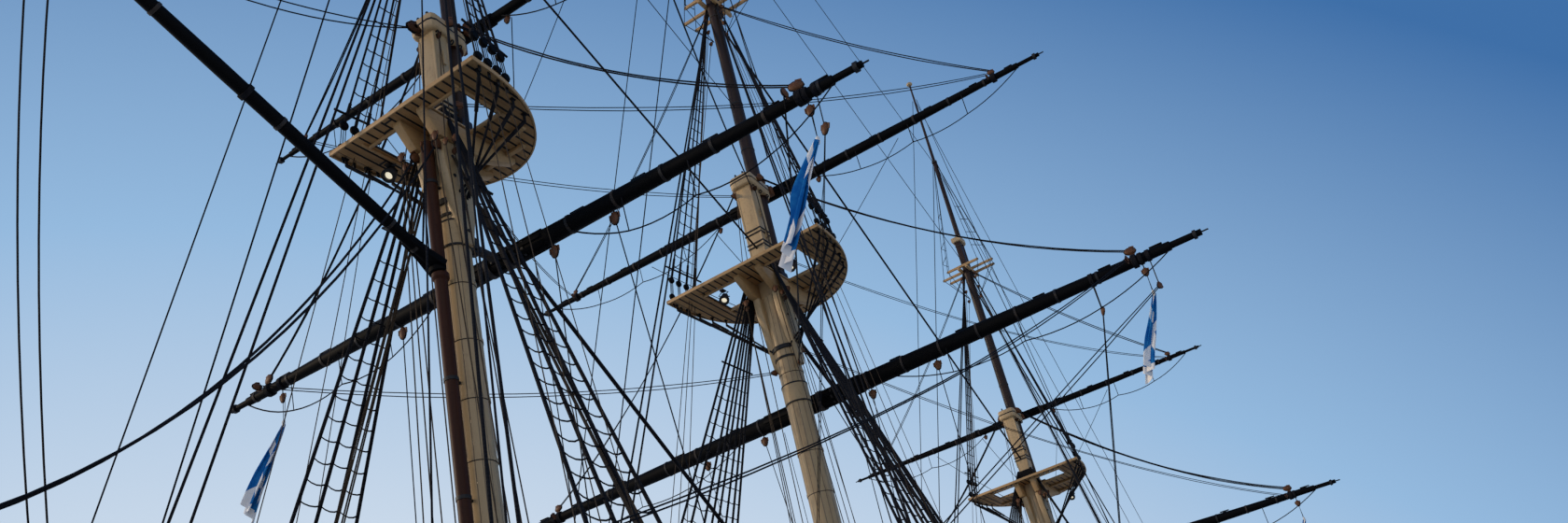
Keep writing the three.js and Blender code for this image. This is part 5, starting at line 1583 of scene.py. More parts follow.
    def footropes(self) -> None:
        """Footropes under each half of the yard, in stirrups."""
        yard = self.yard
        runs = []
        drop = self.footrope_drop * (1.0 if yard.lower else 0.85)
        start, end = (0.19 if yard.lower else 0.16) * yard.half, 0.93 * yard.half
        stirrups = 3 if yard.half > 8 else 2
        spots = [start + (end - start) * i / (stirrups + 1) for i in range(stirrups + 2)]
        for side in SIDES.values():

            def low(port: float) -> Vector:
                """The footrope's place below and abaft the yard."""
                share = (port - start) / (end - start)
                hang = drop * min(1.0, 6 * share, 6 * (1 - share) + 0.1)
                return yard.at(side * port, 0, -0.3 * yard.thick(port)) - UP * hang

            nodes = [low(port) for port in spots]
            path = [nodes[0]]
            for near, far in zip(nodes, nodes[1:]):
                path += sagged(near, far, 0.10, 6)[1:]
            runs.append((path, 0.017))
            for port, node in list(zip(spots, nodes))[1:-1]:
                top = yard.at(side * port, yard.thick(port) * 0.6, -yard.thick(port) * 0.85)
                runs.append(([top, node], 0.013))
        Work(f"{yard.name}_footropes", TAR).lines(runs).done(yard.name, "tarred_rope")


@dataclass
class Spanker:
    """The trysail mast with its gaff and boom."""

    jaw_wrap: float = 80.0          # degrees that each jaw reaches round the mast

    def build(self) -> None:
        """Makes the mast, the gaff and the boom."""
        self.trysail_mast()
        self.spar("spanker_gaff", GAFF)
        self.spar("spanker_boom", BOOM)

    def trysail_mast(self) -> None:
        """A varnished mast close abaft the mizzen mast, with a saddle for each spar and its clamps."""
        mizzen = MASTS["mizzen"]
        at = mizzen.moved(-TRYSAIL_BEHIND)
        deck = on_deck(-13.9).z - 0.04
        r = TRYSAIL_RADIUS
        work = Work("trysail_mast_pole", RED_MAST)
        work.turned([(deck, r + 0.05), (deck + 0.12, r + 0.045), (deck + 0.13, r), (17.19, r)], at, 24)
        for height, *_ in (BOOM, GAFF):
            high = height - 0.11 - 0.012
            work.turned([(high - 0.14, r), (high - 0.09, r + 0.04), (high, r + 0.04)], at, 24)
        for z in (9.6, 11.9, 16.2):
            gap = TRYSAIL_BEHIND - mizzen.thick(z)
            work.use(IRON).hoop(r - 0.005, r + 0.014, z, z + 0.07, at, 20)
            work.block((r, -0.03, z + 0.01), (gap + 0.02, 0.03, z + 0.06), 0.006, at)
        work.done("ship", "dark_spar", ["trysail_mast"])

    def spar(self, name: str, sizes: tuple[float, float, float, float]) -> None:
        """A boom or gaff: a tapered spar with jaws and bands.

        Args:
            name: its node's name.
            sizes: its height on the mast, length, rise in degrees and radius.
        """
        height, length, rise, r = sizes
        mizzen = MASTS["mizzen"]
        at = mizzen.moved(-TRYSAIL_BEHIND)
        level = mizzen.moved(-TRYSAIL_BEHIND, 0, height)
        aim, jaws = (level @ Matrix.Rotation(turn, 4, "Y") for turn in (math.radians(rise) - math.pi / 2,
                                                                        math.radians(rise)))
        work = Work(f"{name}_spar", BLACK_SPAR)
        bore = TRYSAIL_RADIUS
        profile = [(bore + 0.02, r * 0.72), (length * 0.04, r * 0.8), (length * 0.12, r * 0.9), (length * 0.4, r),
                   (length * 0.75, r * 0.8), (length * 0.97, r * 0.5), (length, r * 0.48)]
        work.turned(profile, aim, 20)
        reach = bore + 0.085
        arc = [math.radians(180 - self.jaw_wrap + i * self.jaw_wrap / 5) for i in range(11)]
        shape = [(reach * math.cos(a), reach * math.sin(a)) for a in arc]
        shape += [((bore + 0.006) * math.cos(a), (bore + 0.006) * math.sin(a)) for a in reversed(arc)]
        work.plate(shape, height - 0.105, height + 0.105, 0.008, at, 1)
        jaw = [(-bore - 0.08, 0.02), (-bore * 0.5, bore + 0.02), (-bore * 0.4, reach + 0.02),
               (-0.40, r * 0.9 + 0.04), (-0.85, r * 0.86), (-0.85, 0.03)]
        for side in SIDES.values():
            work.plate([(x, side * y) for x, y in jaw], -0.08, 0.08, 0.012, jaws)
        for share in (0.05, 0.1, 0.3, 0.5, 0.7, 0.85, 0.96):
            z = share * length
            work.use(IRON).band(read_off(profile, z), 0.014, z - 0.03, z + 0.03, aim, 16, 0.008)
        for share in (0.35, 0.62, 0.9) if name == "spanker_gaff" else (0.55, 0.8, 0.95):
            z = share * length
            work.use(TAR).band(read_off(profile, z), 0.03, z + 0.05, z + 0.14, aim, 12, 0.004)
        work.use(IRON).turned([(length - 0.02, 0.05), (length + 0.06, 0.045), (length + 0.07, 0.02)], aim, 10)
        work.done(name, "black_spar", [name])


@dataclass
class Head:
    """The bowsprit with its cap, and the jib-boom."""

    length: float = 15.0
    boom_heel: float = 9.6          # the jib-boom's heel, along the bowsprit
    boom_length: float = 12.4
    above: float = 0.50             # the jib-boom's axis above the bowsprit's

    def build(self) -> None:
        """Makes the bowsprit and the jib-boom."""
        at = aimed(bowsprit_point(0), bowsprit_point(1))
        work = Work("bowsprit_spar", CREAM)
        work.turned([(0.25, 0.34), (4.0, 0.335), (9.0, 0.29), (self.length, 0.225)], at, 28)
        work.use(IRON)
        for z in (2.2, 3.4, 5.2, 7.0, 8.6):
            work.band(0.34 - 0.115 * z / self.length, 0.016, z, z + 0.08, at, 28)
        work.use(TAR)
        for z in (3.9, 4.3, 4.7):
            work.hoop(0.32, 0.372, z, z + 0.26, at, 28)
        self.post(work.use(CREAM), self.length - 0.3, -0.3, self.above + 0.28, 0.26, 0.06)
        work.use(IRON)
        for side in SIDES.values():
            eye_bolt(work, bowsprit_point(self.length - 0.15, 0.0, side * 0.3), 0.07, math.pi / 2)
        self.post(work.use(RED_MAST), self.boom_heel + 0.15, 0.1, self.above - 0.13, 0.2, 0.03)
        work.done("ship", "cream_paint", ["bowsprit"])
        boom = Work("jib_boom_spar", DARK_MAST)
        boom_at = aimed(bowsprit_point(self.boom_heel, self.above), bowsprit_point(self.boom_heel + 1, self.above))
        long = self.boom_length
        boom.turned([(0, 0.135), (0.05, 0.15), (5.6, 0.145), (long * 0.75, 0.115), (long * 0.76, 0.095),
                     (long, 0.085)], boom_at, 20)
        boom.use(IRON)
        for z in (0.5, 5.0, long * 0.75, long - 0.12):
            radius = 0.155 if z < 6 else 0.12 if z < long * 0.8 else 0.09
            boom.hoop(radius - 0.03, radius + 0.015, z, z + 0.07, boom_at, 16)
        boom.done("ship", "dark_spar", ["jib_boom"])

    @staticmethod
    def post(work: Work, along: float, low: float, high: float, half: float, bevel: float) -> None:
        """A block that stands square to the bowsprit.

        Args:
            work: the piece.
            along: its distance along the bowsprit.
            low: its foot, above the bowsprit's axis.
            high: its head.
            half: half its width.
            bevel: how far its edges are rounded.
        """
        foot, head = bowsprit_point(along, low), bowsprit_point(along, high)
        at = aimed(foot, head)
        axis = at.to_3x3().inverted() @ (bowsprit_point(1) - bowsprit_point(0))
        squared = at @ Matrix.Rotation(math.atan2(axis.y, axis.x) - math.pi / 2, 4, "Z")
        work.block((-half, -0.15, 0), (half, 0.15, (head - foot).length), bevel, squared)


# Standing rigging


@dataclass
class Shrouds:
    """One mast's shrouds on both sides, with deadeyes, sheer poles, ratlines and backstays."""

    rig: MastRig
    thick: float = 0.036
    ratline: float = 0.016
    pitch: float = 0.385
    foot_up: float = 1.0            # from the channel's rated height up to the upper deadeyes

    def build(self) -> None:
        """Makes the mast's rigging piece by piece."""
        self.lower()
        self.futtocks()
        self.topmast()
        self.topgallant()
        self.backstays()
        self.falls()

    def deadeye_pair(self, work: Work, low: Vector, high: Vector, size: float) -> None:
        """Two deadeyes with their lanyard between."""
        flat = LAID @ Matrix.Scale(size, 4)
        work.use(BLACK_SPAR).stamp(STOCK.deadeye, [Matrix.Translation(p) @ flat for p in (low, high)])
        along = Vector((size * 0.26, 0, 0))
        work.use(TAR).lines([([low + along * s, high + along * s], 0.011) for s in (-1, 0, 1)])

    def ladder(self, legs: list[tuple[Vector, Vector]], low: float, high: float, pitch: float,
               sag: float) -> list[tuple[list[Vector], float]]:
        """Ratlines across shrouds.

        Args:
            legs: each shroud's foot and head, from fore to aft.
            low: height of the lowest ratline.
            high: height of the highest.
            pitch: their spacing.
            sag: how far each hangs between two shrouds, as a share of their distance.

        Returns:
            The lines.
        """
        runs = []
        for row in range(int((high - low) / pitch) + 1):
            z = low + row * pitch
            knots = [at_height(foot, head, z) for foot, head in legs]
            path = [knots[0]]
            for i, (a, b) in enumerate(zip(knots, knots[1:])):
                hang = sag * (0.75 + 0.5 * ((row * 7 + i * 3) % 5) / 4)
                path += sagged(a, b, (b - a).length * hang, 4)[1:]
            runs.append((path, self.ratline))
        return runs

    def lower_legs(self, side: int) -> list[tuple[Vector, Vector]]:
        """Each lower shroud's upper deadeye and head, from fore to aft."""
        mast = self.rig.mast
        z = mast.channel[2] + self.foot_up
        legs = []
        for i, x in enumerate(mast.feet):
            foot = Vector((x, side_at(x, 4.9, side).y + side * (0.25 + 0.33 * (4.9 - z)), z))
            head = mast.at(mast.top + 0.22 + 0.055 * i, -0.12 - 0.02 * i, side * (mast.side / 2 + 0.05))
            legs.append((foot, head))
        return legs

    def lower(self) -> None:
        """The lower shrouds, from the masthead down to deadeyes on the channels, with ratlines and a sheer pole."""
        mast = self.rig.mast
        for name, side in SIDES.items():
            work = Work(f"{mast.name}_shrouds_{name}", TAR)
            legs = self.lower_legs(side)
            runs = []
            for i, (foot, head) in enumerate(legs):
                runs.append(([foot, head, mast.at(mast.top + 0.30 + 0.055 * i)], self.thick))
                low = foot + (foot - head) * (self.foot_up / (head.z - foot.z))
                self.deadeye_pair(work, low, foot, 0.30)
                way = (head - foot).normalized()
                runs.append(([foot + way * 0.1, foot + way * 0.75], 0.052))
                chain = side_at(low.x - 0.1, mast.channel[2] - 1.65, side)
                edge = Vector((low.x, side_at(low.x, 4.0, side).y + side * 0.53, mast.channel[2] - 0.3))
                work.use(IRON).rod([low, edge, chain], 0.022)
            ends = legs[0], legs[-1]
            pole = [foot + (head - foot).normalized() * 0.42 for foot, head in ends]
            past = Vector((0.25, 0, 0))
            runs.append(([pole[0] + past, pole[1] - past], 0.03))
            work.use(TAR).lines(runs, fine=True)
            if mast.name == "mizzen":
                foot, head = legs[1]
                runs = [([foot + Vector((0.07 * i, 0, 0.3)), head + Vector((0.02 * i, side * 0.1, -1.2))], 0.022)
                        for i in (-2, -1, 1, 2)]
                work.use(HEMP).lines(runs)
            band = self.rig.futtock_height
            work.use(TAR).lines(self.ladder(legs, legs[0][0].z + 0.85, band - 0.5, self.pitch, 0.15))
            stave = [at_height(foot, head, band - 0.25) for foot, head in ends]
            past = Vector((0.15, 0, 0))
            work.rod([stave[0] + past, stave[1] - past], 0.035)
            work.done("ship", "tarred_rope")
        collar = Work(f"{mast.name}_shroud_collars", TAR)
        half = mast.side / 2
        for i in range(len(mast.feet)):
            z = mast.top + 0.13 + 0.06 * i
            reach = half + 0.045 + 0.008 * (i % 3)
            collar.plate(square(reach, reach), z, z + 0.055, 0.02, mast.frame)
        collar.use(TOP_TIMBER)
        for side in SIDES.values():
            collar.plate(square(half + 0.25, 0.07, -0.05, side * (half + 0.09)), mast.top, mast.top + 0.11, 0.04,
                         mast.frame)
        collar.done("ship", "tarred_rope")

    def futtocks(self) -> None:
        """The futtock shrouds, from the plates at the top's rim in to the band on the mast."""
        mast = self.rig.mast
        band = self.rig.futtock_height
        reach = mast.thick(band) + 0.05
        runs = []
        spots = self.rig.rim_spots(mast.straps, 0.15)
        for side in SIDES.values():
            for i, (x, y) in enumerate(spots):
                start = mast.at(mast.top - 0.24, x, side * y)
                angle = math.radians(50 + 80 * i / (len(spots) - 1))
                end = mast.at(band, reach * math.cos(angle), side * reach * math.sin(angle))
                runs += [([start, end], 0.027), ([start, start.lerp(end, 0.26)], 0.040)]
        Work(f"{mast.name}_futtock_shrouds", TAR).lines(runs, fine=True).done("ship", "tarred_rope")

    def topmast(self) -> None:
        """The topmast shrouds, from the crosstrees to deadeyes round the top's rim, with sagging ratlines."""
        mast = self.rig.mast
        for name, side in SIDES.items():
            work = Work(f"{mast.name}_topmast_shrouds_{name}", TAR)
            legs, runs = [], []
            for i, (x, y) in enumerate(reversed(self.rig.rim_spots(mast.deadeyes))):
                low = mast.at(mast.top + 0.22, x, side * y)
                foot = mast.at(mast.top + 0.78, x * 0.97, side * (y - 0.06))
                head = mast.at(mast.trees - 0.12 + 0.03 * i, mast.ahead - 0.02, side * mast.topmast * 0.9)
                legs.append((foot, head))
                self.deadeye_pair(work, low, foot, 0.21)
                runs += [([foot, head], 0.024), ([foot, foot.lerp(head, 0.07)], 0.036)]
            poles = [foot.lerp(head, 0.035) for foot, head in (legs[0], legs[-1])]
            out = (poles[0] - poles[1]).normalized() * 0.3
            runs.append(([poles[0] + out, poles[1] - out], 0.026))
            work.use(TAR).lines(runs, fine=True)
            work.lines(self.ladder(legs, mast.top + 1.25, mast.trees - 0.75, self.pitch, 0.17))
            work.done("ship", "tarred_rope")

    def topgallant(self) -> None:
        """The topgallant shrouds, spread by the crosstrees, and the futtocks below them."""
        mast = self.rig.mast
        runs = []
        for side in SIDES.values():
            out = side * mast.topgallant * 0.5
            foot = mast.at(mast.trees - 1.5, mast.ahead, side * (mast.topmast + 0.03))
            tips = [mast.at(mast.trees + 0.05, x, side * (mast.tree_half * share - 0.03))
                    for x, share in mast.spreaders]
            for i, tip in enumerate(tips):
                runs.append(([mast.at(mast.stop - 0.15 + 0.04 * i, mast.second, out), tip, foot], 0.014))
            head = mast.at(mast.stop - 0.15, mast.second, out)
            for row in range(4):
                z = mast.at(mast.trees + 0.9 + 0.8 * row).z
                runs.append(([at_height(tip, head, z) for tip in reversed(tips)], self.ratline))
        Work(f"{mast.name}_topgallant_shrouds", TAR).lines(runs).done("ship", "tarred_rope")

    def backstays(self) -> None:
        """Backstays from the topmast, topgallant and royal masts to the ship's side abaft the shrouds."""
        mast = self.rig.mast
        aft, _, height = mast.channel
        work = Work(f"{mast.name}_backstays", TAR)
        heads = [(mast.trees - 0.1, mast.ahead, 0.026, -0.1), (mast.trees - 0.05, mast.ahead, 0.026, -0.6),
                 (mast.stop - 0.1, mast.second, 0.017, -0.35), (mast.truck - 1.1, mast.second, 0.014, -1.55)]
        runs = []
        for side in SIDES.values():
            for top, ahead, radius, step in heads:
                x = aft + step
                foot = side_at(x, 4.5, side) + Vector((0, side * 0.22, 0))
                head = mast.at(top, ahead, side * 0.1)
                runs.append(([foot, head], radius))
                self.deadeye_pair(work, foot - UP * 0.3, foot + (head - foot).normalized() * 0.35, 0.18)
                work.use(IRON).rod([foot - UP * 0.35, side_at(x, height - 0.75, side)], 0.015)
        work.use(TAR).lines(runs, fine=True)
        work.done("ship", "tarred_rope")

    def falls(self) -> None:
        """Running gear that comes down the mast: from blocks under the top and the cap to the pin rails."""
        mast = self.rig.mast
        work = Work(f"{mast.name}_falls", HEMP)
        runs = []
        rail = on_deck(mast.x, up=0.98)
        random.seed(mast.name)
        start, pitch = FALLS_AFT[mast.name]
        for side in SIDES.values():
            for i, x in enumerate((-0.7, -0.4, -0.1, 0.2)):
                foot = rail + Vector((x, side, 0.1))
                out = mast.side / 2 + 0.25 + 0.1 * (i % 3)
                top = mast.at(mast.top - 0.75 - 0.1 * (i % 2), 0.17 * (i - 4.4), side * out)
                runs.append(([foot, top], 0.013))
                tackle_block(work, top, top - UP, 0.17 if i % 2 else 0.22)
                if i % 2:
                    high = mast.at(mast.cap - CAP_THICK - 0.16, -0.12, side * (mast.side / 2 + 0.08))
                    runs.append(([top + UP * 0.1, high], 0.012))
                    tackle_block(work, high, high - UP, 0.17)
            for i in range(3):
                x = mast.x - start - pitch * i + random.uniform(-0.2, 0.2)
                edge = DECK_RING.point((x - DECK_RING.aft) / (DECK_RING.fore - DECK_RING.aft)).y - 0.3
                foot = on_deck(x, side * edge, 1.0)
                top = mast.at(mast.trees - 0.6 - 0.5 * i, mast.ahead - 0.1, side * (mast.topmast + 0.1))
                runs.append(([foot, top], 0.0105))
                tackle_block(work, top, top - UP, 0.17)
        work.use(HEMP).lines(runs)
        work.done("ship", "tarred_rope")


@dataclass
class Stays:
    """The lighter stays and the bowsprit's gear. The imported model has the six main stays."""

    boom_heel: float = Head.boom_heel

    def build(self) -> None:
        """Makes its two pieces."""
        self.light_stays()
        self.bowsprit_gear()

    def light_stays(self) -> None:
        """Topgallant and royal stays, the jib's stay and one from the main top to the fore mast."""
        mizzen, main, fore = MASTS.values()
        ends = [
            (fore.at(fore.trees - 0.1, fore.ahead), bowsprit_point(self.boom_heel + 5.2, 0.5), 0.018),
            (fore.at(fore.stop - 0.1, fore.second), bowsprit_point(self.boom_heel + 9.3, 0.55), 0.013),
            (fore.at(fore.truck - 1.0, fore.second), bowsprit_point(self.boom_heel + 12.1, 0.55), 0.013),
            (main.at(main.stop - 0.1, main.second), fore.at(fore.trees + 0.2, fore.ahead), 0.013),
            (main.at(main.truck - 1.0, main.second), fore.at(fore.stop - 0.2, fore.second), 0.013),
            (mizzen.at(mizzen.stop - 0.1, mizzen.second), main.at(main.cap + 3.0, main.ahead), 0.013),
            (mizzen.at(mizzen.truck - 1.0, mizzen.second), main.at(main.trees + 0.1, main.ahead), 0.013),
            (main.at(main.top + 0.45, main.ahead), fore.at(5.4, -0.1, 0.35), 0.018),
        ]
        runs = [(sagged(start, end, 0.05, 8), radius) for start, end, radius in ends]
        Work("light_stays", TAR).lines(runs, fine=True).done("ship", "tarred_rope")

    def bowsprit_gear(self) -> None:
        """Bobstays, martingale stays, bowsprit shrouds, footropes and ridge ropes on stanchions."""
        work = Work("bowsprit_gear", TAR)
        foot = bowsprit_point(14.85, -3.15)
        bobstays = [(9.5, -0.25, Vector((26.05, 0, 0.9))), (13.9, -0.22, Vector((26.45, 0, 1.7)))]
        runs = [([bowsprit_point(along, up), end], 0.035) for along, up, end in bobstays]
        runs += [([bowsprit_point(14.85, -0.2), foot], 0.02), ([foot, bowsprit_point(21.6, 0.42)], 0.02),
                 ([foot + UP * 0.35, bowsprit_point(18.4, 0.40)], 0.02)]
        steps = 12
        for side in SIDES.values():
            spots = [(15.0 + 6.2 * i / steps, (4 * (i / steps) * (1 - i / steps)) ** 0.5) for i in range(steps + 1)]
            walk = [bowsprit_point(along, 0.45 - 0.75 * hang, side * 0.28) for along, hang in spots]
            ridge = [bowsprit_point(s, 1.05 + 0.05 * (i % 2), side * 0.42) for i, s in enumerate((1.6, 5.0, 9.0, 14.7))]
            runs += [([bowsprit_point(13.5, 0, side * 0.24), side_at(23.6, 4.4, side)], 0.027),
                     ([foot + UP * 0.1, side_at(24.2, 4.2, side)], 0.017),
                     ([bowsprit_point(21.4, 0.5, side * 0.08), bowsprit_point(14.6, 0.4, side * 0.75),
                       side_at(24.6, 4.8, side)], 0.017),
                     (walk, 0.014), (ridge, 0.014)]
            runs += [([walk[i], bowsprit_point(spots[i][0], 0.5, side * 0.05)], 0.011) for i in (3, 6, 9)]
            runs += [([point, bowsprit_point((point - BOWSPRIT_HEEL).length, 0.25, side * 0.2)], 0.014)
                     for point in ridge[1:]]
        work.lines(runs, fine=True)
        whisker = [bowsprit_point(14.6 + 0.15 * (y == 0), 0.4, y) for y in (-0.78, 0, 0.78)]
        work.use(BLACK_SPAR).rod(whisker, 0.05, fine=True)
        work.use(IRON)
        for along, _, end in bobstays:
            start = bowsprit_point(along, -0.25)
            way = (end - start).normalized()
            work.stamp(STOCK.deadeye, [aimed(start + way * step, end) @ LAID @ Matrix.Scale(0.26, 4)
                                       for step in (0.35, 0.95)])
        work.done("ship", "tarred_rope")


# Running rigging, between the ship and the spars that move


class Purchase(Enum):
    """What hangs from a lower yard's arm, by the word in its pieces' names."""

    WHIP = "whip"
    TACKLE = "tackle"
    GUY = "guy"


@dataclass(frozen=True)
class Lead:
    """A rope from a point on the ship to a point on a moving spar, perhaps doubled, with its sag."""

    start: Vector
    end: Vector
    radius: float = 0.014
    sag: float = 0.0
    strands: int = 1
    apart: float = 0.13
    bow: tuple[float, float, float] = (0, 0, 0)     # how far the wind carries its middle

    def runs(self, steps: int = 16) -> list[tuple[list[Vector], float]]:
        """Its lines, side by side."""
        made = []
        for i in range(self.strands):
            shift = UP * self.apart * (i - (self.strands - 1) / 2)
            path = sagged(self.start, self.end, self.sag * (1 + 0.18 * i), steps)
            wind = Vector(self.bow)
            made.append(([p + shift * (0.35 + 0.65 * min(1.0, 4 * k / steps, 4 * (1 - k / steps)))
                          + wind * (4 * k / steps * (1 - k / steps)) for k, p in enumerate(path)], self.radius))
        return made


def lead_out(name: str, leads: Sequence[Lead], block: float = 0.0) -> None:
    """Makes one piece of several ropes that leave the ship and reach a spar near each other.

    Args:
        name: the piece's name.
        leads: the ropes.
        block: size of the block at each rope's start, or 0 for none.
    """
    work = Work(name, TAR)
    if block:
        for lead in leads:
            tackle_block(work, lead.start, lead.end, block)
    work.use(TAR).lines([run for lead in leads for run in lead.runs()])
    work.blended(leads[0].start, leads[0].end, "tarred_rope")


@dataclass
class RunningGear:
    """Lifts, braces and the gear that hangs from the yards, the gaff and the boom."""

    def build(self) -> None:
        """Makes each rope or pair of ropes with its blocks."""
        for yard in YARDS:
            self.lifts(yard)
            self.vertical(yard)
        self.braces()
        self.whips()
        self.spanker()

    def lifts(self, yard: Yard) -> None:
        """A pair of slack lines from the cap, or the topmast's head, to each yardarm."""
        mast = yard.mast
        for name, side in SIDES.items():
            if yard.lower:
                start = mast.at(mast.cap - 0.12, 0.15, side * (mast.side / 2 + 0.18))
                sag = 0.055 * yard.half
            else:
                start = mast.at(mast.trees - 0.35, mast.ahead, side * (mast.topmast + 0.12))
                sag = 0.03 * yard.half
            end = yard.at(side * yard.arm, yard.thick(yard.arm) + 0.17)
            strands = 3 if yard.name == "fore_yard" else 2
            lead_out(f"{yard.name}_lift_{name}", [Lead(start, end, 0.017, sag, strands)],
                     0.30 if yard.lower else 0.2)

    def vertical(self, yard: Yard) -> None:
        """Gear between the yard's middle part and the top or the deck: clew garnets, buntlines and tackles."""
        mast = yard.mast
        for name, side in SIDES.items():
            leads = []
            if yard.lower:
                for i, share in enumerate((0.10, 0.16, 0.34)):
                    end = yard.at(side * share * yard.half, -yard.radius - 0.2)
                    foot = on_deck(mast.x + 1.1 + 0.3 * i, side * (1.0 + 2.6 * (i > 1)), 1.0)
                    leads.append(Lead(foot, end, 0.012, 0.05))
            else:
                for i, share in enumerate((0.22, 0.5)):
                    end = yard.at(side * share * yard.half, -yard.radius - 0.15)
                    start = mast.at(mast.top + 0.1, mast.ahead + 0.9 - 0.8 * i, side * (0.6 + 0.9 * i))
                    leads.append(Lead(start, end, 0.011, 0.04))
            lead_out(f"{yard.name}_gear_{name}", leads)

    def braces(self) -> None:
        """Two-part braces from each yardarm to the hull, or to the next mast."""
        mizzen, main = MASTS["mizzen"], MASTS["main"]
        for name, side in SIDES.items():
            spots = {
                "main_yard": side_at(-20.6, 4.7, side) + UP * 0.2,
                "main_topsail_yard": mizzen.at(mizzen.top + 0.6, 0.2, side * 0.35),
                "fore_yard": main.at(main.top - 2.4, 0.2, side * 0.42),
                "fore_topsail_yard": main.at(main.top + 0.8, 0.4, side * 0.4),
                "crossjack_yard": main.at(main.top - 2.9, -0.2, side * 0.42),
                "mizzen_topsail_yard": main.at(main.cap - 0.6, -0.3, side * 0.32),
            }
            for key, start in spots.items():
                yard = YARD[key]
                end = yard.at(side * yard.arm - side * 0.08, -0.05, -yard.thick(yard.arm) - 0.3)
                brace = Lead(start, end, 0.013, 0.03 * (end - start).length, 2, 0.16)
                lead_out(f"{key}_brace_{name}", [brace], 0.22)

    def whips(self) -> None:
        """Double tackles that hang from the starboard arms of two lower yards down to the rail."""
        for name, kind, along, x, radius in (("crossjack_yard", Purchase.WHIP, -7.50, -11.3, 0.010),
                                             ("main_yard", Purchase.TACKLE, -8.57, 5.3, 0.014),
                                             ("main_yard", Purchase.GUY, -10.1, -11.4, 0.013)):
            yard = YARD[name]
            thick = yard.thick(along)
            rail = side_at(x, 5.2, Side.STARBOARD.value) + UP * 0.1
            end = yard.at(along, -thick - 0.75)
            work = Work(f"{name}_{kind.value}_block", IRON)
            work.rod([yard.at(along, -thick), end], 0.014)
            tackle_block(work, end, rail, 0.24)
            work.use(TAR).band(thick, 0.025, along - 0.05, along + 0.05, yard.frame, 14, 0.004)
            work.done(name, "tarred_rope")
            lead_out(f"{name}_{kind.value}", [Lead(rail, end, radius, 0.0, 2, 0.12)])

    def spanker(self) -> None:
        """Peak and throat halyards, vangs, topping lifts and the boom's sheets."""
        mizzen = MASTS["mizzen"]
        block = mizzen.at(mizzen.cap - 0.45, -mizzen.side / 2 - 0.32)
        peak = [Lead(block, spanker_point(GAFF, GAFF[1] * 0.62, 0.15), 0.016, sag) for sag in (0.3, 0.52)]
        lead_out("peak_halyards", peak, 0.4)
        throat = Lead(mizzen.at(mizzen.top - 0.7, -0.55), spanker_point(GAFF, 0.5, 0.2), 0.02, 0, 2)
        lead_out("throat_halyard", [throat], 0.3)
        vangs = [Lead(Vector((x, 4.25, 5.6)), spanker_point(GAFF, GAFF[1] * share, -0.1), 0.016, bow=(-0.35, 0, 0))
                 for x, share in ((-18.1, 0.667), (-17.85, 0.637))]
        lead_out("gaff_vangs", vangs, 0.24)
        for name, side in SIDES.items():
            lift = Lead(mizzen.at(mizzen.top - 0.75, -0.55, side * 0.3), spanker_point(BOOM, 8.3, 0.15, side * 0.1),
                        0.022, 1.3)
            lead_out(f"boom_topping_lifts_{name}", [lift], 0.3)
            sheet = Lead(Vector((-22.6, side * 2.6, 5.65)), spanker_point(BOOM, 12.6, -0.15), 0.016, 0.0, 2, 0.2)
            lead_out(f"boom_sheets_{name}", [sheet], 0.3)


# Hull


@dataclass(frozen=True)
class HullPaint(Finish):
    """Black topsides with a cream band along the ports, a thin waterline and coppered bottom."""

    black: Colour = (0.012, 0.012, 0.013)
    cream: Colour = (0.56, 0.44, 0.27)
    copper: Colour = (0.20, 0.075, 0.035)
    band: tuple[float, float] = (1.85, 3.0)     # its foot and head, above the waterline amidships
    boot: float = 0.30              # the copper's upper edge
    plank: float = 0.24
    sheet: float = 0.42             # height of the copper's sheets

    def make(self, shader: Shader) -> bpy.types.Material:
        """Bands that follow the sheer, with the planks' seams as relief and dirt that runs down."""
        place = shader.place()
        x, _, z = shader.axes(place)
        (rise_fore, long_fore), (rise_aft, long_aft) = SHEER_FORE, SHEER_AFT
        fore = ((x - WIDEST) / long_fore).at_least(0.0)
        aft = ((WIDEST - x) / long_aft).at_least(0.0)
        level = z - (fore * fore * rise_fore + aft * aft * rise_aft)
        strake = level / self.plank
        butt = (x / 5.3 + strake.floor() * 0.37).fraction() < 0.004
        lines = (strake.fraction() < 0.07).at_least(butt)
        grain = shader.noise(shader.stretched(place, (0.5, 4, 9)), 1.4, 6, 0.62)
        streaks = shader.noise(shader.stretched(place, (2.2, 2.2, 0.25)), 1.2, 5, 0.6)
        dirt = (grain * 0.4 + streaks * 0.6).fade(0.45, 0.68)
        black = shader.mix(dirt * 0.5, self.black, (0.035, 0.032, 0.030))
        cream = shader.mix(dirt * 0.5, self.cream, (0.27, 0.19, 0.11))
        colour = shader.mix(level.between(*self.band), black, cream)
        colour = shader.mix(lines * 0.35, colour, (0.006, 0.006, 0.006))
        tarnish = shader.noise(place, 1.4, 6, 0.65)
        row = z / self.sheet
        lap = (row.fraction() < 0.06).at_least((x / 1.25 + row.floor() * 0.5).fraction() < 0.02)
        copper = shader.mix(tarnish.fade(0.45, 0.66), self.copper, (0.10, 0.075, 0.05))
        copper = shader.mix(lap * 0.6, copper, (0.05, 0.025, 0.015))
        under = z < self.boot
        colour = shader.mix(under, colour, copper)
        height = grain * 0.2 + (1 - lines) * (1 - under) + (1 - lap) * under
        return shader.done(Base_Color=colour, Roughness=dirt * 0.2 + 0.45, Specular_IOR_Level=0.3,
                           Normal=shader.bump(height, 0.010))


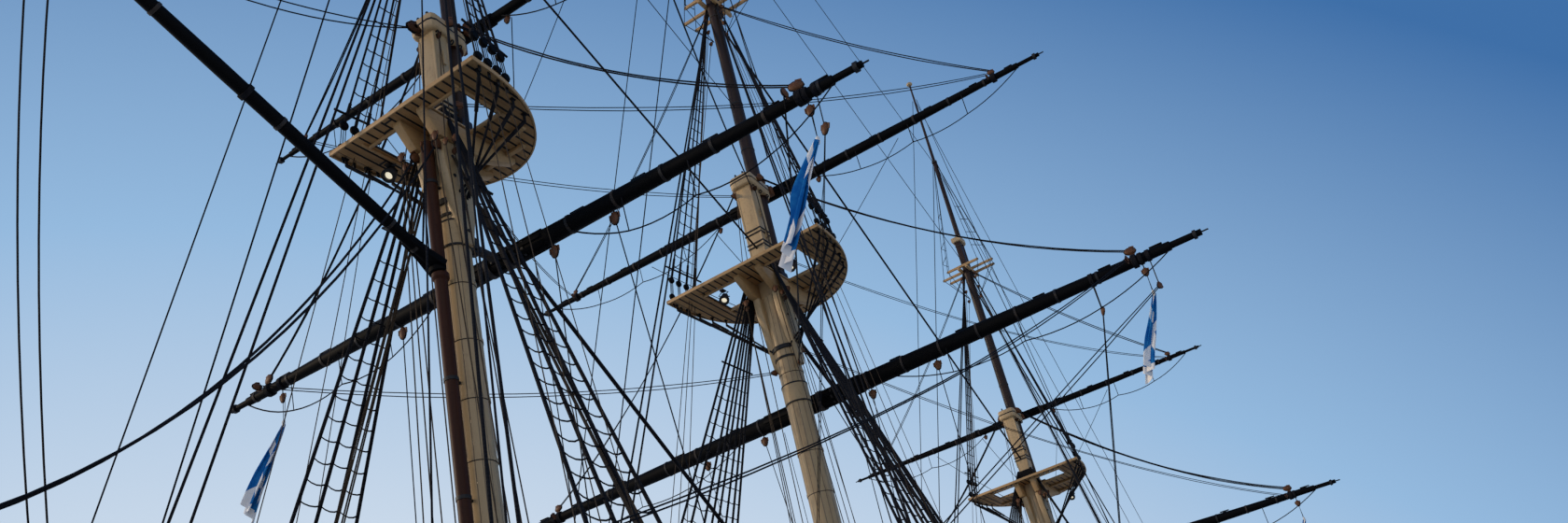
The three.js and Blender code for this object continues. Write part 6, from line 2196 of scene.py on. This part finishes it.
HULL_PAINT = HullPaint("topside_paint")
COPPER = Metal("copper_sheathing", (0.22, 0.080, 0.038), (0.10, 0.075, 0.05), metallic=0.5, rough=0.5, seams=0.42)
DECK_PLANKS = Planks("deck_pine", (0.46, 0.36, 0.24), (0.30, 0.22, 0.14), 0.22, seam=0.022)
INNER_PAINT = Timber("bulwark_paint", (0.42, 0.31, 0.18), (0.24, 0.17, 0.10), (0.6, 6, 6), rough=0.55)
JOINERY = Timber("oiled_joinery", (0.16, 0.062, 0.028), (0.28, 0.13, 0.06), (1.2, 9, 9), rough=0.42, coat=0.15)
GLASS = Pane("window_glass")

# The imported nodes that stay, by their finish
DRESSED: dict[Finish, tuple[str, ...]] = {
    COPPER: ("keel_and_stem", "rudder"),
    DECK_PLANKS: ("upper_deck",),
    BLACK_SPAR: ("dolphin_striker",),
    TAR: ("fore_stay", "main_stay", "mizzen_stay", "fore_topmast_stay", "main_topmast_stay", "mizzen_topmast_stay"),
    JOINERY: ("steering_wheel", "wheel_stand", "capstan", "capstan_base", "main_hatch", "skylight", "binnacle",
              "fore_bitts"),
    IRON: ("anchor_port", "anchor_starboard"),
}


@dataclass
class Hull:
    """The hull: planked sides with wales, ports and channels, bulwarks, stern, galleries and head."""

    stations: int = 64
    levels: tuple[float, ...] = (-4.9, -4.7, -4.45, -4.0, -3.6, -3.0, -2.4, -1.7, -1.1, -0.5, 0.0, 0.5, 1.0, 1.4, 1.7,
                                 2.0, 2.25, 2.65, 3.05, 3.5, 4.0, 4.6, 5.25)
    transom_points: int = 7
    transom_bulge: float = 0.22
    port_pitch: float = 2.55
    port_wide: float = 0.92
    port_high: float = 0.80
    port_level: float = 2.42        # of the ports' middles above the waterline amidships

    def build(self) -> None:
        """Makes the hull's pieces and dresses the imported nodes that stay."""
        self.skin()
        self.trim()
        self.ports()
        self.channels()
        self.stern()
        self.galleries()
        self.head()
        self.deck_gear()
        for finish, names in DRESSED.items():
            for name in names:
                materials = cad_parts[name].data.materials
                materials.clear()
                materials.append(finish.material())

    def outline(self, z: float, out: float = 0.0, up: float = 0.0) -> tuple[list[Vector], list[Vector], list[Vector]]:
        """The hull's outline at a height.

        Args:
            z: its height amidships.
            out: how far outside the planking it runs.
            up: how much higher than the ring it lies.

        Returns:
            The port side from the stern forward, the starboard side alike, and the points across the stern.
        """
        ring = ring_at(z)
        shares = [0.5 - 0.5 * math.cos(math.pi * i / self.stations) for i in range(self.stations + 1)]
        port = [ring.point(s) + UP * up for s in shares]
        moved = []
        for i, point in enumerate(port):
            along = port[min(i + 1, len(port) - 1)] - port[max(i - 1, 0)]
            normal = Vector((-along.y, along.x, 0)).normalized()
            new = point + normal * out
            new.x = max(ring.aft - out, min(ring.fore + max(out, 4 * out), new.x))      # held near the ring's ends
            moved.append(Vector((new.x, max(0.03, new.y), new.z)))
        corner = moved[0]
        across = []
        for i in range(1, self.transom_points + 1):
            share = 1 - 2 * i / (self.transom_points + 1)
            bulge = self.transom_bulge * (1 - share ** 2) * min(1.0, max(0.0, (z - 1.7) / 1.0))
            across.append(Vector((corner.x - bulge, corner.y * share, corner.z)))
        return moved, [Vector((p.x, -p.y, p.z)) for p in moved], across

    def loop(self, part: bmesh.types.BMesh, z: float, out: float = 0.0, up: float = 0.0) -> list[bmesh.types.BMEdge]:
        """A closed outline's edges, added to a part."""
        port, starboard, across = self.outline(z, out, up)
        return ring_edges(part, [part.verts.new(p) for p in (*port, *reversed(starboard), *reversed(across))])

    def skin(self) -> None:
        """The planking from the garboard to the rail, in over the rail and down to the deck."""
        work = Work("hull_planking", HULL_PAINT)
        part = bmesh.new()
        rows = [self.loop(part, z) for z in self.levels]
        rail = self.levels[-1]
        rows += [self.loop(part, rail, -WALL), self.loop(part, 3.9, -WALL - 0.02)]
        bridged(part, rows)
        count = self.stations
        floor = rows[-1]
        port, starboard = floor[:count], floor[count + 1:2 * count + 1]
        bmesh.ops.bridge_loops(part, edges=[*port, *starboard])
        bmesh.ops.holes_fill(part, edges=[e for e in part.edges if e.is_boundary], sides=0)
        bmesh.ops.recalc_face_normals(part, faces=part.faces)
        work.take(part)
        self.lining(work)
        work.done("ship", "hull_paint", ["hull", "bulwark_port", "bulwark_starboard", "taffrail"])

    def lining(self, work: Work) -> None:
        """The bulwarks' inner planking."""
        work.use(INNER_PAINT)
        self.belt(work, [(4.30, -WALL + 0.02), (4.32, -WALL - 0.035), (4.98, -WALL - 0.035), (5.0, -WALL + 0.02)])

    def belt(self, work: Work, profile: Sequence[tuple[float, float]]) -> None:
        """A band right round the ship, from its section's heights and distances outside the planking."""
        part = bmesh.new()
        loops = [self.loop(part, z, out) for z, out in profile]
        bridged(part, [*loops, loops[0]])
        bmesh.ops.recalc_face_normals(part, faces=part.faces)
        work.take(part)

    def trim(self) -> None:
        """Wales, mouldings, the sheer strake and the rail's cap."""
        work = Work("hull_mouldings", HULL_PAINT)
        self.belt(work, [(0.62, -0.03), (0.66, 0.07), (1.26, 0.07), (1.32, -0.03)])
        work.use(BLACK_SPAR)
        for z, out in ((1.80, 0.045), (3.03, 0.045), (4.05, 0.05), (4.72, 0.035)):
            self.belt(work, [(z - 0.045, -0.02), (z - 0.035, out), (z + 0.035, out), (z + 0.045, -0.02)])
        work.use(JOINERY)
        self.belt(work, [(5.16, 0.06), (5.19, 0.085), (5.25, 0.085), (5.27, 0.06), (5.27, -WALL - 0.05),
                         (5.25, -WALL - 0.08), (5.19, -WALL - 0.08), (5.16, -WALL - 0.05)])
        work.done("ship", "hull_paint")

    @staticmethod
    def on_side(x: float, z: float, side: int) -> Matrix:
        """A frame on the planking: X along the side, Y outward, Z up it."""
        here = side_at(x, z, side)
        along = (side_at(x + 0.2, z, side) - here).normalized()
        outward = along.cross(side_at(x, z + 0.3, side) - here).normalized() * -side
        turn = Matrix((along, outward, along.cross(outward) * side)).transposed().to_4x4()
        return Matrix.Translation(here) @ turn

    def ports(self) -> None:
        """Painted false ports: a frame, a black lid with its hinges, and a ring."""
        work = Work("gun_ports", BLACK_SPAR)
        half, tall = self.port_wide / 2, self.port_high / 2
        for side in SIDES.values():
            x = -16.6
            while x < 17.5:
                at = self.on_side(x, self.port_level, side)
                work.use(BLACK_SPAR).block((-half, -0.04, -tall), (half, 0.035, tall), 0.015, at)
                self.surround(work, at, (half, tall), 0.06, (-0.03, 0.05), 0.01, 0.02)
                work.use(IRON)
                for hinge in (-0.26, 0.26):
                    work.block((hinge - 0.03, 0.03, -tall + 0.1), (hinge + 0.03, 0.055, tall + 0.02), 0.008, at)
                work.hoop(0.045, 0.065, -0.01, 0.01, at @ Matrix.Translation((0, 0.05, -0.15)) @ LAID, 8)
                x += self.port_pitch
        work.done("ship", "hull_paint")

    def channels(self) -> None:
        """The planks that spread the lower shrouds, with a capping batten and brackets below."""
        for name, mast in MASTS.items():
            aft, fore, rated = mast.channel
            xs = [aft + (fore - aft) * i / 10 for i in range(11)]
            work = Work(f"{name}_channels", BLACK_SPAR)
            for side in SIDES.values():
                def edge(x: float, out: float) -> tuple[float, float]:
                    """A point of the plank's outline."""
                    return x, side * (side_at(x, 4.0).y + out)

                outer = [edge(x, 0.40 if x in (xs[0], xs[-1]) else 0.50) for x in xs]
                inner = [edge(x, -0.10) for x in reversed(xs)]
                work.use(BLACK_SPAR).plate([*outer, *inner], rated - 0.385, rated - 0.255, 0.02)
                batten = [edge(x, 0.56) for x in xs[1:-1]] + [edge(x, 0.49) for x in reversed(xs[1:-1])]
                work.plate(batten, rated - 0.40, rated - 0.24, 0.015)
                work.use(IRON)
                for x in xs[1::2]:
                    work.rod([side_at(x, rated - 1.15, side), Vector((*edge(x, 0.42), rated - 0.39))], 0.03)
            work.done("ship", "hull_paint")

    def transom_frame(self, y: float, z: float) -> Matrix:
        """A frame on the stern: X to port, Y aft, Z up its slope."""
        low, high = ring_at(z - 0.2), ring_at(z + 0.2)
        corner = ring_at(z)
        share = y / corner.stern
        x = corner.aft - self.transom_bulge * (1 - share ** 2)
        height = z + corner.sheer * deck_rise(corner.aft)
        lean = math.atan2(low.aft - high.aft, 0.4)
        turn = Matrix(((0, 1, 0), (-1, 0, 0), (0, 0, 1))).transposed().to_4x4()
        return Matrix.Translation((x, y, height)) @ Matrix.Rotation(-lean, 4, "Y") @ turn

    @staticmethod
    def surround(work: Work, at: Matrix, half: tuple[float, float], wide: float, deep: tuple[float, float],
                 bevel: float, hood: float = 0.0) -> None:
        """A cream frame of four blocks round an opening.

        Args:
            work: the piece.
            at: the opening's middle, with X across it and Z up it.
            half: half its width and half its height.
            wide: the frame's width at the sides.
            deep: the least and the greatest Y of the frame.
            bevel: how far its edges are rounded.
            hood: how much further its upper part stands out.
        """
        x, z = half
        low, high = deep
        work.use(CREAM).block((-x - wide, low, z), (x + wide, high + hood, z + 0.07), bevel, at)
        work.block((-x - wide, low, -z - 0.07), (x + wide, high, -z), bevel, at)
        work.block((-x - wide, low, -z), (-x, high, z), bevel, at)
        work.block((x, low, -z), (x + wide, high, z), bevel, at)

    def window(self, work: Work, at: Matrix, wide: float, high: float, bars: tuple[int, int]) -> None:
        """A glazed window: a frame standing proud, glass and glazing bars. The frame's Y is outward or inward.

        Args:
            work: the piece.
            at: the window's middle, with X across it and Z up it.
            wide: the opening's width.
            high: the opening's height.
            bars: how many panes it has across and up.
        """
        half, tall = wide / 2, high / 2
        work.use(GLASS).block((-half, -0.045, -tall), (half, 0.045, tall), 0, at)
        self.surround(work, at, (half, tall), 0.07, (-0.08, 0.08), 0.012)
        for i in range(1, bars[0]):
            x = -half + wide * i / bars[0]
            work.block((x - 0.014, -0.06, -tall), (x + 0.014, 0.06, tall), 0, at)
        for i in range(1, bars[1]):
            z = -tall + high * i / bars[1]
            work.block((-half, -0.06, z - 0.014), (half, 0.06, z + 0.014), 0, at)

    def stern(self) -> None:
        """Five stern windows between pilasters, with a moulded sill, a cornice and a carved arch of scrolls."""
        work = Work("stern_windows", CREAM)
        level = 3.50
        for y in (-2.5, -1.25, 0.0, 1.25, 2.5):
            self.window(work, self.transom_frame(y, level), 0.74, 0.70, (3, 3))
        for y in (-3.12, -1.875, -0.625, 0.625, 1.875, 3.12):
            at = self.transom_frame(y, level)
            work.use(CREAM).block((-0.09, -0.09, -0.55), (0.09, 0.09, 0.55), 0.03, at)
            for z in (0.52, -0.52):
                work.block((-0.13, -0.11, z - 0.04), (0.13, 0.11, z + 0.04), 0.02, at)
        for z in (2.86, 4.14, 4.86):
            work.rod([self.transom_frame(-3.3 + 6.6 * i / 16, z).translation for i in range(17)], 0.055, fine=True)
        scrolls = []
        for side in SIDES.values():
            for i in range(4):
                centre = self.transom_frame(side * (0.55 + 0.75 * i), 4.5)
                turns = [(0.045 + 0.016 * k, k * 0.7) for k in range(14)]
                scrolls.append(([centre @ Vector((side * r * math.cos(a), 0.0, r * math.sin(a))) for r, a in turns],
                                0.028))
        work.lines(scrolls)
        star = self.transom_frame(0.0, 4.5)
        work.turned([(-0.10, 0.22), (0.10, 0.22), (0.13, 0.15), (0.14, 0.05)],
                    star @ Matrix.Rotation(-math.pi / 2, 4, "X"), 20)
        work.done("ship", "hull_paint")

    def galleries(self) -> None:
        """A quarter gallery on each side: three windows between a tapered foot and a moulded roof."""
        swell = ((-22.1, 0.0), (-21.6, 0.32), (-20.9, 0.42), (-20.1, 0.42), (-19.4, 0.32), (-18.9, 0.0))
        tiers = ((2.55, 2.95, 0.5, HULL_PAINT), (2.95, 3.15, 0.85, CREAM), (3.15, 3.95, 1.0, HULL_PAINT),
                 (3.95, 4.1, 1.15, CREAM), (4.1, 4.35, 0.7, HULL_PAINT))
        rise = deck_rise(-20.5)
        for name, side in SIDES.items():
            work = Work(f"quarter_gallery_{name}", HULL_PAINT)

            def out(x: float, more: float) -> float:
                """The y of a point that stands outside the ship's side."""
                return side * (side_at(x, 3.5).y + more)

            for low, high, share, finish in tiers:
                rim = [(x, out(x, more * share + 0.03)) for x, more in swell]
                rim += [(x, out(x, -0.5)) for x, _ in reversed(swell)]
                work.use(finish).plate(rim, low + rise, high + rise, 0.02)
            corners = [Vector((x, out(x, more + 0.03), 3.55 + rise)) for x, more in swell[1:-1]]
            for aft, fore in zip(corners, corners[1:]):
                along = (fore - aft).normalized()
                turn = Matrix((along, UP.cross(along), UP)).transposed().to_4x4()
                self.window(work, Matrix.Translation((aft + fore) / 2) @ turn, 0.46, 0.56, (2, 3))
            work.done("ship", "hull_paint")

    def head(self) -> None:
        """Head rails with their timbers, hawse holes, the billet under the bowsprit and the catheads' gear."""
        work = Work("head_timbers", BLACK_SPAR)
        for side in SIDES.values():
            for level, foot_z, radius in ((4.85, 5.35, 0.075), (4.15, 4.75, 0.075), (3.5, 4.1, 0.06)):
                start = side_at(24.3, level, side)
                end = Vector((28.75 - (4.85 - level) * 0.75, side * 0.14, foot_z + 0.25))
                path = [start.lerp(end, i / 12) - UP * (1.5 * (i / 12) * (1 - i / 12)) for i in range(13)]
                work.use(CREAM if level > 4 else BLACK_SPAR).rod(path, radius, fine=True)
            work.use(BLACK_SPAR)
            for share in (0.3, 0.55, 0.78):
                upper = side_at(24.3, 4.85, side).lerp(Vector((28.75, side * 0.14, 5.6)), share)
                upper -= UP * (1.5 * share * (1 - share))
                lower = Vector((upper.x - 0.25, side * 0.12, 3.0 + 2.0 * share))
                work.rod([upper, upper.lerp(lower, 0.5) + Vector((0, side * 0.12, 0)), lower], 0.06, fine=True)
            hawse = self.on_side(23.4, 3.35, side)
            work.use(IRON)
            for shift in (-0.3, 0.35):
                hole = hawse @ Matrix.Translation((shift, 0, 0)) @ Matrix.Rotation(-math.pi / 2, 4, "X")
                work.hoop(0.15, 0.24, -0.04, 0.05, hole, 20)
        billet = [(-0.16, 0.02), (-0.1, 0.16), (0.1, 0.16), (0.16, 0.02)]
        work.use(CREAM).turned(billet, Matrix.Translation((29.2, 0, 5.75)) @ LAID, 20)
        self.catheads(work)
        work.done("ship", "hull_paint")

    def catheads(self, work: Work) -> None:
        """Each cathead's end cap and the falls of its anchor's tackle."""
        for side in SIDES.values():
            tip = Vector((23.98, side * 4.24, side_at(23.9, 5.25).z + 0.18))
            work.use(CREAM).turned([(-0.02, 0.20), (0.02, 0.22), (0.05, 0.16), (0.06, 0.05)],
                                   aimed(tip, tip + Vector((0.74, side * 0.67, 0))), 16)
            hook = tip + Vector((-0.2, -side * 0.25, -0.5))
            work.use(HEMP).lines([([tip + Vector((-0.1, -side * 0.1 + shift, -0.15)), hook], 0.02)
                                  for shift in (-0.06, 0, 0.06)])

    def deck_gear(self) -> None:
        """The main hatch's grating with its coaming, and the belaying pins along the bulwarks."""
        work = Work("deck_details", JOINERY)
        hatch = Matrix.Translation(on_deck(7.8, up=0.34))
        for i in range(25):
            x = -1.44 + 0.12 * i
            work.block((x - 0.025, -1.1, 0.0), (x + 0.025, 1.1, 0.05), 0, hatch)
        for i in range(18):
            y = -1.02 + 0.12 * i
            work.block((-1.5, y - 0.025, 0.01), (1.5, y + 0.025, 0.06), 0, hatch)
        for y in (-1.21, 1.21):
            work.block((-1.65, y - 0.09, -0.02), (1.65, y + 0.09, 0.09), 0.015, hatch)
        for x in (-1.575, 1.575):
            work.block((x - 0.075, -1.12, -0.02), (x + 0.075, 1.12, 0.09), 0.015, hatch)
        work.use(BLOCK_WOOD).stamp(STOCK.pin, [Matrix.Translation(p) @ Matrix.Scale(0.40, 4)
                                               for p in self.pin_spots()])
        work.done("ship", "deck_joinery")

    @staticmethod
    def pin_spots() -> list[Vector]:
        """Where belaying pins stand inside the bulwarks, abreast of each mast."""
        spots = []
        for mast in MASTS.values():
            aft, fore, _ = mast.channel
            for side in SIDES.values():
                count = int((fore - aft) / 0.42)
                for i in range(count):
                    x = aft + (fore - aft) * (i + 0.5) / count
                    spot = side_at(x, 4.9, side)
                    spots.append(Vector((x, spot.y - side * (WALL + 0.14), spot.z - 0.02)))
        return spots


# Flags, lamps and the studio


@dataclass
class Flag:
    """A signal flag, bunched in folds under a lower yard, with its block and halyard."""

    name: str
    yard: Yard
    port: float
    head: float = 1.0               # how far its head hangs below the yard's axis
    drop: float = 1.9
    drift: float = 1.1              # how far the wind carries its foot to port
    wide: float = 1.25              # the cut of the cloth
    long: float = 2.2
    folds: float = 2.1
    spread: tuple[float, float] = (0.02, 0.15)      # half its bunched width at the head and at the foot
    across: int = 72
    down: int = 44

    def build(self) -> None:
        """Makes the cloth and its halyard."""
        mast = self.yard.mast
        rise = self.port * math.sin(math.radians(self.yard.rise))
        sling = Vector((mast.x - self.yard.height * math.sin(math.radians(mast.rake)) + self.yard.ahead, self.port,
                        self.yard.height + rise))
        top = sling - UP * self.head
        halyard = self.halyard(sling, top)
        self.cloth(top, halyard)

    def halyard(self, sling: Vector, top: Vector) -> bpy.types.Object:
        """The block under the yard and the line that the flag hangs on.

        Args:
            sling: the yard's axis above the flag.
            top: the flag's head.

        Returns:
            The piece.
        """
        work = Work(f"{self.name}_halyard", TAR)
        radius = self.yard.thick(self.port)
        work.band(radius, 0.03, self.port - 0.05, self.port + 0.05, self.yard.frame, 14, 0.004)
        block = sling - UP * (radius + 0.24)
        work.lines([([sling - UP * radius, block], 0.014), ([block, top + UP * 0.03], 0.008),
                    ([block + Vector((0.05, 0, -0.05)), top + Vector((0.05, 0.02, 0.06))], 0.008)])
        tackle_block(work, block, block - UP, 0.24)
        work.use(LINEN).turned([(-0.10, 0.012), (-0.05, 0.035), (0.03, 0.04), (0.07, 0.012)],
                               Matrix.Translation(top + UP * 0.02), 8)
        return work.done(self.yard.name, "tarred_rope")

    def cloth(self, top: Vector, halyard: bpy.types.Object) -> None:
        """The cloth: a flat cut whose width is taken up in folds that open towards its foot."""
        fall = Vector((0, self.drift, -self.drop)).normalized()
        ahead = Vector((1, 0, 0))
        outward = fall.cross(ahead)
        part = bmesh.new()
        layer = part.loops.layers.uv.new("cloth")
        bmesh.ops.create_grid(part, x_segments=self.across, y_segments=self.down, size=0.5)
        for face in part.faces:
            for loop in face.loops:
                loop[layer].uv = (loop.vert.co.x + 0.5, loop.vert.co.y + 0.5)
        phase = (0.4 if self.port > 0 else 2.1) + self.yard.mast.x * 0.31
        depths: dict[float, float] = {}
        for vert in part.verts:
            u, v = vert.co.x + 0.5, vert.co.y + 0.5
            key = round(v, 4)
            if key not in depths:
                depths[key] = self.fold_depth(v, phase)
            x, y = self.folded(u, v, depths[key], phase)
            hang = self.long * v * 0.97 + 0.45 * v * v * (u - 0.5)
            vert.co = top + fall * hang + ahead * x + outward * y
        bmesh.ops.recalc_face_normals(part, faces=part.faces)
        work = Work(f"{self.name}_cloth", BUNTING)
        work.mesh.free()
        work.mesh = part
        piece = work.done(self.yard.name, "flag_cloth", [self.name], sharp=80)
        thick = piece.modifiers.new("thickness", "SOLIDIFY")
        thick.thickness = 0.0016
        thick.offset = 0
        self.wide * MODEL
        self.long * MODEL

    def folded(self, u: float, v: float, depth: float, phase: float) -> tuple[float, float]:
        """A point of the folded cloth in the plane square to its fall.

        Args:
            u: how far across the cut, from 0 to 1.
            v: how far down it, from 0 to 1.
            depth: the folds' depth at v.
            phase: where the folds start.

        Returns:
            Its places ahead and outward.
        """
        spread = self.spread[0] + (self.spread[1] - self.spread[0]) * v ** 0.8
        turn = math.tau * self.folds * (u + 0.035 * math.sin(5 * u + 3 * v + phase)) + phase + 2.4 * v
        swing = 0.72 + 0.28 * math.sin(7 * u + 2.2 * phase + v)
        x = spread * (2 * u - 1) + 0.22 * depth * math.sin(2 * turn)
        return x + 0.03 * math.sin(3 * v + phase), depth * swing * math.sin(turn) + 0.05 * math.sin(4 * v + phase) * v

    def fold_depth(self, v: float, phase: float) -> float:
        """How deep the folds are at v, so that the row's length is the width of the cut."""
        low, high = 0.0, 0.4
        for _ in range(18):
            depth = (low + high) / 2
            row = [self.folded(i / self.across, v, depth, phase) for i in range(self.across + 1)]
            length = sum(math.dist(a, b) for a, b in zip(row, row[1:]))
            low, high = (depth, high) if length < self.wide * min(1.0, 0.3 + 1.2 * v) else (low, depth)
        return low


@dataclass
class Lamps:
    """Floodlamps under the tops, aimed down at the deck."""

    places: tuple[tuple[str, tuple[float, float, float]], ...] = (
        ("mizzen_lamp_port", (-13.62, 1.40, 17.42)), ("main_lamp_port", (-1.39, 1.10, 19.02)),
        ("main_lamp_starboard", (-1.36, -1.23, 19.02)), ("fore_lamp_starboard", (21.48, -0.93, 17.02)),
    )

    def build(self) -> None:
        """Makes each lamp with its bracket and lens."""
        for name, place in self.places:
            work = Work(name, IRON)
            top = MASTS[name.split("_")[0]].top
            spot = Vector(place)
            aim = aimed(spot, spot + Vector((-0.75, -0.18 * math.copysign(1, place[1]), -1.0)))
            work.turned([(-0.22, 0.06), (-0.18, 0.1), (-0.03, 0.12), (0.05, 0.145), (0.07, 0.145)], aim, 18)
            work.hoop(0.085, 0.15, 0.05, 0.13, aim, 18)
            work.use(LAMP_GLASS).turned([(0.055, 0.09), (0.072, 0.08), (0.08, 0.05)], aim, 18)
            work.use(IRON)
            for side in SIDES.values():
                work.rod([aim @ Vector((side * 0.16, 0, -0.05)), spot + Vector((0, side * 0.17, 0.16)),
                          Vector((spot.x, spot.y, top - 0.12))], 0.018)
            work.block((spot.x - 0.09, spot.y - 0.07, top - 0.14), (spot.x + 0.09, spot.y + 0.07, top - 0.10), 0.01)
            work.done("ship", "iron")


class Backdrop(Shader):
    """The even backdrop that stands for the sky: paler low down, bluer above."""

    def __init__(self) -> None:
        """Starts on the nodes of a new world."""
        self.world = bpy.data.worlds.new("studio")
        self.world.use_nodes = True
        self.tree = self.world.node_tree
        self.surface = self.tree.nodes["Background"]

    def made(self, low: Colour, middle: Colour, high: Colour) -> bpy.types.World:
        """The world, from its colours at the foot, in the middle and at the head of the backdrop."""
        ahead, port, rise = self.axes(self.node("ShaderNodeTexCoord", {}, {}, "Generated"))
        # About 0 at the foot of the main view and 1 at its head; the second share keeps every horizon pale
        depth = (rise * 0.854 - ahead * 0.838 - port * 1.114 + 1.156).math("MINIMUM", rise * 1.75 + 0.26)
        colour = self.mix(depth * 2 - 1, self.mix(depth * 2, low, middle), high)
        self.fill(self.surface, {"Color": colour, "Strength": 1.0})
        return self.world


@dataclass
class Studio:
    """A pale floor at the waterline, soft light and the camera at the photograph's place, in the ship's metres."""

    eye: tuple[float, float, float] = (-28.356, -13.787, 1.348)
    yaw: float = 26.818             # from ahead towards port
    pitch: float = 25.176
    roll: float = -12.683
    lens: float = 27.97
    shift: float = 0.0805
    floor_radius: float = 1200.0
    low_sky: Colour = (0.74, 0.80, 0.87)
    middle_sky: Colour = (0.30, 0.49, 0.73)
    high_sky: Colour = (0.05, 0.16, 0.39)
    suns: tuple[tuple[str, float, float, float, Colour, float], ...] = (
        # name, azimuth, height, strength, colour, angle
        ("key", 118, 16, 1.9, (1.0, 0.80, 0.55), 6), ("fill", 222, 10, 0.7, (1.0, 0.80, 0.52), 80),
    )

    def build(self) -> None:
        """Makes the floor, the lights and the camera."""
        self.floor()
        self.lights()
        self.camera()

    def floor(self) -> None:
        """A plain pale floor, round."""
        mesh = bmesh.new()
        bmesh.ops.create_circle(mesh, cap_ends=True, segments=128, radius=self.floor_radius * MODEL)
        data = bpy.data.meshes.new("floor")
        mesh.to_mesh(data)
        mesh.free()
        shader = Shader("pale_floor")
        clouds = shader.noise(shader.place(), 0.05, 2, 0.4)
        data.materials.append(shader.done(Base_Color=shader.mix(clouds, (0.78, 0.73, 0.66), (0.84, 0.79, 0.72)),
                                          Roughness=0.9))
        floor = bpy.data.objects.new("floor", data)
        bpy.context.scene.collection.objects.link(floor)

    def lights(self) -> None:
        """A warm low key from abaft the port beam, a broad warm fill, and the backdrop."""
        bpy.context.scene.world = Backdrop().made(self.low_sky, self.middle_sky, self.high_sky)
        bpy.context.scene.view_settings.view_transform = "Standard"
        for name, azimuth, height, strength, colour, wide in self.suns:
            light = bpy.data.lights.new(name, "SUN")
            light.energy = strength
            light.color = colour
            light.angle = math.radians(wide)
            sun = bpy.data.objects.new(name, light)
            around, up = math.radians(azimuth), math.radians(height)
            toward = Vector((math.cos(around) * math.cos(up), math.sin(around) * math.cos(up), math.sin(up)))
            sun.rotation_euler = toward.to_track_quat("Z", "Y").to_euler()
            bpy.context.scene.collection.objects.link(sun)

    def camera(self) -> None:
        """The camera as the photograph was taken."""
        yaw, pitch, roll = (math.radians(a) for a in (self.yaw, self.pitch, self.roll))
        ahead = Vector((math.cos(pitch) * math.cos(yaw), math.cos(pitch) * math.sin(yaw), math.sin(pitch)))
        level = Vector((math.sin(yaw), -math.cos(yaw), 0))
        above = level.cross(ahead)
        right = level * math.cos(roll) + above * math.sin(roll)
        up = above * math.cos(roll) - level * math.sin(roll)
        data = bpy.data.cameras.new("camera")
        data.sensor_width = 36.0
        data.lens = self.lens
        data.shift_y = self.shift
        data.clip_end = 2000.0
        camera = bpy.data.objects.new("camera", data)
        turn = Matrix((right, up, -ahead)).transposed().to_4x4()
        camera.matrix_world = Matrix.Translation(Vector(self.eye) * MODEL) @ turn
        bpy.context.scene.collection.objects.link(camera)
        bpy.context.scene.camera = camera


def main() -> None:
    """Builds the ship's looks from the deck up, then the studio round her."""
    logging.basicConfig(level=logging.INFO, format="%(message)s")
    Studio().build()
    Hull().build()
    for mast in MASTS.values():
        rig = MastRig(mast)
        rig.build()
        Shrouds(rig).build()
    for yard in YARDS:
        YardRig(yard).build()
        for port, drift, foot in yard.flags:
            side = Side(math.copysign(1, port)).name.lower()
            Flag(f"flag_{yard.mast.name}_{side}", yard, port, drift=drift, spread=(0.02, foot)).build()
    Spanker().build()
    Head().build()
    Stays().build()
    RunningGear().build()
    Lamps().build()
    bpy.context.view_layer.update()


if __name__ == "__main__":
    main()
